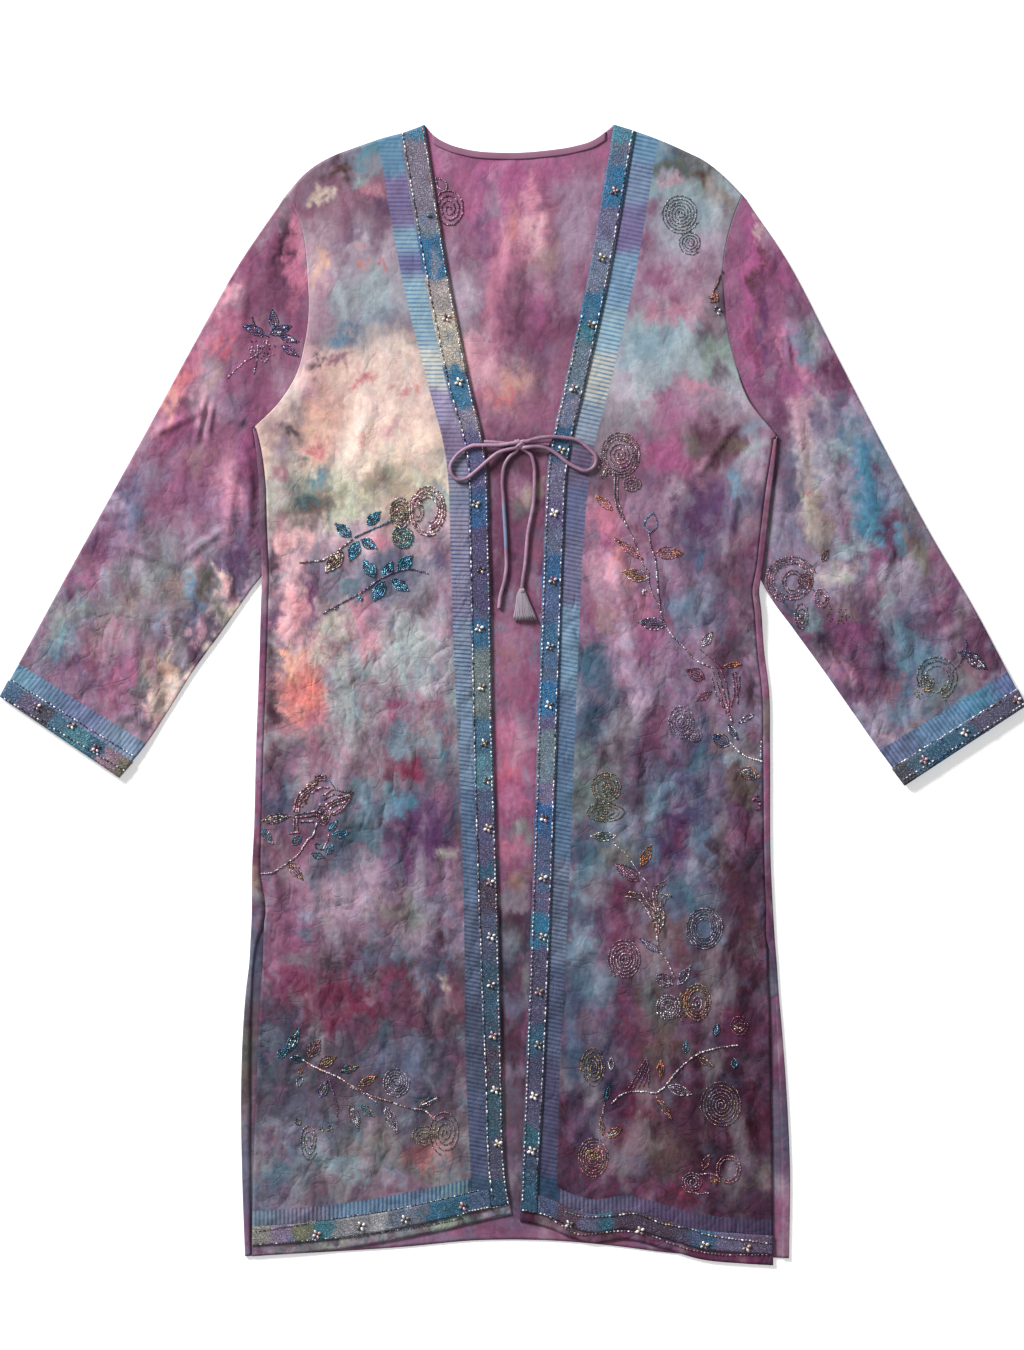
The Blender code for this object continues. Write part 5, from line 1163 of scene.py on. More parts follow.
def dyed(x, h, panel, seed, fine):
    """Colours at garment points. fine picks the small noise that breaks the blots' rims."""
    ground, fields, blots, depth_and_shade = panel
    u = (x + CHART[0]).ravel()
    v = (CHART[1] - h).ravel()
    a = u + 3 * noise(u, v, 70, seed) + 8 * noise(u, v, 27, seed + 1)
    b = v + 3 * noise(u, v, 74, seed + 2) + 10 * noise(u, v, 29, seed + 3)
    a += 7 * noise(u, v, 13, fine) + 5 * noise(u, v, 7, fine + 1)
    b += 10 * noise(u * 1.3, v, 16, fine + 2) + 8 * noise(u * 1.3, v, 8, fine + 3)
    tall = b + 30 * noise(u, v, 90, seed + 9) + 16 * noise(u * 1.6, v, 40, seed + 10)
    levels = [row[0] for row in ground]
    tones = np.array([tone(row[1]) for row in ground])
    colour = np.stack([np.interp(tall, levels, tones[:, i]) for i in range(3)], axis=-1)
    colour = laid(colour, a, b, fields, 0.2, 1.55, 1.12)
    wild = 0.45 + 0.55 * ease(420, 560, v)
    for name, size, depth, at in (
        ("pale_lilac", 34, 0.3, 4), ("mauve", 24, 0.35, 5), ("slate", 29, 0.3, 6), ("aqua", 21, 0.3, 7),
        ("plum", 26, 0.2, 11), ("magenta", 19, 0.25, 12),
    ):
        amount = depth * wild * ease(0.15, 0.6, noise(a * 1.5, b, size, seed + at))
        colour = mix(colour, tone(name), amount[:, None])
    colour = laid(colour, a, b, blots, 0.28, 1.4, 1.06)
    grey = colour.mean(axis=1, keepdims=True)
    vivid = 1.04 + 0.12 * ease(480, 700, v)[:, None]
    colour = np.maximum(grey + vivid * (colour - grey), 0.004)
    shade = 1 + wild * (0.2 * noise(a * 1.4, b, 19, seed + 8) + 0.17 * noise(a * 1.3, b, 9, fine + 8))
    lean = wild * (0.1 * noise(a * 1.5, b, 15, seed + 13) + 0.08 * noise(a * 1.4, b, 8, fine + 13))
    # painted light and shade: the panel's last table lightens and darkens the colours down the panel
    for i in range(3):
        colour[:, i] *= (1 + (1, -0.3, -0.6)[i] * lean) * shade * np.interp(
            v, [row[0] for row in depth_and_shade], [row[i + 1] for row in depth_and_shade]
        )
    return (1.07 * colour**1.06).reshape(*x.shape, 3)


def both_dyes(points, panel, seed):
    """The silk's two colour layers, which differ in their blots' rims; the look mixes them finely."""
    x, h = points[..., 0], points[..., 1]
    return {
        "dye_a": dyed(x, h, panel, seed, seed + 20), "dye_b": dyed(x, h, panel, seed, seed + 40),
    }


PANELS = {
    "front_right": (RIGHT_FRONT_GROUND, RIGHT_FRONT_FIELDS, RIGHT_FRONT_BLOTS, RIGHT_FRONT_DEPTH_AND_SHADE),
    "front_left": (LEFT_FRONT_GROUND, LEFT_FRONT_FIELDS, LEFT_FRONT_BLOTS, LEFT_FRONT_DEPTH_AND_SHADE),
    "back": (BACK_GROUND, BACK_FIELDS, BACK_BLOTS, BACK_DEPTH_AND_SHADE),
    "sleeve_right": (RIGHT_SLEEVE_GROUND, RIGHT_SLEEVE_FIELDS, RIGHT_SLEEVE_BLOTS, RIGHT_SLEEVE_DEPTH_AND_SHADE),
    "sleeve_left": (LEFT_SLEEVE_GROUND, LEFT_SLEEVE_FIELDS, LEFT_SLEEVE_BLOTS, LEFT_SLEEVE_DEPTH_AND_SHADE),
}


# Silk. One look for back, fronts and sleeves: the two dye layers mixed along ragged rims, feathers
# where the dye ran down the cloth, fine creases with painted shade along them, and the ladder borders of
# even rungs.
silk = Look("dyed_silk", 0.6, 0.14)
ragged = silk.noise(13, 5, 0.6, 0.3, (1, 0.6, 1))
dye = silk.blend(ragged.step(0.42, 0.58), silk.colour("dye_a"), silk.colour("dye_b"))
FEATHERS = [
    # size, stretch along the cloth, start, end and tint
    (30, 1.9, 0.5, 0.66, (0.72, 0.6, 0.72, 1)), (24, 1.6, 0.54, 0.7, (0.7, 0.86, 0.92, 1)),
    (13, 1.7, 0.52, 0.64, (0.78, 0.68, 0.76, 1)), (7, 1.8, 0.55, 0.7, (0.82, 0.84, 0.9, 1)),
]
crinkled = silk.value("crinkled")
for size, along_cloth, low, high, tint in FEATHERS:
    feather = silk.noise(size, 4, 0.58, 0.3, (1, 1 / along_cloth, 1)).step(low, high)
    feather = feather * (crinkled * 0.6 + 0.3)
    dye = silk.blend(feather, dye, silk.blend(1.0, dye, tint, "MULTIPLY"))
pale = silk.noise(36, 4, 0.55, 0.25, (1, 0.5, 1)).step(0.5, 0.7)
dye = silk.blend(pale * 0.24, dye, silk.blend(1.0, dye, (0.4, 0.4, 0.42, 1), "SCREEN"))
mottle = silk.noise(4.5, 4, 0.72) * 0.5 + 0.76
dye = silk.blend(1.0, dye, mottle, "MULTIPLY")
lines = silk.value("crinkled") * 0.0
for size, wide, stretch in ((46, 0.024, (1, 0.8, 1)), (30, 0.026, (0.8, 1.1, 1)), (19, 0.03, (1, 0.9, 1))):
    aside = silk.noise(size, 1.6, 0.4, 0.25, stretch) - 0.5
    crease = 1 - aside.math("ABSOLUTE", aside).step(0.0, wide)
    lines = lines + crease * silk.noise(size * 1.7, 1, 0.5).step(0.44, 0.62)
# painted shade: the silk a little darker along the fine crease lines
dye = silk.blend(1.0, dye, 1 - lines * crinkled * 0.1, "MULTIPLY")
rungs = silk.value("rungs").wave(1.0).step(0.0, 0.5)
hem_rungs = silk.value("hem_rungs").wave(1.0).step(-0.35, 0.35)
inside = silk.value("ladder")
hem_inside = silk.value("hem_ladder")
ground = silk.colour("ladder_ground")
rung = silk.colour("ladder_rung")
worn = silk.noise(22, 4, 0.65).step(0.3, 0.6) * 0.4 + 0.6
ladder = silk.blend(rungs * worn, ground, rung)
hem_ladder = silk.blend(hem_rungs * worn, ground, rung)
cloudy = silk.noise(9, 4, 0.6) * 0.5 + 0.75
soft = silk.blend(1.0, silk.blend(0.1, ladder, dye), cloudy, "MULTIPLY")
soft_hem = silk.blend(1.0, silk.blend(0.14, hem_ladder, dye), cloudy, "MULTIPLY")
dye = silk.blend(hem_inside.step(0.0, 1.2), dye, soft_hem)
dye = silk.blend(inside.step(0.0, 1.2), dye, soft)
silk.set("Base Color", dye)
relief = silk.noise(84, 2, 0.5, 0.4, (1, 0.6, 1)) * 1.3
for size, amount, stretch in ((50, 0.9, (1, 0.7, 1)), (27, 0.5, (1, 0.8, 1)), (12, 0.16, (1, 0.8, 1))):
    aside = silk.noise(size, 2.5, 0.45, 0.35, stretch) - 0.5
    relief = relief + aside.math("ABSOLUTE", aside) * amount
relief = relief - lines * 0.02
silk.set("Normal", silk.bump(relief * (crinkled * 0.8 + 0.2), 1.0, 0.014))


# Back. One panel from hem to shoulder with both side edges wrapped forward over the fronts' seams.
GRID = 3.0
BACK_STEP = 3.3
WRAP = np.radians([90, 60, 30, 0, -30, -60, -90])


def wrapped_edge(side, h):
    """Distances and heights of the wrap: from its free edge over a half circle to the cloth beneath.

    Above the armpit there is no wrap, and the same columns lie flat beside the armhole.
    """
    armpit = ARMHOLE[side][0][0]
    rise = fold_rise(side, h)
    edge = side_distance(side, h, 1)
    free = side_distance(side, h, 2)
    centre = edge - CLOTH / 2 - rise / 2
    wrapped = np.concatenate(
        [free, mix(free, centre, 0.5), centre + rise / 2 * np.cos(WRAP)[None, :]], axis=1
    )
    level = CLOTH / 2 + np.concatenate([rise, rise, rise / 2 * (1 + np.sin(WRAP)[None, :])], axis=1)
    flat = edge - np.arange(len(WRAP) + 2)[None, :] * 0.7
    above = h > armpit
    return np.where(above, flat, wrapped), np.where(above, CLOTH / 2, level)


def half_back(side, h_side, shares):
    """Distance, top and z of one half: its wrap, then inward under the front to the front's edge."""
    hem_side = SIDE[side][0][0]
    distance, z = wrapped_edge(side, h_side)
    inner, top, _ = row_across(side, h_side, hem_side, shares[None, :])
    edge = row_across(side, h_side, hem_side, np.array([[2.0]]))[0]
    tops = np.full(distance.shape, float(ARMHOLE[side][-1][0]))
    reach = SHOULDER[side][-1][0] - (distance[:, :1] - distance)
    tops = np.where(h_side > ARMHOLE[side][0][0], through(SHOULDER[side], 1, reach), tops)
    distance = np.concatenate([distance, inner, edge], axis=1)
    tops = np.concatenate([tops, top, np.full(edge.shape, float(SHOULDER[side][0][1]))], axis=1)
    z = np.concatenate([z, np.full((len(z), inner.shape[1] + 1), CLOTH / 2)], axis=1)
    z = z + tuck_rise(side_distance(side, h_side, 1) - distance, h_side)
    return distance, tops, z


def back_grid():
    """Rows from hem to shoulder: right wrap and half, the middle, left half and wrap."""
    hems = {side: SIDE[side][0][0] for side in ("right", "left")}
    t = np.linspace(0, 1, int(LENGTH / BACK_STEP))[:, None]
    rows = {}
    for side in ("right", "left"):
        armpit = ARMHOLE[side][0][0]
        shoulder = ARMHOLE[side][-1][0]
        rows[side] = np.where(
            t < 0.77, mix(hems[side], armpit, t / 0.77), mix(armpit, shoulder, (t - 0.77) / 0.23)
        )
    shares = np.linspace(0.03, 1, 31)
    r_distance, r_top, r_z = half_back("right", rows["right"], shares)
    l_distance, l_top, l_z = half_back("left", rows["left"], shares)
    middle = np.linspace(0, 1, 40)[None, 1:-1]
    x_middle = mix(-r_distance[:, -1:], l_distance[:, -1:], middle)
    top_middle = through(NECKLINE, 1, mix(NECKLINE[0][0], NECKLINE[-1][0], middle))
    x = np.concatenate([-r_distance, x_middle, l_distance[:, ::-1]], axis=1)
    foot = through(BACK_HEM, 1, x)
    wide = r_distance.shape[1]
    right = row_height("right", rows["right"], hems["right"], foot[:, :wide], r_top)
    left = row_height("left", rows["left"], hems["left"], foot[:, -wide:], l_top[:, ::-1])
    foot = foot[:, wide:-wide]
    a = row_height("right", rows["right"], hems["right"], foot, top_middle)
    b = row_height("left", rows["left"], hems["left"], foot, top_middle)
    h = np.concatenate([right, mix(a, b, middle), left], axis=1)
    z = np.concatenate([r_z, np.full(a.shape, CLOTH / 2), l_z[:, ::-1]], axis=1)
    return np.stack([x, h, z], axis=-1)


# chart ends of a crease, its rise, and half its width
BACK_CREASES = [
    (486, 170, 470, 300, 0.5, 5), (512, 160, 508, 300, 0.5, 6), (540, 165, 556, 320, 0.5, 7),
    (497, 300, 490, 430, 0.5, 6), (530, 300, 534, 420, 0.45, 6), (556, 340, 566, 440, 0.5, 6),
    (528, 382, 552, 402, 0.4, 2.5), (470, 330, 480, 400, 0.4, 5),
]


def creases(rows, x, h):
    """Rise of the chart's creases over garment points."""
    rise = np.zeros(np.shape(x))
    for u1, v1, u2, v2, top, half in rows:
        start = (u1 - CHART[0], CHART[1] - v1)
        end = (u2 - CHART[0], CHART[1] - v2)
        rise += ridge(x, h, start, end, top, half)
    return rise


def crumple(x, h, seed):
    """The soft dents of washed silk: ridges of two sizes, from 0 to about 1."""
    large = 1 - np.abs(noise(x, h, 62, seed))
    small = 1 - np.abs(noise(x, h, 24, seed + 1))
    return np.clip(0.62 * large**3 + 0.38 * small**3 * ease(-0.4, 0.6, noise(x, h, 95, seed + 2)), 0, 1)


back_points = back_grid()
x, h = back_points[..., 0], back_points[..., 1]
shown = 1 - ease(-14, 2, np.abs(x) - through(FRONT_EDGE["right"], 1, np.clip(h, 52, 1141)))
back_points[..., 2] += shown * (1.7 * creases(BACK_CREASES, x, h) + 0.5 * crumple(x, h, 60))
back = cloth(
    "back_silk", back_points, CLOTH, silk, back_points.shape[1] // 2,
    {**both_dyes(back_points, PANELS["back"], 100), "crinkled": 0.22 + 0 * x},
)
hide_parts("back")


# Neck binding. A narrow folded strip of plain mauve silk sewn along the back neckline.
mauve = Look("plain_silk", 0.6, 0.15)
mauve.set(
    "Base Color", mauve.blend(mauve.noise(30, 3), (*tone((132, 88, 112)), 1), (*tone((160, 116, 142)), 1))
)
inset = 8.0
neck_x = np.linspace(NECKLINE[0][0] + inset, NECKLINE[-1][0] - inset, 80)
neck_top = through(NECKLINE, 1, neck_x)
drop = BINDING_WIDTH * np.sqrt(1 + np.gradient(neck_top, neck_x) ** 2)
neck_z = CLOTH + SEAM + BINDING / 2
binding_points = np.array(
    [
        np.stack([neck_x, neck_top - drop * t, np.full(len(neck_x), neck_z + 0.3 * math.sin(math.pi * t))],
         axis=-1)
        for t in (1.0, 0.85, 0.5, 0.15, 0.0)
    ]
)
binding = cloth("neck_binding_silk", binding_points, BINDING, mauve, 40)
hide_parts("neck_binding")


# Fronts. Each runs from the side seam to the front edge, over the shoulder to the back. Beside
# the embroidery the silk is dyed in a ladder of even rungs, whose ground changes down the border.
# height, distance of the ladder's outer edge
LADDER = {
    "right": [
        (73, 42), (221, 48.3), (306, 49), (566, 57.4), (617, 60), (717, 63), (816, 69), (879, 85),
        (971, 108), (1133, 137),
    ],
    "left": [
        (76, 44.5), (201, 47.7), (326, 54), (617, 66), (717, 70.7), (816, 81), (879, 97),
        (971, 118.5), (1132, 147),
    ],
}
RUNG = 4.2
HEM_RUNG = 4.1
HEM_LADDER = 46.0
# chart v where a stretch starts, its ground and its rungs
LADDER_ZONES = {
    "right": [
        (120, (98, 138, 164), (78, 120, 156)), (176, (126, 112, 150), (88, 88, 132)),
        (228, (132, 166, 182), (84, 122, 160)), (255, (104, 102, 150), (70, 76, 122)),
        (274, (150, 178, 190), (92, 134, 168)), (350, (208, 208, 198), (112, 148, 170)),
        (388, (154, 146, 178), (104, 104, 150)), (426, (122, 108, 146), (84, 76, 118)),
        (458, (124, 130, 156), (76, 82, 120)), (510, (144, 140, 164), (66, 82, 122)),
        (620, (134, 150, 168), (50, 84, 124)),
        (700, (124, 146, 168), (72, 98, 130)), (790, (96, 122, 150), (60, 82, 116)),
        (900, (92, 108, 132), (54, 68, 98)), (1000, (76, 88, 110), (46, 54, 80)),
        (1090, (80, 90, 120), (50, 58, 88)), (1178, (52, 82, 108), (40, 62, 90)),
    ],
    "left": [
        (120, (112, 150, 176), (76, 110, 148)), (162, (122, 140, 166), (80, 94, 136)),
        (204, (118, 108, 148), (84, 80, 126)), (252, (122, 156, 180), (74, 114, 152)),
        (305, (152, 178, 190), (84, 130, 162)), (352, (192, 190, 180), (98, 128, 156)),
        (402, (150, 164, 176), (92, 118, 152)), (444, (106, 96, 122), (76, 70, 102)),
        (484, (100, 108, 140), (68, 82, 120)), (530, (112, 116, 142), (74, 78, 114)),
        (604, (124, 154, 176), (72, 108, 142)), (690, (92, 118, 144), (58, 84, 120)),
        (790, (98, 126, 152), (58, 86, 122)), (860, (112, 124, 144), (64, 80, 112)),
        (965, (88, 100, 126), (58, 66, 98)), (1060, (82, 82, 112), (56, 60, 88)),
        (1176, (40, 72, 98), (36, 60, 86)),
    ],
}
# chart u, ground and rungs of the ladder over the hem
HEM_ZONES = {
    "right": [
        (250, (122, 140, 152), (72, 98, 126)), (278, (132, 124, 142), (80, 86, 116)),
        (330, (112, 142, 162), (56, 92, 132)), (400, (104, 134, 156), (54, 84, 126)),
        (438, (120, 150, 158), (48, 92, 120)),
    ],
    "left": [
        (540, (112, 110, 136), (72, 74, 108)), (625, (98, 84, 116), (66, 60, 94)),
        (690, (82, 70, 98), (58, 54, 82)), (750, (74, 64, 92), (54, 48, 76)),
    ],
}
FRONT_CREASES = {
    "right": [
        (270, 300, 330, 420, 0.9, 7), (300, 560, 345, 660, 1.0, 7), (262, 520, 300, 600, 0.9, 6),
        (340, 620, 392, 700, 0.8, 8), (390, 500, 362, 600, 0.8, 7), (282, 680, 330, 760, 1.0, 8),
        (355, 720, 330, 860, 0.9, 9), (410, 760, 392, 900, 0.9, 8), (300, 820, 322, 960, 0.9, 9),
        (270, 900, 286, 1080, 1.0, 8), (350, 930, 392, 1060, 0.9, 9), (430, 960, 412, 1120, 0.8, 8),
        (300, 1060, 340, 1160, 0.8, 7), (380, 1060, 368, 1180, 0.8, 8), (262, 1000, 300, 1030, 0.7, 5),
        (318, 1096, 352, 1130, 0.7, 5), (256, 1040, 275, 1110, 0.8, 6), (400, 1120, 440, 1180, 0.6, 6),
        (330, 240, 352, 330, 0.6, 6), (372, 400, 352, 470, 0.7, 6), (296, 452, 330, 470, 0.7, 4),
    ],
    "left": [
        (694, 480, 738, 420, 0.7, 3), (738, 480, 727, 560, 0.6, 3), (660, 520, 704, 640, 0.9, 8),
        (612, 560, 640, 700, 1.0, 8), (740, 540, 752, 660, 0.9, 7), (700, 620, 736, 720, 0.9, 7),
        (640, 690, 632, 820, 1.0, 7), (672, 700, 700, 820, 0.9, 9), (600, 720, 592, 860, 0.8, 8),
        (730, 740, 748, 900, 1.0, 8), (656, 840, 690, 960, 0.9, 8), (590, 900, 612, 1010, 0.8, 7),
        (724, 930, 742, 1060, 1.0, 8), (640, 960, 664, 1080, 0.8, 8), (694, 1000, 690, 1160, 0.7, 5),
        (740, 1080, 764, 1200, 0.9, 7), (620, 1060, 566, 1150, 0.6, 5), (700, 1120, 730, 1210, 0.8, 7),
        (745, 850, 775, 880, 0.8, 5), (752, 880, 776, 900, 0.7, 4), (650, 330, 700, 400, 0.6, 7),
        (720, 280, 736, 380, 0.7, 6), (752, 260, 762, 390, 0.5, 5),
    ],
}
BAND_RISE = CLOTH / 2 + SEAM + TRIM / 2


def held(rows, column, at, feather):
    """Colours held from each row's start on and feathered into the next."""
    at = np.asarray(at, float)
    colour = np.broadcast_to(tone(rows[0][column]), (*at.shape, 3))
    for row in rows[1:]:
        amount = ease(row[0] - feather, row[0] + feather, at)
        colour = mix(colour, tone(row[column]), amount[..., None])
    return colour


TIE_AT = (66, 806)  # out from the middle, and height
FLAT_BY_TIE = (34, 74)  # the creases fade over this distance from the tie


def front_points(side, h_side, share):
    """A front's middle surface with its own creases, which stop short of the band and the seams."""
    grid = front_at(side, h_side, share)
    x, h = grid[..., 0], grid[..., 1]
    edge = through(FRONT_EDGE[side], 1, h) + through(FRONT_EDGE[side], 2, h)
    free = ease(-4, 34, np.abs(x) - edge) * ease(0, 30, front_side_distance(side, h_side) - np.abs(x))
    free = free * ease(6, 40, h_side - FRONT_HEM[side][-1][1])
    seed = 70 if side == "right" else 80
    free = free * ease(*FLAT_BY_TIE, np.hypot(np.abs(x) - TIE_AT[0], 1.2 * (h - TIE_AT[1])))
    lively = 0.7 + 1.1 * (1 - ease(560, 860, h))
    grid[..., 2] += free * (3.2 * creases(FRONT_CREASES[side], x, h) + lively * crumple(x, h, seed))
    return grid


def ladders(side, grid, above):
    """The ladders' attributes: how far inside each border a point is, and which rung it is on."""
    x, h = grid[..., 0], grid[..., 1]
    inside = through(LADDER[side], 1, h) - np.abs(x)
    slope = 0.21 if side == "left" else 0.21 * (1 - ease(330, 800, h))
    edge = np.sign(x) * through(FRONT_EDGE[side], 1, h)
    over_hem = np.minimum(HEM_LADDER - above, above - 22) + 0 * x
    v = CHART[1] - h + 5 * noise(x, h, 16, 31)
    u = CHART[0] + x
    at_hem = (ease(-1, 2, over_hem) * (1 - ease(-3, 0, inside)))[..., None]
    return {
        "ladder": np.where(above < 22, -1, inside),
        "rungs": (h + slope * (x - edge)) / RUNG,
        "hem_ladder": over_hem,
        "hem_rungs": x / HEM_RUNG,
        "ladder_ground": mix(held(LADDER_ZONES[side], 1, v, 6), held(HEM_ZONES[side], 1, u, 20), at_hem),
        "ladder_rung": mix(held(LADDER_ZONES[side], 2, v, 6), held(HEM_ZONES[side], 2, u, 20), at_hem),
    }


fronts = {}
for side, seed in (("right", 200), ("left", 300)):
    hem_side = FRONT_HEM[side][-1][1]
    h_side = np.linspace(hem_side, ARMHOLE[side][-1][0], int(1080 / GRID))[:, None]
    share = np.concatenate([np.linspace(0, 1, 84), np.linspace(1, 2, 7)[1:]])[None, :]
    grid = front_points(side, h_side, share)
    paint = {**both_dyes(grid, PANELS[f"front_{side}"], seed), **ladders(side, grid, h_side - hem_side)}
    paint["crinkled"] = 0.2 + 0.6 * (1 - ease(560, 900, grid[..., 1]))
    obj = cloth(f"front_silk_{side}", grid, CLOTH, silk, 40, paint)
    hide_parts(f"front_{side}")
    fronts[side] = obj


# Embroidery. Bands of close silk stitches in patches of one thread colour each, sewn on down both
# front edges, round the hem and round the cuffs.
embroidery = Look("embroidery", 0.6, 0.35)
grain = embroidery.noise(1.9, 3, 0.75)
streak = embroidery.noise(6, 3, 0.6, 1.0)
at = embroidery.add("ShaderNodeTexCoord", {}, {}, "Object")
wander = embroidery.add("ShaderNodeTexNoise", {}, {"Vector": at, "Scale": 140.0}, "Color")
at = embroidery.add(
    "ShaderNodeVectorMath", {"operation": "MULTIPLY_ADD"}, {0: wander, 1: (0.004, 0.004, 0.004), 2: at}
)
loops = embroidery.add(
    "ShaderNodeTexVoronoi", {"feature": "DISTANCE_TO_EDGE"},
    {"Vector": at, "Scale": 205.0, "Randomness": 0.8}
)
stitch = 1 - (loops - 0.16).math("ABSOLUTE", loops - 0.16).step(0.0, 0.09)
gap = 1 - loops.step(0.0, 0.07)
thread = embroidery.blend(1.0, embroidery.colour("patch"), grain * 1.5 + 0.2, "MULTIPLY")
thread = embroidery.blend(1.0, thread, streak * 0.7 + 0.65, "MULTIPLY")
# painted shade: the thread darker in the gaps between the stitch loops
thread = embroidery.blend(gap * 0.65, thread, embroidery.blend(1.0, thread, (0.3, 0.3, 0.36, 1), "MULTIPLY"))
# painted highlights: the stitch crests and fine specks made paler, as the sheen of the thread
glint_specks = embroidery.noise(1.5, 1, 0.4).step(0.6, 0.72)
thread = embroidery.blend(
    stitch * 0.42 + glint_specks * 0.45, thread, embroidery.blend(0.32, thread, (0.55, 0.55, 0.6, 1))
)
embroidery.set("Base Color", thread)
embroidery.set("Normal", embroidery.bump(grain + streak * 0.5 + stitch * 0.7, 0.9, 0.0011))

# chart v where a patch starts, and its thread
BAND_PATCHES = {
    "right": [
        (110, (86, 132, 158)), (139, (128, 120, 136)), (223, (118, 130, 144)), (237, (54, 108, 146)),
        (279, (168, 158, 158)), (314, (192, 184, 172)), (367, (62, 112, 144)), (407, (142, 136, 154)),
        (430, (98, 94, 130)), (488, (48, 86, 130)), (528, (76, 70, 106)), (618, (52, 96, 130)),
        (651, (112, 124, 126)), (718, (70, 106, 132)), (757, (94, 134, 150)), (787, (78, 92, 122)),
        (814, (84, 80, 114)), (862, (46, 86, 112)), (883, (64, 50, 70)), (913, (74, 80, 106)),
        (960, (46, 76, 98)), (1045, (64, 52, 72)), (1087, (48, 82, 98)), (1138, (72, 72, 96)),
        (1178, (34, 72, 98)),
    ],
    "left": [
        (110, (86, 138, 158)), (144, (106, 112, 132)), (166, (50, 110, 148)), (207, (108, 104, 136)),
        (240, (116, 124, 146)), (293, (50, 106, 142)), (324, (60, 116, 134)), (345, (110, 126, 142)),
        (395, (126, 126, 148)), (427, (36, 88, 122)), (462, (114, 110, 138)), (498, (92, 86, 122)),
        (528, (100, 106, 132)), (556, (40, 92, 136)), (585, (80, 96, 134)), (626, (62, 106, 142)),
        (652, (88, 108, 138)), (681, (50, 112, 156)), (716, (98, 90, 126)), (732, (116, 132, 144)),
        (781, (118, 112, 140)), (803, (50, 96, 148)), (835, (78, 92, 124)), (880, (96, 88, 120)),
        (912, (52, 114, 148)), (947, (74, 70, 100)), (1022, (38, 82, 108)), (1053, (62, 66, 96)),
        (1078, (80, 76, 106)), (1124, (42, 92, 110)), (1146, (54, 70, 96)), (1172, (34, 78, 104)),
    ],
}
# chart u where a patch of the hem starts
HEM_PATCHES = {
    "right": [
        (240, (138, 136, 130)), (270, (146, 130, 158)), (292, (116, 116, 96)), (312, (60, 110, 124)),
        (335, (140, 140, 144)), (372, (168, 168, 172)), (390, (112, 118, 134)), (428, (42, 96, 122)),
        (466, (66, 88, 118)),
    ],
    "left": [
        (530, (70, 80, 112)), (556, (82, 54, 74)), (580, (98, 98, 126)), (598, (48, 98, 118)),
        (613, (66, 48, 70)), (676, (74, 64, 92)), (690, (54, 84, 114)), (704, (60, 92, 120)),
        (716, (110, 104, 134)), (744, (104, 84, 112)), (764, (84, 72, 100)),
    ],
}


def patched(rows, at, x, h, seed):
    """Thread colours along a band, with ragged joins between patches and small changes inside them."""
    colour = held(rows, 1, at + 5 * noise(x, h, 9, seed) + 4 * noise(x, h, 21, seed + 2), 3.5)
    other = held(rows, 1, at + 34 + 14 * noise(x, h, 33, seed + 3), 10)
    colour = mix(colour, other, 0.45 * ease(0.2, 0.5, noise(x, h, 12, seed + 4))[..., None])
    grey = colour.mean(axis=-1, keepdims=True)
    colour = np.maximum(grey + 1.25 * (colour - grey), 0.004)
    return colour * (1.02 + 0.3 * noise(x, h, 14, seed + 1))[..., None]


bands = {}
hems = {}
for side in ("right", "left"):
    hem_side = FRONT_HEM[side][-1][1]
    h_side = np.linspace(hem_side + HEM_TURN, ARMHOLE[side][-1][0], int(1080 / 2.5))[:, None]
    grid = front_points(side, h_side, np.linspace(1, 2, 11)[None, :])
    grid = grid + BAND_RISE * outward(grid, 5)
    x, h = grid[..., 0], grid[..., 1]
    paint = {"patch": patched(BAND_PATCHES[side], CHART[1] - h, x, h, 400)}
    obj = cloth(f"front_band_embroidery_{side}", grid, TRIM, embroidery, 5, paint)
    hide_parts(f"front_band_{side}")
    bands[side] = (obj, grid)

    sign = -1 if side == "right" else 1
    rows = np.linspace(hem_side + HEM_TURN, hem_side + HEM_BAND, 9)[:, None]
    grid = front_points(side, rows, np.linspace(0, 1, 100)[None, :])
    grid = grid + BAND_RISE * outward(grid, 40)
    grid[:, -1, 0] += sign * (SEAM + 0.1)
    x, h = grid[..., 0], grid[..., 1]
    paint = {"patch": patched(HEM_PATCHES[side], CHART[0] + x, x, h, 410)}
    obj = cloth(f"hem_band_embroidery_{side}", grid, TRIM, embroidery, 40, paint)
    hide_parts(f"hem_band_{side}")
    hems[side] = (obj, grid)


# Sleeves. Each is one piece folded round and closed under the arm, set into the armhole.
CUFF_LADDER = 44.0
# share of the way from the underarm to the upper edge, ground and rungs of the cuff's ladder
CUFF_ZONES = {
    "right": [
        (0, (128, 150, 170), (84, 112, 146)), (0.3, (112, 126, 158), (78, 92, 134)),
        (0.6, (106, 136, 158), (66, 98, 138)), (0.85, (112, 152, 168), (70, 116, 152)),
    ],
    "left": [
        (0, (108, 124, 156), (74, 90, 134)), (0.25, (110, 142, 172), (70, 112, 152)),
        (0.6, (84, 142, 168), (68, 112, 150)), (0.85, (98, 116, 154), (72, 88, 138)),
    ],
}
CUFF_PATCHES = {
    "right": [
        (0, (120, 112, 96)), (0.07, (150, 120, 138)), (0.19, (44, 92, 120)), (0.32, (66, 128, 144)),
        (0.5, (60, 108, 136)), (0.62, (66, 62, 84)), (0.72, (104, 92, 126)), (0.88, (60, 96, 130)),
    ],
    "left": [
        (0, (70, 70, 84)), (0.1, (70, 104, 128)), (0.22, (42, 96, 126)), (0.5, (56, 98, 128)),
        (0.62, (92, 86, 116)), (0.85, (78, 76, 106)),
    ],
}
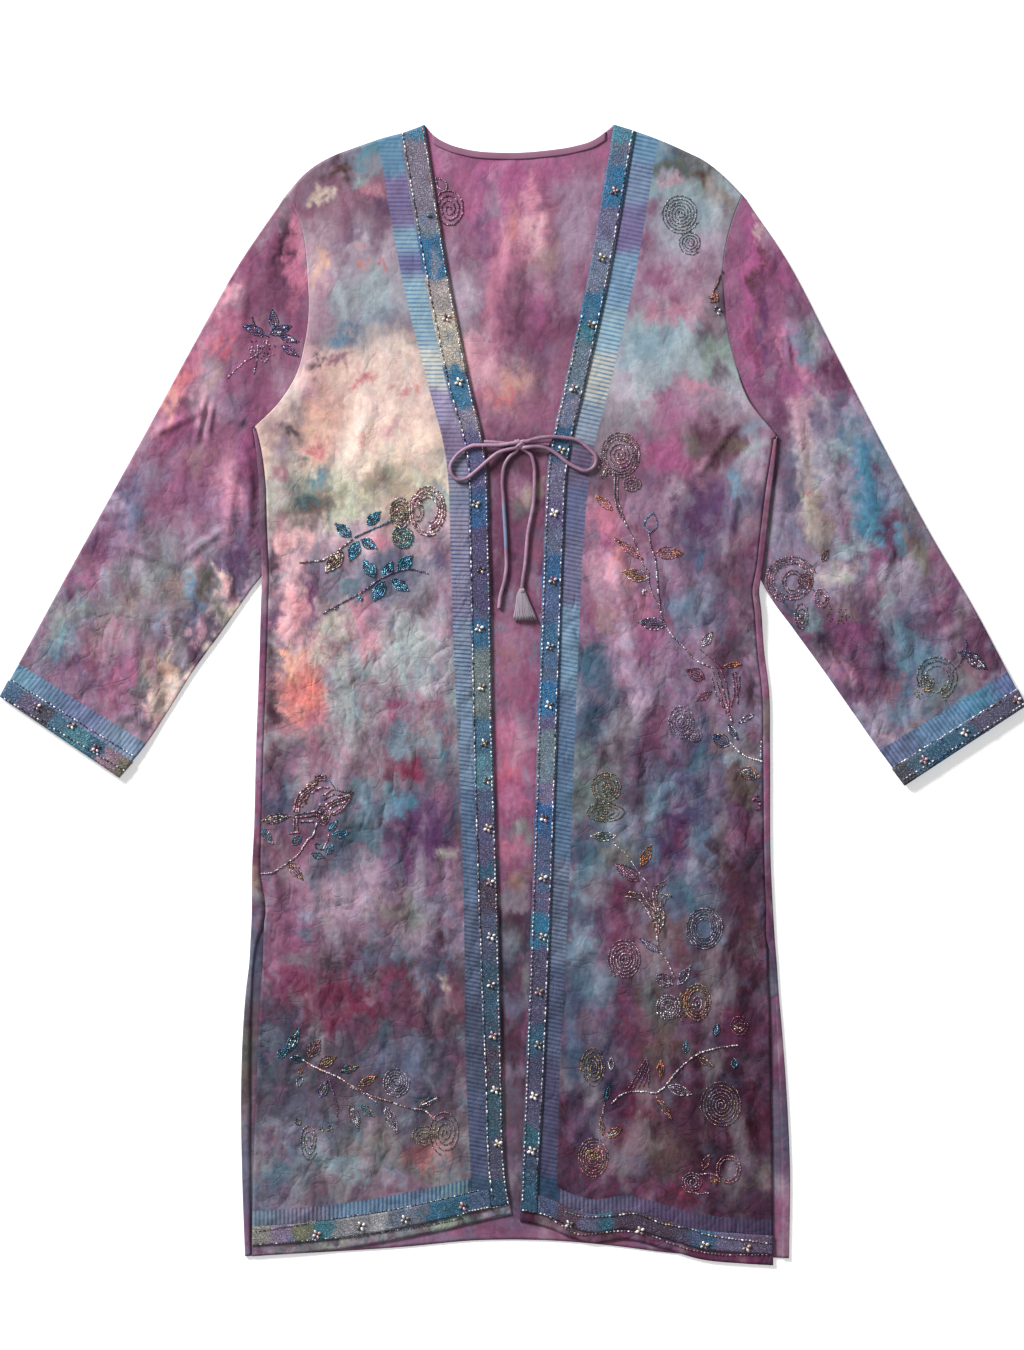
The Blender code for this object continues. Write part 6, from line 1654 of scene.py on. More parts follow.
SLEEVE_CREASES = {
    "right": [
        (297, 215, 300, 320, 1.6, 6), (284, 205, 280, 300, 0.7, 5), (262, 240, 240, 330, 1.0, 9),
        (206, 395, 196, 445, 1.2, 3.5), (214, 400, 208, 440, 1.0, 3), (145, 438, 208, 408, 0.9, 4),
        (214, 408, 262, 432, 0.9, 4), (256, 440, 250, 540, 1.2, 8), (232, 470, 230, 540, 1.0, 6),
        (224, 560, 232, 606, 1.8, 5), (236, 600, 262, 630, 1.6, 7), (210, 640, 246, 664, 1.8, 7),
        (188, 655, 196, 708, 1.6, 6), (158, 650, 156, 720, 1.6, 8), (176, 716, 196, 690, 1.4, 7),
        (118, 545, 190, 570, 0.9, 4), (182, 560, 224, 528, 1.0, 4), (104, 570, 150, 640, 0.9, 6),
        (76, 640, 120, 700, 0.9, 7), (60, 612, 90, 660, 0.8, 6), (150, 600, 128, 690, 0.9, 7),
        (110, 690, 150, 735, 0.8, 4), (140, 560, 170, 600, 0.7, 5), (128, 500, 150, 560, 0.7, 6),
        (168, 620, 176, 650, 0.8, 4), (82, 618, 116, 640, 0.8, 4),
    ],
    "left": [
        (748, 205, 746, 400, 1.8, 5), (762, 250, 766, 350, 0.8, 6), (790, 260, 800, 360, 0.9, 8),
        (784, 330, 790, 370, 1.0, 3), (796, 400, 804, 480, 1.0, 6), (812, 470, 866, 500, 0.9, 4),
        (828, 480, 848, 560, 0.9, 7), (776, 470, 790, 540, 0.8, 7), (842, 556, 880, 576, 1.0, 4),
        (876, 590, 896, 540, 1.0, 5), (880, 610, 876, 690, 0.9, 8), (910, 610, 970, 610, 0.9, 5),
        (930, 640, 964, 626, 0.9, 5), (842, 640, 862, 700, 1.2, 5), (828, 650, 850, 690, 1.0, 5),
        (880, 620, 894, 636, 0.9, 3), (860, 700, 880, 740, 1.0, 6), (894, 640, 930, 700, 0.9, 7),
        (812, 600, 850, 640, 0.9, 7), (900, 520, 930, 580, 0.8, 7), (860, 440, 872, 520, 0.8, 6),
        (940, 640, 972, 700, 0.8, 7),
    ],
}


def sleeve_grid(side):
    """Rows across the sleeve from the underarm over it and back beneath; the first ones are the cap's.

    Returns the grid, the armpit's row, the distance from the cuff's end and the share across.
    """
    sign = -1 if side == "right" else 1
    armpit, shoulder = ARMHOLE[side][0][0], ARMHOLE[side][-1][0]
    h = armpit + (shoulder - armpit) * np.linspace(1, 0, 76) ** 1.15
    seam = np.stack([through(ARMHOLE[side], 1, h), h], axis=-1)
    tangent = np.gradient(seam, axis=0)
    tangent /= np.linalg.norm(tangent, axis=1, keepdims=True)
    seam = seam + (SEAM + 0.1) * np.stack([-tangent[:, 1], tangent[:, 0]], axis=-1)
    under_length = length_of(np.array(SLEEVE_UNDER[side], float))
    to_band = 1 - CUFF_BAND / under_length
    shares = np.concatenate([np.linspace(0, to_band, 126)[1:], np.linspace(to_band, 1, 9)[1:]])
    near = np.concatenate([seam, along(SLEEVE_UNDER[side], shares)])
    run = np.concatenate([[0], np.cumsum(np.linalg.norm(np.diff(near, axis=0), axis=1))])
    shares = (run / run[-1])[:, None]
    far = along(SLEEVE_TOP[side], mix(CAP_START, 1, shares[:, 0]))
    high = through(SLEEVE_HEIGHT, 1, shares)
    radius = (high - CLOTH) / 2
    length = np.linalg.norm(far - near, axis=1)[:, None]
    turn = WRAP[None, :]
    bend = CLOTH / 2 + radius * (1 - np.cos(turn))
    bend_z = high / 2 + radius * np.sin(turn)
    tube = ease(len(seam) - 6, len(seam), np.arange(len(near)))[:, None]
    start = mix(np.array([[0, 0.4, 0.7, 1.0]]), bend[:, 3::-1], tube)
    start_z = mix(high - CLOTH / 2, bend_z[:, 3::-1], tube)
    upper = np.linspace(0, 1, 74)[None, 1:-1]
    lower = np.linspace(1, 0, 30)[None, 1:-1]
    distance = np.concatenate(
        [
            start, mix(start[:, -1:], length - bend[:, :1], upper), length - bend,
            mix(start[:, -1:], length - bend[:, :1], lower), start[:, ::-1],
        ],
        axis=1,
    )
    flat = np.ones(upper.shape) * (high - CLOTH / 2)
    under = np.full((len(near), lower.shape[1]), CLOTH / 2)
    z = np.concatenate([start_z, flat, bend_z, under, high - start_z[:, ::-1]], axis=1)
    plan = near[:, None] + ((far - near) / length)[:, None] * distance[..., None]
    x = sign * plan[..., 0]
    h = plan[..., 1]
    beside = plan[..., 0] - side_distance(side, np.minimum(h, armpit), 1)
    rise = folds(SLEEVE_FOLDS[side], sign, x, h) * ease(*FOLD_CLEARANCE, beside)
    to_end = (1 - shares) * run[-1]
    seed = 90 if side == "right" else 95
    own = 3.2 * creases(SLEEVE_CREASES[side], x, h) + 1.3 * crumple(x, h, seed)
    clear = ease(3, 16, np.minimum(distance, length - distance)) * ease(CUFF_BAND - 4, 48, to_end)
    above = ease(0, 12, beside)
    top = (np.arange(z.shape[1]) < 4 + upper.shape[1])[None, :] * (z > high / 2)
    z = z + (TRIM + SEAM) * ease(0.88, 0.97, shares) + (rise + own * clear * above) * top
    grid = np.stack([x, h, z], axis=-1)
    return grid, len(seam) - 1, to_end + 0 * x, distance / length, distance


sleeves = {}
cuffs = {}
for side, seed in (("right", 500), ("left", 600)):
    grid, armpit_row, to_end, across, distance = sleeve_grid(side)
    paint = both_dyes(grid, PANELS[f"sleeve_{side}"], seed)
    paint["crinkled"] = 0.35 + 0.5 * (1 - ease(560, 900, grid[..., 1]))
    paint["ladder"] = CUFF_LADDER - to_end
    paint["rungs"] = distance / RUNG
    paint["ladder_ground"] = held(CUFF_ZONES[side], 1, across, 0.08)
    paint["ladder_rung"] = held(CUFF_ZONES[side], 2, across, 0.08)
    obj = cloth(f"sleeve_silk_{side}", grid, CLOTH, silk, 40, paint, armpit_row)
    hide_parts(f"sleeve_{side}")
    sleeves[side] = obj
    grid = (grid + BAND_RISE * outward(grid, 40, armpit_row))[-9:]
    x, h = grid[..., 0], grid[..., 1]
    patch = held(CUFF_PATCHES[side], 1, across[-9:] + 0.03 * noise(x, h, 9, 420), 0.008)
    patch = patch * (1 + 0.3 * noise(x, h, 14, 421))[..., None]
    obj = cloth(f"cuff_embroidery_{side}", grid, TRIM, embroidery, 40, {"patch": patch}, 0)
    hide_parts(f"cuff_{side}")
    cuffs[side] = (obj, grid)


# Beads. Small glass and metal beads sewn on in rows along the embroidery, and in leaves, spirals,
# roses and stems over the silk. Each lies with its hole along its row, on the cloth under it.
BEAD = (1.12, 0.86)  # half length and radius
FINE = (0.88, 0.63)
BUGLE = (1.5, 0.8)
# red, green and blue as the lamps show them
BEAD_SIDES = 5
BEAD_POINTS = 3 * BEAD_SIDES
BEAD_ENDS = 0.6  # radius at a bead's ends, to that of its middle
BEAD_SIT = 0.75  # height of a bead's middle above the cloth, to its radius
CLOTH_FROM = 0.9  # beads where no cloth reaches this height are left out
# random brightness of each bead: painted glints on the brighter beads and painted shade on the darker ones
GLINT_AND_SHADE_TONES = [0.45, 0.66, 0.85, 0.98, 1.12, 1.35]
BEAD_TINTS = {
    "silver": (200, 198, 208), "white": (238, 236, 240), "cream": (230, 210, 190),
    "gold": (170, 138, 88), "amber": (186, 108, 56), "brown": (112, 76, 64),
    "bronze": (136, 114, 92), "teal": (30, 112, 132), "sky": (84, 164, 192),
    "blue": (40, 84, 142), "navy": (36, 46, 82), "pink": (200, 152, 166), "rose": (176, 106, 126),
    "magenta": (146, 60, 102), "coral": (206, 122, 112), "red": (150, 50, 56),
    "wine": (104, 38, 56), "lilac": (160, 142, 172), "violet": (104, 74, 130),
    "grey": (140, 136, 148), "shade": (96, 88, 104), "dark": (54, 46, 58),
    "sage": (126, 138, 120), "olive": (108, 104, 76), "mint": (136, 166, 154),
    "mauve": (140, 100, 122), "dusk": (112, 92, 110),
}
dice = np.random.default_rng(11)
glass = Look("seed_beads", 0.24, 0.7, 0.2)
glass.set("Base Color", glass.blend(1.0, glass.colour("tint"), glass.noise(1.6, 1) * 0.6 + 0.7, "MULTIPLY"))
glass.set("Roughness", glass.noise(3, 1) * 0.25 + 0.12)


def smooth_line(points, pitch):
    """Points every pitch along a curve through the given chart points, and its directions."""
    points = np.array(points, float)
    ends = np.concatenate([[2 * points[0] - points[1]], points, [2 * points[-1] - points[-2]]])
    t = np.linspace(0, 1, 12, endpoint=False)[:, None]
    parts = []
    for i in range(len(points) - 1):
        a, b, c, d = ends[i : i + 4]
        parts.append(
            0.5 * (2 * b + (c - a) * t + (2 * a - 5 * b + 4 * c - d) * t**2 + (3 * b - a - 3 * c + d) * t**3)
        )
    fine = np.concatenate([*parts, points[-1:]])
    count = max(int(round(length_of(fine) / pitch)), 1)
    even = along(fine, np.linspace(0, 1, count + 1))
    way = np.gradient(even, axis=0) if count > 1 else np.repeat(even[1:] - even[:1], 2, axis=0)
    return even, way


def row_of(points, tints, pitch=2.1, size=BEAD):
    """A row of beads end to end along a curve."""
    at, way = smooth_line(points, pitch)
    return [(at, way, tints, size)]


def leaf_of(base, tip, width, tints, filled=None, size=BEAD, pitch=2.0):
    """Two bowed sides from base to tip, and rows of another tint between them."""
    base, tip = np.array(base, float), np.array(tip, float)
    spine = tip - base
    side = np.array([-spine[1], spine[0]]) / np.linalg.norm(spine)
    t = np.linspace(0, 1, 9)[:, None]
    bow = np.sin(np.pi * t**0.85)
    rows = []
    for share in (-0.5, 0.5):
        rows += row_of(base + spine * t + side * width * share * bow, tints, pitch, size)
    if filled:
        part = 0.14 + 0.74 * t
        close = 1.95 if size == BEAD else 2.1
        for share in np.linspace(-0.5, 0.5, max(int(width / close), 2) + 1)[1:-1]:
            rows += row_of(base + spine * part + side * width * share * bow, filled, pitch, size)
    return rows


def spiral_of(centre, radii, tints, gap=2.7, turn=0.0, size=FINE, pitch=1.9, start=1.2):
    """An even spiral from start out to the two radii."""
    turns = max((min(radii) - start) / gap, 0.8)
    angle = np.linspace(0, 2 * np.pi * turns, int(12 * turns) + 4)
    share = mix(start / min(radii), 1, angle / angle[-1])
    angle = angle + turn
    x = centre[0] + radii[0] * share * np.cos(angle)
    return row_of(np.stack([x, centre[1] - radii[1] * share * np.sin(angle)], axis=-1), tints, pitch, size)


def ring_of(centre, radii, tints, size=BEAD, pitch=2.1, span=(0, 360)):
    """A row round an oval, over a span of degrees."""
    angle = np.radians(np.linspace(*span, 25))
    x = centre[0] + radii[0] * np.cos(angle)
    return row_of(np.stack([x, centre[1] - radii[1] * np.sin(angle)], axis=-1), tints, pitch, size)


def packed(centre, radii, tints, inner=0.15, span=(0, 360), gap=2.2, lean=0.7, size=FINE):
    """Rings close together from inner to the radii, each bead turned a little out of its ring."""
    rows = []
    for share in np.arange(inner, 1.001, gap / min(radii)):
        for at, way, *rest in ring_of(centre, (radii[0] * share, radii[1] * share), tints, size, 2.0, span):
            turn = dice.normal(0, lean, len(at))[:, None]
            rows.append((at, way * np.cos(turn) + way[:, ::-1] * (-1, 1) * np.sin(turn), *rest))
    return rows


def scribble(centre, radii, tints, count, size=BEAD):
    """Single beads in every direction over an oval."""
    angle = dice.uniform(0, 2 * np.pi, count)
    reach = np.sqrt(dice.uniform(0, 1, count))
    x = centre[0] + radii[0] * reach * np.cos(angle)
    at = np.stack([x, centre[1] - radii[1] * reach * np.sin(angle)], axis=-1)
    turn = dice.uniform(0, np.pi, count)
    return [(at, np.stack([np.cos(turn), np.sin(turn)], axis=-1), tints, size)]


def small_flower(centre, petals, heart, reach=2.9):
    """Four long beads round one in the middle."""
    rows = []
    for i in range(4):
        a = math.radians(90 * i + 25)
        at = np.array([[centre[0] + reach * math.cos(a), centre[1] - reach * math.sin(a)]])
        rows.append((at, np.array([[math.cos(a), -math.sin(a)]]), petals, (1.7, 1.5)))
    rows.append((np.array([centre], float), np.array([[1.0, 0.0]]), heart, (1.1, 1.1)))
    return rows


def beads(name, rows, trees):
    """One mesh of barrel-shaped beads: rings of five points at the ends and the middle of each."""
    at = np.concatenate([r[0] for r in rows])
    way = np.concatenate([r[1] for r in rows])
    size = np.concatenate([np.repeat([r[3]], len(r[0]), axis=0) for r in rows])
    tints = [np.array([BEAD_TINTS[k] for k in dice.choice(r[2], len(r[0]))], float) for r in rows]
    tint = np.concatenate(tints)
    # painted glints and shade: each bead made brighter or darker at random
    tint = tint * dice.choice(GLINT_AND_SHADE_TONES, len(tint))[:, None]
    tint = mix(tint.mean(axis=1, keepdims=True), tint, 0.85)
    at = at + dice.normal(0, 0.2, at.shape)
    size = size * dice.uniform(0.85, 1.12, (len(size), 1))
    way = way / np.maximum(np.linalg.norm(way, axis=1, keepdims=True), 1e-6)
    x, h = at[:, 0] - CHART[0], CHART[1] - at[:, 1]
    level = np.full(len(x), -1.0)
    for tree in trees:
        for i, point in enumerate(place(np.stack([x, h, np.full(len(x), 30.0)], axis=-1)).tolist()):
            hit = tree.ray_cast(Vector(point), Vector((0, 0, -1)))[0]
            level[i] = max(level[i], hit.z / MM if hit else -1)
    keep = level > CLOTH_FROM
    x, h, level, way, size, tint = x[keep], h[keep], level[keep], way[keep], size[keep], tint[keep]
    ring = np.radians(np.arange(BEAD_SIDES) * 360.0 / BEAD_SIDES + 90)
    forward = np.stack([way[:, 0], -way[:, 1], 0 * x], axis=-1)
    across = np.stack([way[:, 1], way[:, 0], 0 * x], axis=-1)
    centre = np.stack([x, h, level + BEAD_SIT * size[:, 1]], axis=-1)
    up = np.array([0, 0, 1.0])
    spoke = across[:, None] * np.cos(ring)[None, :, None] + up * np.sin(ring)[None, :, None]
    loops = []
    for step, wide in ((-1, BEAD_ENDS), (0, 1.0), (1, BEAD_ENDS)):
        middle = centre + forward * (step * size[:, :1])
        loops.append(middle[:, None] + spoke * (wide * size[:, 1])[:, None, None])
    vertices = np.concatenate(loops, axis=1)
    k = np.arange(BEAD_SIDES)
    n = (k + 1) % BEAD_SIDES
    sides = []
    for i in (0, BEAD_SIDES):
        j = i + BEAD_SIDES
        sides += [np.stack([k + i, n + i, n + j], axis=-1), np.stack([k + i, n + j, k + j], axis=-1)]
    caps = [[10, 11, 12], [10, 12, 13], [10, 13, 14], [2, 1, 0], [3, 2, 0], [4, 3, 0]]
    one = np.concatenate([*sides, caps])
    faces = (one[None] + BEAD_POINTS * np.arange(len(x))[:, None, None]).reshape(-1, 3)
    shown = np.clip(np.repeat(tint, BEAD_POINTS, axis=0), 0, 255)
    obj = shape(name, place(vertices.reshape(-1, 3)), faces, glass, {"tint": tone(shown) * 1.12})
    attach(obj, "root")


def tree_of(obj):
    """A search tree of a cloth's faces in the frame."""
    points = [v.co[:] for v in obj.data.vertices]
    return BVHTree.FromPolygons(points, [p.vertices[:] for p in obj.data.polygons])


def beside_edge(side, inset, v0, v1, step=14):
    """Chart points down a front, inset from its edge."""
    v = np.arange(v0, v1 + 1, step, dtype=float)
    h = CHART[1] - v
    sign = -1 if side == "right" else 1
    return np.stack([CHART[0] + sign * (through(FRONT_EDGE[side], 1, h) + inset(h)), v], axis=-1)



# Beads on the bands and cuffs. Two or three rows down each front band and round each cuff, small
# flowers of long beads between them and rows along the hem, all sewn on through the embroidery.
bright = ["white", "silver", "white", "lilac", "dark"]
trim_rows = {"right": [], "left": []}
wide_of = {s: (lambda h, s=s: through(FRONT_EDGE[s], 2, h)) for s in ("right", "left")}
trim_rows["right"] += row_of(
    beside_edge("right", lambda h: wide_of["right"](h) - 1.6, 130, 1200), bright, 4.4, BUGLE
)
trim_rows["right"] += row_of(
    beside_edge("right", lambda h: 2.0 + 0 * h, 130, 470), ["cream", "white", "amber", "cream"], 3.0,
    (1.2, 0.6)
)
trim_rows["right"] += row_of(
    beside_edge("right", lambda h: 2.0 + 0 * h, 474, 1206), ["cream", "white", "pink", "silver"], 4.2
)
trim_rows["left"] += row_of(
    beside_edge("left", lambda h: wide_of["left"](h) - 1.8, 133, 1206), bright, 4.2, BUGLE
)
trim_rows["left"] += row_of(
    beside_edge("left", lambda h: 2.0 + 0 * h, 317, 1210), ["white", "pink", "cream", "silver"], 4.4
)
FLOWERS = {
    "right": [
        (446.3, 318), (459, 382), (475.8, 504), (480.8, 569.7), (479.2, 628.2), (481.6, 687), (484.4, 743),
        (487, 780), (488, 827.7), (490, 882), (491, 936), (491, 984), (493, 1035), (495, 1089.5),
        (498, 1143),
        (317, 1233.5), (361, 1225.6), (405, 1218.7), (463, 1205.6),
    ],
    "left": [
        (614.4, 191.8), (601.7, 258.2), (591.4, 324.8), (574, 388.9), (561.1, 450.1), (553.9, 512.9),
        (552.9, 580.3), (549.7, 646.5), (549, 704.9), (543.9, 817.8), (543.3, 877.7), (543, 936.5),
        (539.2, 991.6), (538.2, 1044.4), (533.8, 1095.6), (531.5, 1150), (569.4, 1223.8), (704.2, 1244.6),
        (746.3, 1246.6), (640, 1230),
    ],
}
for side, places in FLOWERS.items():
    for i, centre in enumerate(places):
        petals = ["cream", "white"] if i % 3 else ["cream", "pink"]
        trim_rows[side] += small_flower(centre, petals, ["brown", "gold"])
trim_rows["right"] += [(np.array([[429.0, 216.0]]), np.array([[1.0, 0]]), ["white"], (2.2, 1.8))]
trim_rows["right"] += row_of(
    [(256, 1231), (335, 1218), (409, 1206), (478, 1190)], ["shade", "grey", "silver"], 2.4, FINE
)
trim_rows["right"] += row_of(
    [(256, 1244), (335, 1237), (409, 1228), (462, 1218)], ["shade", "silver", "dark"], 2.6, FINE
)
trim_rows["right"] += row_of([(458, 1215), (476, 1209), (506, 1205)], ["white", "silver", "cream"], 3.0)
dots = ["white", "silver", "shade", "mauve", "shade", "gold"]
trim_rows["left"] += row_of(
    [(566, 1211), (584, 1216), (612, 1215), (637, 1213), (660, 1222), (690, 1228), (712, 1235), (773, 1243)],
    dots, 3.4
)
trim_rows["left"] += row_of(
    [(516, 1208), (545, 1214), (560, 1224), (580, 1234), (612, 1231), (640, 1232), (672, 1243), (690, 1249),
     (720, 1254), (766, 1254)], dots, 3.6,
)

front_tree = {
    side: [tree_of(fronts[side]), tree_of(bands[side][0]), tree_of(hems[side][0])]
    for side in ("right", "left")
}
for side in ("right", "left"):
    beads(f"trim_beads_{side}", trim_rows[side], front_tree[side])

cuff_rows = {
    "right": row_of([(12, 680), (70, 716), (133, 755)], bright, 3.4)
    + row_of([(6, 699), (66, 735), (128, 772)], bright, 3.8),
    "left": row_of([(894, 766), (957, 727), (1018, 688)], bright, 3.0, BUGLE)
    + row_of([(903, 779), (965, 741), (1022, 704)], bright, 3.8)
    + leaf_of((930, 768), (990, 728), 9, ["navy", "blue"], size=FINE),
}
for side, places in {
    "right": [(37.6, 706.4), (71.6, 725.2), (96.9, 748)], "left": [(964, 732), (1016, 700), (922.9, 759.8)],
}.items():
    for centre in places:
        cuff_rows[side] += small_flower(centre, ["white", "pink"], ["amber"])
    beads(f"cuff_beads_{side}", cuff_rows[side], [tree_of(sleeves[side]), tree_of(cuffs[side][0])])


# Beadwork on the right front. Two branches with roses at the waist, a plum flower by the side seam
# and a low spray: rows, leaves, spirals and close rings of glass beads sewn to the silk.
blue_leaf = ["teal", "teal", "sky", "blue"]
right_rows = packed((400, 513), (12, 18), ["bronze", "sage", "pink", "brown"], 0.1, size=BEAD)
right_rows += packed(
    (428, 510), (19, 26), ["pink", "pink", "rose", "cream"], 0.5, (-80, 160), 2.5, 0.7, BEAD
)
right_rows += packed((428, 510), (19, 26), ["pink", "pink", "cream"], 0.85, (150, 290), 2.4, 0.4, BEAD)
right_rows += packed((417, 512), (8, 12), ["rose", "bronze", "brown"], 0.4, gap=3.0)
right_rows += packed((402.5, 537), (11, 12), ["sage", "mint", "teal"], 0.1, size=BEAD)
right_rows += row_of([(393, 520), (376, 528), (355, 537)], ["teal", "blue"], 1.8)
for base, tip, wide in (
    ((350, 536), (336, 524), 10), ((368, 524), (380, 512), 10), ((362, 540), (376, 548), 10),
    ((358, 542), (350, 560), 11),
):
    right_rows += leaf_of(base, tip, wide, blue_leaf, blue_leaf)
right_rows += leaf_of((342, 552), (326, 572), 13, ["bronze", "silver"], ["cream", "bronze", "brown"])
right_rows += row_of([(352, 540), (336, 552), (322, 560), (301, 563)], ["bronze", "silver", "brown"])
right_rows += row_of(
    [(427, 573), (408, 569), (393, 573), (378, 580), (364, 591), (345, 601), (324, 613)],
    ["violet", "mauve", "lilac"],
)
for base, tip, wide in (
    ((374, 576), (364, 560), 11), ((398, 570), (412, 556), 11), ((384, 576), (392, 562), 9),
    ((384, 582), (374, 600), 11), ((392, 580), (408, 590), 10),
):
    right_rows += leaf_of(base, tip, wide, blue_leaf, blue_leaf)
right_rows += scribble((360, 599), (2.5, 3.5), ["sky", "teal"], 7)
right_rows += scribble((336, 608), (2, 3), ["bronze"], 4)
# the plum flower by the side seam
plum = ["rose", "mauve", "brown", "pink"]
for inset in (0, 2.4, 4.6):
    right_rows += row_of(
        [(294 + inset, 811), (295.5 + inset, 801), (301 + inset, 792 + inset / 2),
         (311 + inset / 2, 784 + inset),
         (316, 776.6 + inset), (324.8, 775 + inset)], plum, 2.2,
    )
right_rows += scribble((312, 784), (5, 3), ["gold", "cream"], 12)
right_rows += row_of([(326, 776.6), (336.5, 789)], ["teal"], 2.2)
for points in (
    [(303.5, 801.5), (310, 794), (318, 788.3), (327.7, 786.5)],
    [(323.3, 795), (332.9, 789.4), (342, 791), (352.6, 792)],
    [(352.6, 792), (347.5, 803), (338, 812.5), (330.6, 814)],
    [(350, 794), (345, 803), (336, 811), (330, 812)],
    [(324, 799.3), (334.3, 794.2), (344.6, 795.7)], [(326.2, 803.7), (336.5, 798.6), (348.2, 795)],
    [(328, 806), (337.5, 801), (346.5, 798)], [(330.6, 808), (338, 803.7), (345.3, 801.5)],
    [(295.5, 814), (305, 813), (314.5, 811)], [(297, 817), (306, 816.5), (315, 815)],
    [(301.3, 821.3), (312.3, 820.6)], [(294, 817.7), (294, 828.6)], [(297, 817.7), (297.7, 831.6)],
    [(289.6, 833), (298.4, 832.3)],
):
    right_rows += row_of(points, plum, 2.2)
right_rows += packed((323.3, 815), (7, 11), ["wine", "red", "rose"], 0.1, gap=1.9)
right_rows += scribble((303, 800), (5, 8), ["red", "rose", "wine"], 22, FINE)
right_rows += scribble((323, 813), (7, 10), ["cream", "wine"], 16, FINE)
for base, tip, wide, tints, fill in (
    ((263, 820.6), (289.6, 816), 9, ["navy", "gold"], ["navy", "cream"]),
    ((261, 827), (272.7, 843.3), 7, ["teal", "silver"], ["teal"]),
    ((292.5, 844), (302, 836), 7, ["teal", "dark"], ["teal"]),
    ((329, 830), (337, 821), 7, blue_leaf, ["sky"]),
    ((332.8, 834.5), (349, 832.3), 7, blue_leaf, blue_leaf),
    ((315, 844), (323.3, 849), 5, ["dark", "teal"], None),
    ((327, 853.6), (332.8, 845), 7, blue_leaf, ["sky"]),
    ((312.3, 853.6), (324, 857), 6, ["teal", "dark"], ["teal"]),
    ((289.6, 862.4), (302.8, 879), 10, ["brown", "bronze", "pink"], ["gold", "brown", "dark"]),
):
    right_rows += leaf_of(base, tip, wide, tints, fill, FINE)
right_rows += row_of(
    [(316.7, 824), (313, 835), (307, 840.4), (301.3, 850.6), (293.3, 858.7), (288, 862.4), (278, 869),
     (272, 872.6),
     (262.5, 873.4)], ["pink", "silver", "white"], 2.3,
)
right_rows += row_of([(329.2, 833), (327.7, 839.7), (324, 847.7)], ["silver", "cream"], 2.2, FINE)
# the low spray
right_rows += row_of(
    [(304, 1060), (313, 1065.6), (321.6, 1069.8), (337, 1076), (351, 1085), (362, 1090), (369, 1094.4),
     (384.7, 1099.3), (410, 1107.7), (424, 1109.8), (435, 1119.6)], ["pink", "white", "coral"], 2.4,
)
right_rows += row_of([(351, 1087), (364, 1093), (376, 1101.4)], ["pink", "silver"], 2.4, FINE)
right_rows += row_of(
    [(328.6, 1076), (332.8, 1090), (337, 1104), (337, 1115.4)], ["violet", "mauve"], 2.4, FINE
)
for base, tip, wide, tints, fill in (
    ((288, 1051), (299, 1028.4), 9, blue_leaf, ["teal", "white"]),
    ((278, 1056.5), (286.5, 1048), 8, blue_leaf, ["teal"]),
    ((290.7, 1058), (304, 1059.3), 7, blue_leaf, ["navy"]),
    ((309, 1056.5), (320, 1039.6), 12, ["brown", "mauve"], ["rose", "brown"]),
    ((318.8, 1065), (335.6, 1056.5), 10, ["brown", "bronze"], ["gold", "brown"]),
    ((299, 1072), (302, 1068), 5, ["amber"], None),
    ((341, 1071), (358, 1065.6), 7, ["dark", "teal"], ["gold", "teal"]),
    ((359.4, 1085), (376.3, 1076), 7, ["gold", "amber"], ["bronze"]),
    ((320, 1095.8), (327, 1080.3), 9, ["violet", "teal"], ["grey"]),
    ((351, 1104), (358, 1129.4), 10, ["brown", "dusk"], ["silver", "dusk"]),
    ((361, 1105.6), (373.5, 1115.4), 8, ["teal", "gold"], ["teal"]),
    ((386, 1107), (397, 1132), 10, ["lilac", "silver"], ["lilac", "shade"]),
    ((420, 1105.6), (439, 1096.5), 6, ["teal", "navy", "amber"], ["white"]),
    ((301, 1076), (298, 1086), 6, ["grey", "dusk"], None),
    ((300, 1124), (296, 1118), 5, ["dark", "olive"], None),
):
    right_rows += leaf_of(base, tip, wide, tints, fill, FINE)
right_rows += spiral_of((396, 1081.7), (14, 15.5), ["grey", "lilac", "shade"], 2.5)
right_rows += spiral_of((445, 1132), (16, 23), ["rose", "bronze", "mauve"], 4.0)
right_rows += packed((424, 1135), (14, 11), ["olive", "sage", "bronze"], 0.3, gap=3.0)
right_rows += spiral_of((309, 1140.7), (9, 19), ["sage", "grey", "olive"], 2.7)
right_rows += scribble((325, 1127), (8, 4), ["grey", "sage", "gold"], 12, FINE)
beads("motif_beads_right", right_rows, front_tree["right"])


# Beadwork on the left front. Branches with leaves and flowers from the shoulder to the hem, with
# spirals, rings and single beads between them, sewn on as on the right front.
left_rows = spiral_of((680, 214), (19, 20), ["grey", "shade", "sage"], 3.0)
left_rows += spiral_of((690, 243), (12, 12), ["grey", "shade"], 2.8)
left_rows += row_of([(722, 272), (717, 284), (713, 292)], ["brown"])
left_rows += scribble((713, 299), (5, 5), ["red", "brown", "amber"], 22)
left_rows += scribble((717, 311), (4, 4), ["white", "dark"], 9)
left_rows += packed((620, 455), (20, 23), ["bronze", "pink", "dusk", "mauve"], 0.72, gap=2.4)
left_rows += spiral_of((620, 455), (13, 15), ["bronze", "pink", "mauve"], 3.6)
left_rows += scribble((603, 471), (7, 7), ["bronze", "cream", "mauve"], 26, FINE)
left_rows += packed((632, 484), (11, 9), ["bronze", "mauve", "dusk"], 0.2, gap=2.6)
left_rows += row_of([(614.7, 474), (614.7, 499), (620, 514), (627.5, 527.5)], ["grey", "shade", "sage"], 1.9)
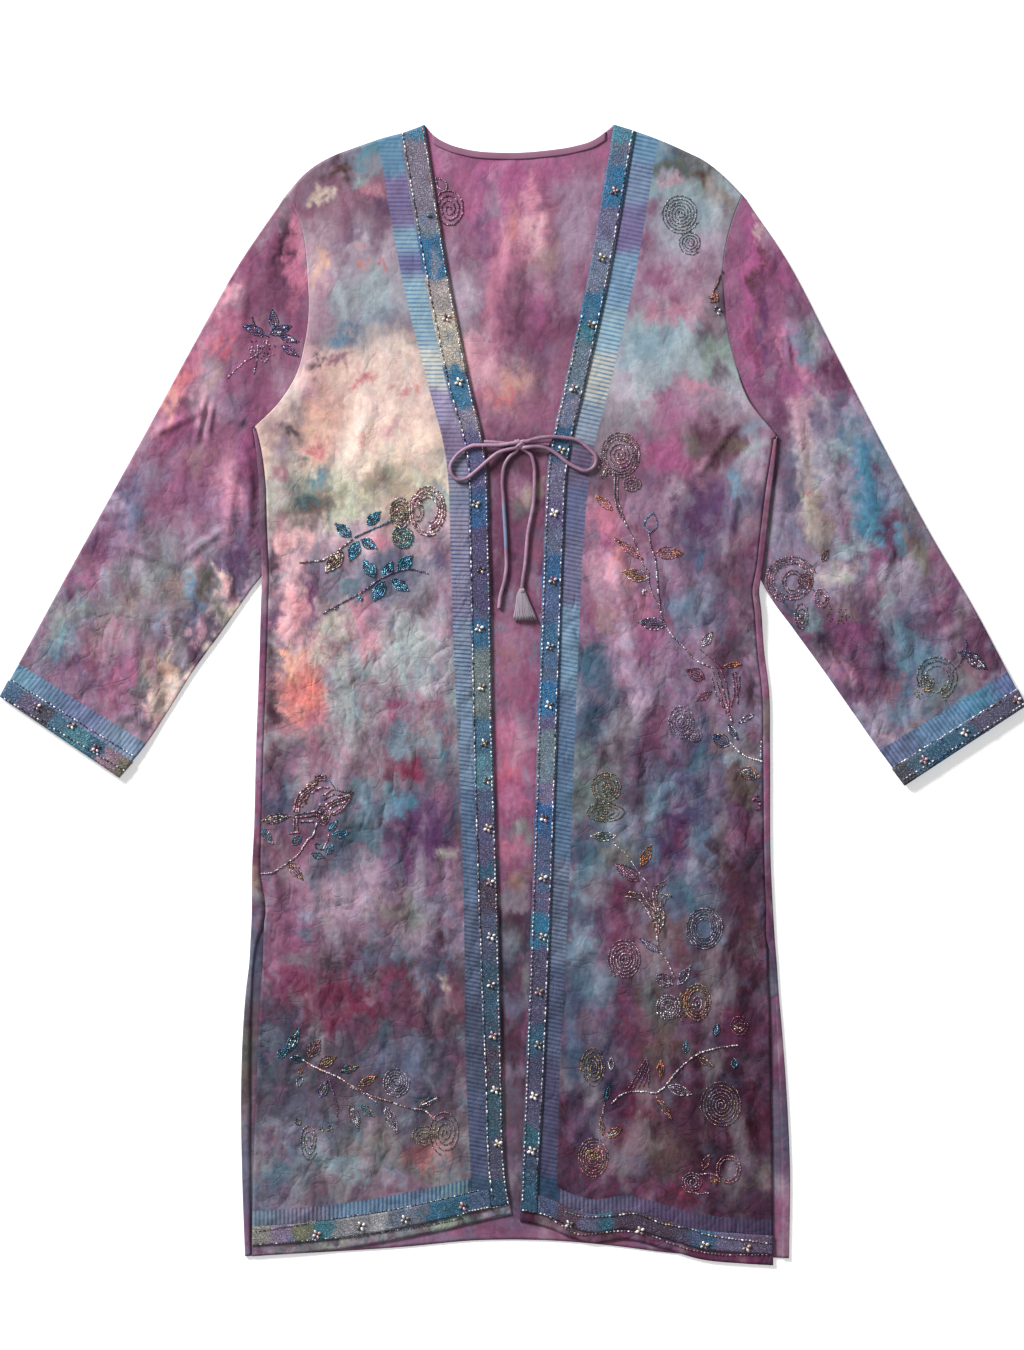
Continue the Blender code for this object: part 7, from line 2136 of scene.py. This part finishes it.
left_rows += row_of(
    [(617.5, 476), (618, 500), (623, 515), (627.5, 527.5), (632.5, 537), (639.4, 555), (643.3, 565),
     (648, 571),
     (649.3, 587), (654, 597), (659, 604.6), (661, 614.5)], ["silver", "mauve", "bronze"], 2.2, FINE,
)
left_rows += row_of(
    [(649, 533), (650.3, 545), (655, 559), (656.6, 575), (658, 591), (659.2, 602.6), (661, 614.5),
     (666, 626.4),
     (674, 638), (684, 648), (696, 660), (711.6, 668)], ["mauve", "silver", "pink", "dusk"], 2.5,
)
warm = ["amber", "coral", "bronze"]
for base, tip, wide, tints, fill in (
    ((611.7, 509.7), (595, 495), 8, warm, ["amber"]), ((649, 533), (653, 512.6), 13, ["blue", "sky"], None),
    ((642, 559), (613.7, 538), 7, ["coral", "brown"], ["coral"]),
    ((656, 553), (682, 553), 12, ["red", "coral"], ["amber", "coral"]),
    ((648, 578), (621.6, 572), 12, ["gold", "cream"], ["amber", "gold"]),
    ((665, 625.4), (638.4, 622), 12, ["navy", "silver"], ["shade", "blue"]),
    ((701.7, 646), (711.6, 632), 8, ["grey", "silver"], ["silver"]),
    ((725.4, 666), (740.3, 664), 5, ["amber"], ["amber"]),
    ((703.7, 678), (686, 670), 12, ["magenta", "wine"], ["wine", "magenta"]),
    ((710.6, 691.6), (696, 700.5), 6, ["rose", "wine"], ["wine"]),
    ((728.4, 745), (711.6, 735), 13, ["navy", "silver"], ["navy", "blue"]),
    ((728.4, 725), (737, 739), 6, ["navy", "white"], ["navy"]),
    ((739, 722), (753, 714.4), 5, ["navy", "silver"], None),
    ((739, 770), (760, 777), 12, ["amber", "brown"], ["brown", "silver"]),
    ((615, 836), (591.5, 836), 9, ["silver", "gold"], ["sage", "teal"]),
    ((641, 865), (651, 844.7), 9, ["amber", "gold"], ["amber"]),
    ((638, 880), (615, 863.7), 12, ["mauve", "wine"], ["rose", "dusk"]),
    ((659, 951.7), (640, 938.5), 7, ["navy", "blue"], ["lilac"]),
    ((672, 984), (654.5, 975), 13, ["lilac", "shade"], ["lilac", "dusk"]),
    ((678, 984), (689.7, 966.4), 8, ["lilac", "silver"], ["dusk"]),
    ((714.6, 1035), (717.6, 1023.5), 7, ["blue", "navy"], ["sky"]),
    ((685.3, 1052), (686.3, 1041), 6, ["blue", "teal"], ["sky"]),
    ((734, 1067), (734, 1058), 6, ["teal", "sky"], ["teal"]),
    ((660, 1076), (660.6, 1060.4), 7, ["amber", "coral"], ["amber"]),
    ((699, 1056.6), (713, 1065.5), 7, ["brown", "amber"], ["silver", "brown"]),
    ((668, 1086), (691, 1093.6), 10, ["lilac", "silver"], ["lilac", "shade"]),
    ((656.7, 1097), (671, 1118), 6, ["brown", "coral"], ["amber"]),
    ((611, 1069), (611.5, 1056.6), 5, ["bronze", "silver"], None),
    ((604.4, 1101), (609, 1082), 6, ["teal", "navy"], ["teal"]),
    ((602.5, 1134.4), (600.6, 1118), 5, ["amber"], ["gold"]),
    ((607, 1135.7), (621, 1128), 8, ["gold", "amber"], ["silver", "gold"]),
    ((702.7, 1169), (709, 1153.5), 6, ["brown", "coral"], None),
):
    left_rows += leaf_of(base, tip, wide, tints, fill, FINE)
left_rows += scribble((644, 592), (3, 3), ["white", "silver"], 6)
for points in (
    [(700, 650), (713, 660), (722, 668)], [(713, 672), (719, 690), (726, 714)],
    [(716, 668), (722, 688), (728, 714)],
    [(720, 668), (727, 690), (729, 714)], [(711.6, 678), (716, 694), (727.4, 715.4)],
    [(735, 672), (737, 690), (737.3, 703)],
    [(732, 673), (734, 690), (731, 706)], [(739, 676), (739, 690)],
):
    left_rows += row_of(points, ["magenta", "rose", "wine", "mauve"], 2.0, FINE)
left_rows += row_of([(723, 690), (726, 704), (731, 720)], ["cream", "rose"], 3.0)
left_rows += row_of([(730.4, 743), (743, 755), (761, 761)], ["silver", "white"], 2.4)
left_rows += row_of([(760.6, 742), (761, 758)], ["silver"], 2.4)
left_rows += scribble((756.5, 802), (4, 8), ["wine", "magenta"], 18)
left_rows += packed((681, 722), (14.5, 19), ["lilac", "grey", "shade", "dusk"], 0.1, gap=2.7)
left_rows += packed((694, 735), (7, 6), ["lilac", "mauve"], 0.2, gap=2.4)
left_rows += packed((606, 787), (17, 17), ["gold", "sage", "olive", "bronze"], 0.55, gap=2.6)
left_rows += packed((607, 788), (7, 7), ["olive", "bronze"], 0.2)
left_rows += packed((605, 812), (19, 9), ["gold", "bronze", "olive"], 0.15, gap=2.5)
left_rows += row_of(
    [(612, 841), (620, 849), (627, 855), (641, 875.5), (650, 885)], ["silver", "grey"], 1.9, FINE
)
lily = ["bronze", "cream", "pink", "brown", "bronze"]
for points in (
    [(625, 896), (638, 899), (648.7, 912), (656, 932)],
    [(629.6, 891.6), (641, 894.5), (651.6, 909), (656.7, 931)],
    [(640, 890), (646, 900), (653, 914), (657, 930)],
    [(645.7, 885.7), (648.7, 896), (654.5, 912), (657.4, 929.7)],
    [(664.8, 880), (654.5, 887), (653, 899), (657.4, 918)], [(665, 884), (657, 890), (656, 900), (659, 914)],
    [(670.6, 896.7), (660, 893), (655.5, 896), (659, 912), (658.2, 931)],
    [(669, 894.5), (662, 898), (660.4, 909), (663.3, 921), (658.2, 932.6)],
    [(666, 899), (663, 906), (664, 916), (660, 926)], [(634, 895), (643, 904), (652, 920)],
):
    left_rows += row_of(points, lily, 1.9, FINE)
left_rows += scribble((629, 893), (4, 3), ["amber", "brown"], 12, FINE)
left_rows += scribble((668, 896), (3, 2), ["gold", "dark"], 7, FINE)
left_rows += row_of(
    [(656.7, 934), (657.4, 941.4), (660.4, 951.7), (667.7, 962), (673.6, 976.6)], ["silver", "mauve"], 2.2
)
left_rows += spiral_of((703.6, 927.5), (19, 22), ["shade", "grey", "dusk", "lilac"], 2.3, start=7)
left_rows += spiral_of((624.5, 959), (17, 21), ["mauve", "dusk", "pink", "grey"], 2.8)
left_rows += packed((668, 1007), (12, 12), ["silver", "lilac", "pink", "shade"], 0.2, gap=2.4)
left_rows += packed((697, 1001.6), (13, 18), ["gold", "bronze", "amber"], 0.66)
left_rows += packed((697, 1003), (6, 10), ["pink", "silver", "mauve"], 0.3, gap=2.6)
left_rows += scribble((682, 1006), (5, 14), ["gold", "brown", "bronze"], 46, FINE)
left_rows += packed((738.8, 1025), (9, 10), ["magenta", "wine", "brown"], 0.3, gap=2.8)
left_rows += scribble((738, 1027), (4, 5), ["gold", "cream"], 12, FINE)
left_rows += row_of(
    [(737, 1044.5), (720.5, 1047), (702.7, 1051.5), (692.4, 1056.6), (684.8, 1063), (674.6, 1073),
     (664.4, 1086),
     (655.5, 1092), (641.4, 1091), (627.4, 1091.7), (618.5, 1096), (612, 1102.5)],
     ["pink", "white", "silver"], 2.5,
)
for points in (
    [(646, 1058), (637, 1072), (629, 1087)], [(647, 1060), (640, 1074), (633, 1087)],
    [(648, 1063), (643, 1076), (638, 1087)],
    [(649, 1068), (646, 1078), (643, 1086)], [(649, 1075), (648, 1086)],
):
    left_rows += row_of(points, ["violet", "magenta", "mauve"], 1.9, FINE)
left_rows += spiral_of((593, 1067.4), (12.5, 21), ["gold", "olive", "brown"], 2.5)
left_rows += row_of([(604.4, 1102.5), (603, 1110), (602, 1119)], ["rose", "pink"], 2.2, FINE)
left_rows += packed((593, 1157), (17, 22), ["rose", "coral", "bronze", "brown"], 0.3, gap=2.4)
left_rows += packed((592, 1154), (5, 5), ["gold", "amber"], 0.2, gap=2.0)
left_rows += spiral_of((721.2, 1104.4), (21, 24), ["bronze", "dusk", "shade"], 3.0)
left_rows += spiral_of((692.4, 1181.6), (11, 10.5), ["lilac", "dusk", "mauve"], 2.5)
left_rows += ring_of((728.2, 1168.8), (12, 13.5), ["coral", "rose"], FINE, 1.9)
left_rows += ring_of((728, 1169), (9, 10.5), ["rose", "mauve"], FINE, 1.9)
left_rows += scribble((714, 1180), (5, 4), ["coral", "amber"], 16, FINE)
left_rows += row_of([(699, 1174), (708, 1173), (718, 1175)], ["pink", "mauve"], 2.0, FINE)
left_rows += row_of([(686, 1191), (699, 1193), (708, 1192)], ["silver", "lilac"], 2.4, FINE)
beads("motif_beads_left", left_rows, front_tree["left"])


# Beadwork on the sleeves and inside the neck. A small spray on the right sleeve, a flower and a ring
# on the left one, and a spiral with a leaf on the part of the back that shows at the neck.
sleeve_rows = {"right": [], "left": []}
sleeve_rows["right"] += row_of([(252, 318), (256, 328), (268, 336)], ["blue", "dark"])
for base, tip, wide in (
    ((264, 334), (243, 326), 9), ((275, 331), (272, 310), 9), ((270, 334), (291, 326), 9),
    ((280, 336), (298, 342), 7), ((282, 346), (298, 356), 7),
):
    sleeve_rows["right"] += leaf_of(base, tip, wide, ["blue", "navy"], ["blue", "silver", "navy"], FINE)
sleeve_rows["right"] += scribble((262, 348), (14, 14), ["silver", "lilac", "pink", "dark"], 44, FINE)
sleeve_rows["right"] += row_of(
    [(262, 352), (248, 360), (238, 368), (228, 378)], ["silver", "pink"], 2.4, FINE
)
sleeve_rows["right"] += row_of([(258, 346), (257, 360), (254, 374)], ["violet", "silver"], 2.4, FINE)
petal = ["rose", "dusk", "brown", "pink"]
sleeve_rows["left"] += packed((791, 580), (26, 24), petal, 0.68, (20, 250), 2.3)
sleeve_rows["left"] += packed((791, 580), (24, 22), petal, 0.75, (250, 380), 3.0)
sleeve_rows["left"] += packed((792, 582), (12, 14), petal, 0.6, gap=2.8)
sleeve_rows["left"] += packed((805, 581), (9, 9), ["red", "wine", "brown"], 0.15, gap=2.0)
sleeve_rows["left"] += packed((801, 616), (7, 13), ["rose", "cream", "brown"], 0.2, gap=2.6)
sleeve_rows["left"] += packed((821, 598), (8, 11), ["pink", "rose"], 0.5, gap=2.8)
sleeve_rows["left"] += row_of([(813, 590), (824, 597), (829, 606)], ["rose", "brown"], 2.0, FINE)
sleeve_rows["left"] += leaf_of((821.8, 561), (827, 550), 6, ["brown"], ["brown"], FINE)
sleeve_rows["left"] += scribble((837, 616), (13, 9), ["brown", "bronze", "dusk"], 22, FINE)
sleeve_rows["left"] += ring_of((936, 678), (20, 21), ["sage", "olive", "shade"], FINE, 2.0, (-70, 200))
sleeve_rows["left"] += ring_of((936, 678), (16, 17), ["sage", "shade"], FINE, 2.2, (-60, 190))
sleeve_rows["left"] += ring_of((936, 679), (12, 13), ["sage", "mint", "shade"], FINE, 2.0, (-120, 170))
sleeve_rows["left"] += spiral_of((927, 682), (8, 9), ["olive", "sage", "gold"], 2.4)
sleeve_rows["left"] += scribble((944, 692), (5, 9), ["sage", "olive"], 22, FINE)
sleeve_rows["left"] += scribble((919, 690), (6, 8), ["gold", "olive"], 16, FINE)
sleeve_rows["left"] += row_of(
    [(950.6, 673), (957.5, 665.5), (963.6, 656), (966, 645.6), (965, 640)], ["navy", "blue"], 2.2, FINE
)
sleeve_rows["left"] += leaf_of((965, 653), (986, 669), 13, ["blue", "navy"], ["navy", "silver"], FINE)
sleeve_rows["left"] += leaf_of((964, 654), (958, 652), 4, ["navy", "blue"], None, FINE)
for side in ("right", "left"):
    beads(f"sleeve_beads_{side}", sleeve_rows[side], [tree_of(sleeves[side])])

back_rows = spiral_of((449, 209), (16, 20), ["rose", "mauve", "dusk"], 4.2, size=BEAD, pitch=2.3)
back_rows += leaf_of((446, 190), (436, 178), 9, ["grey", "mauve"])
beads("back_beads", back_rows, [tree_of(back)])
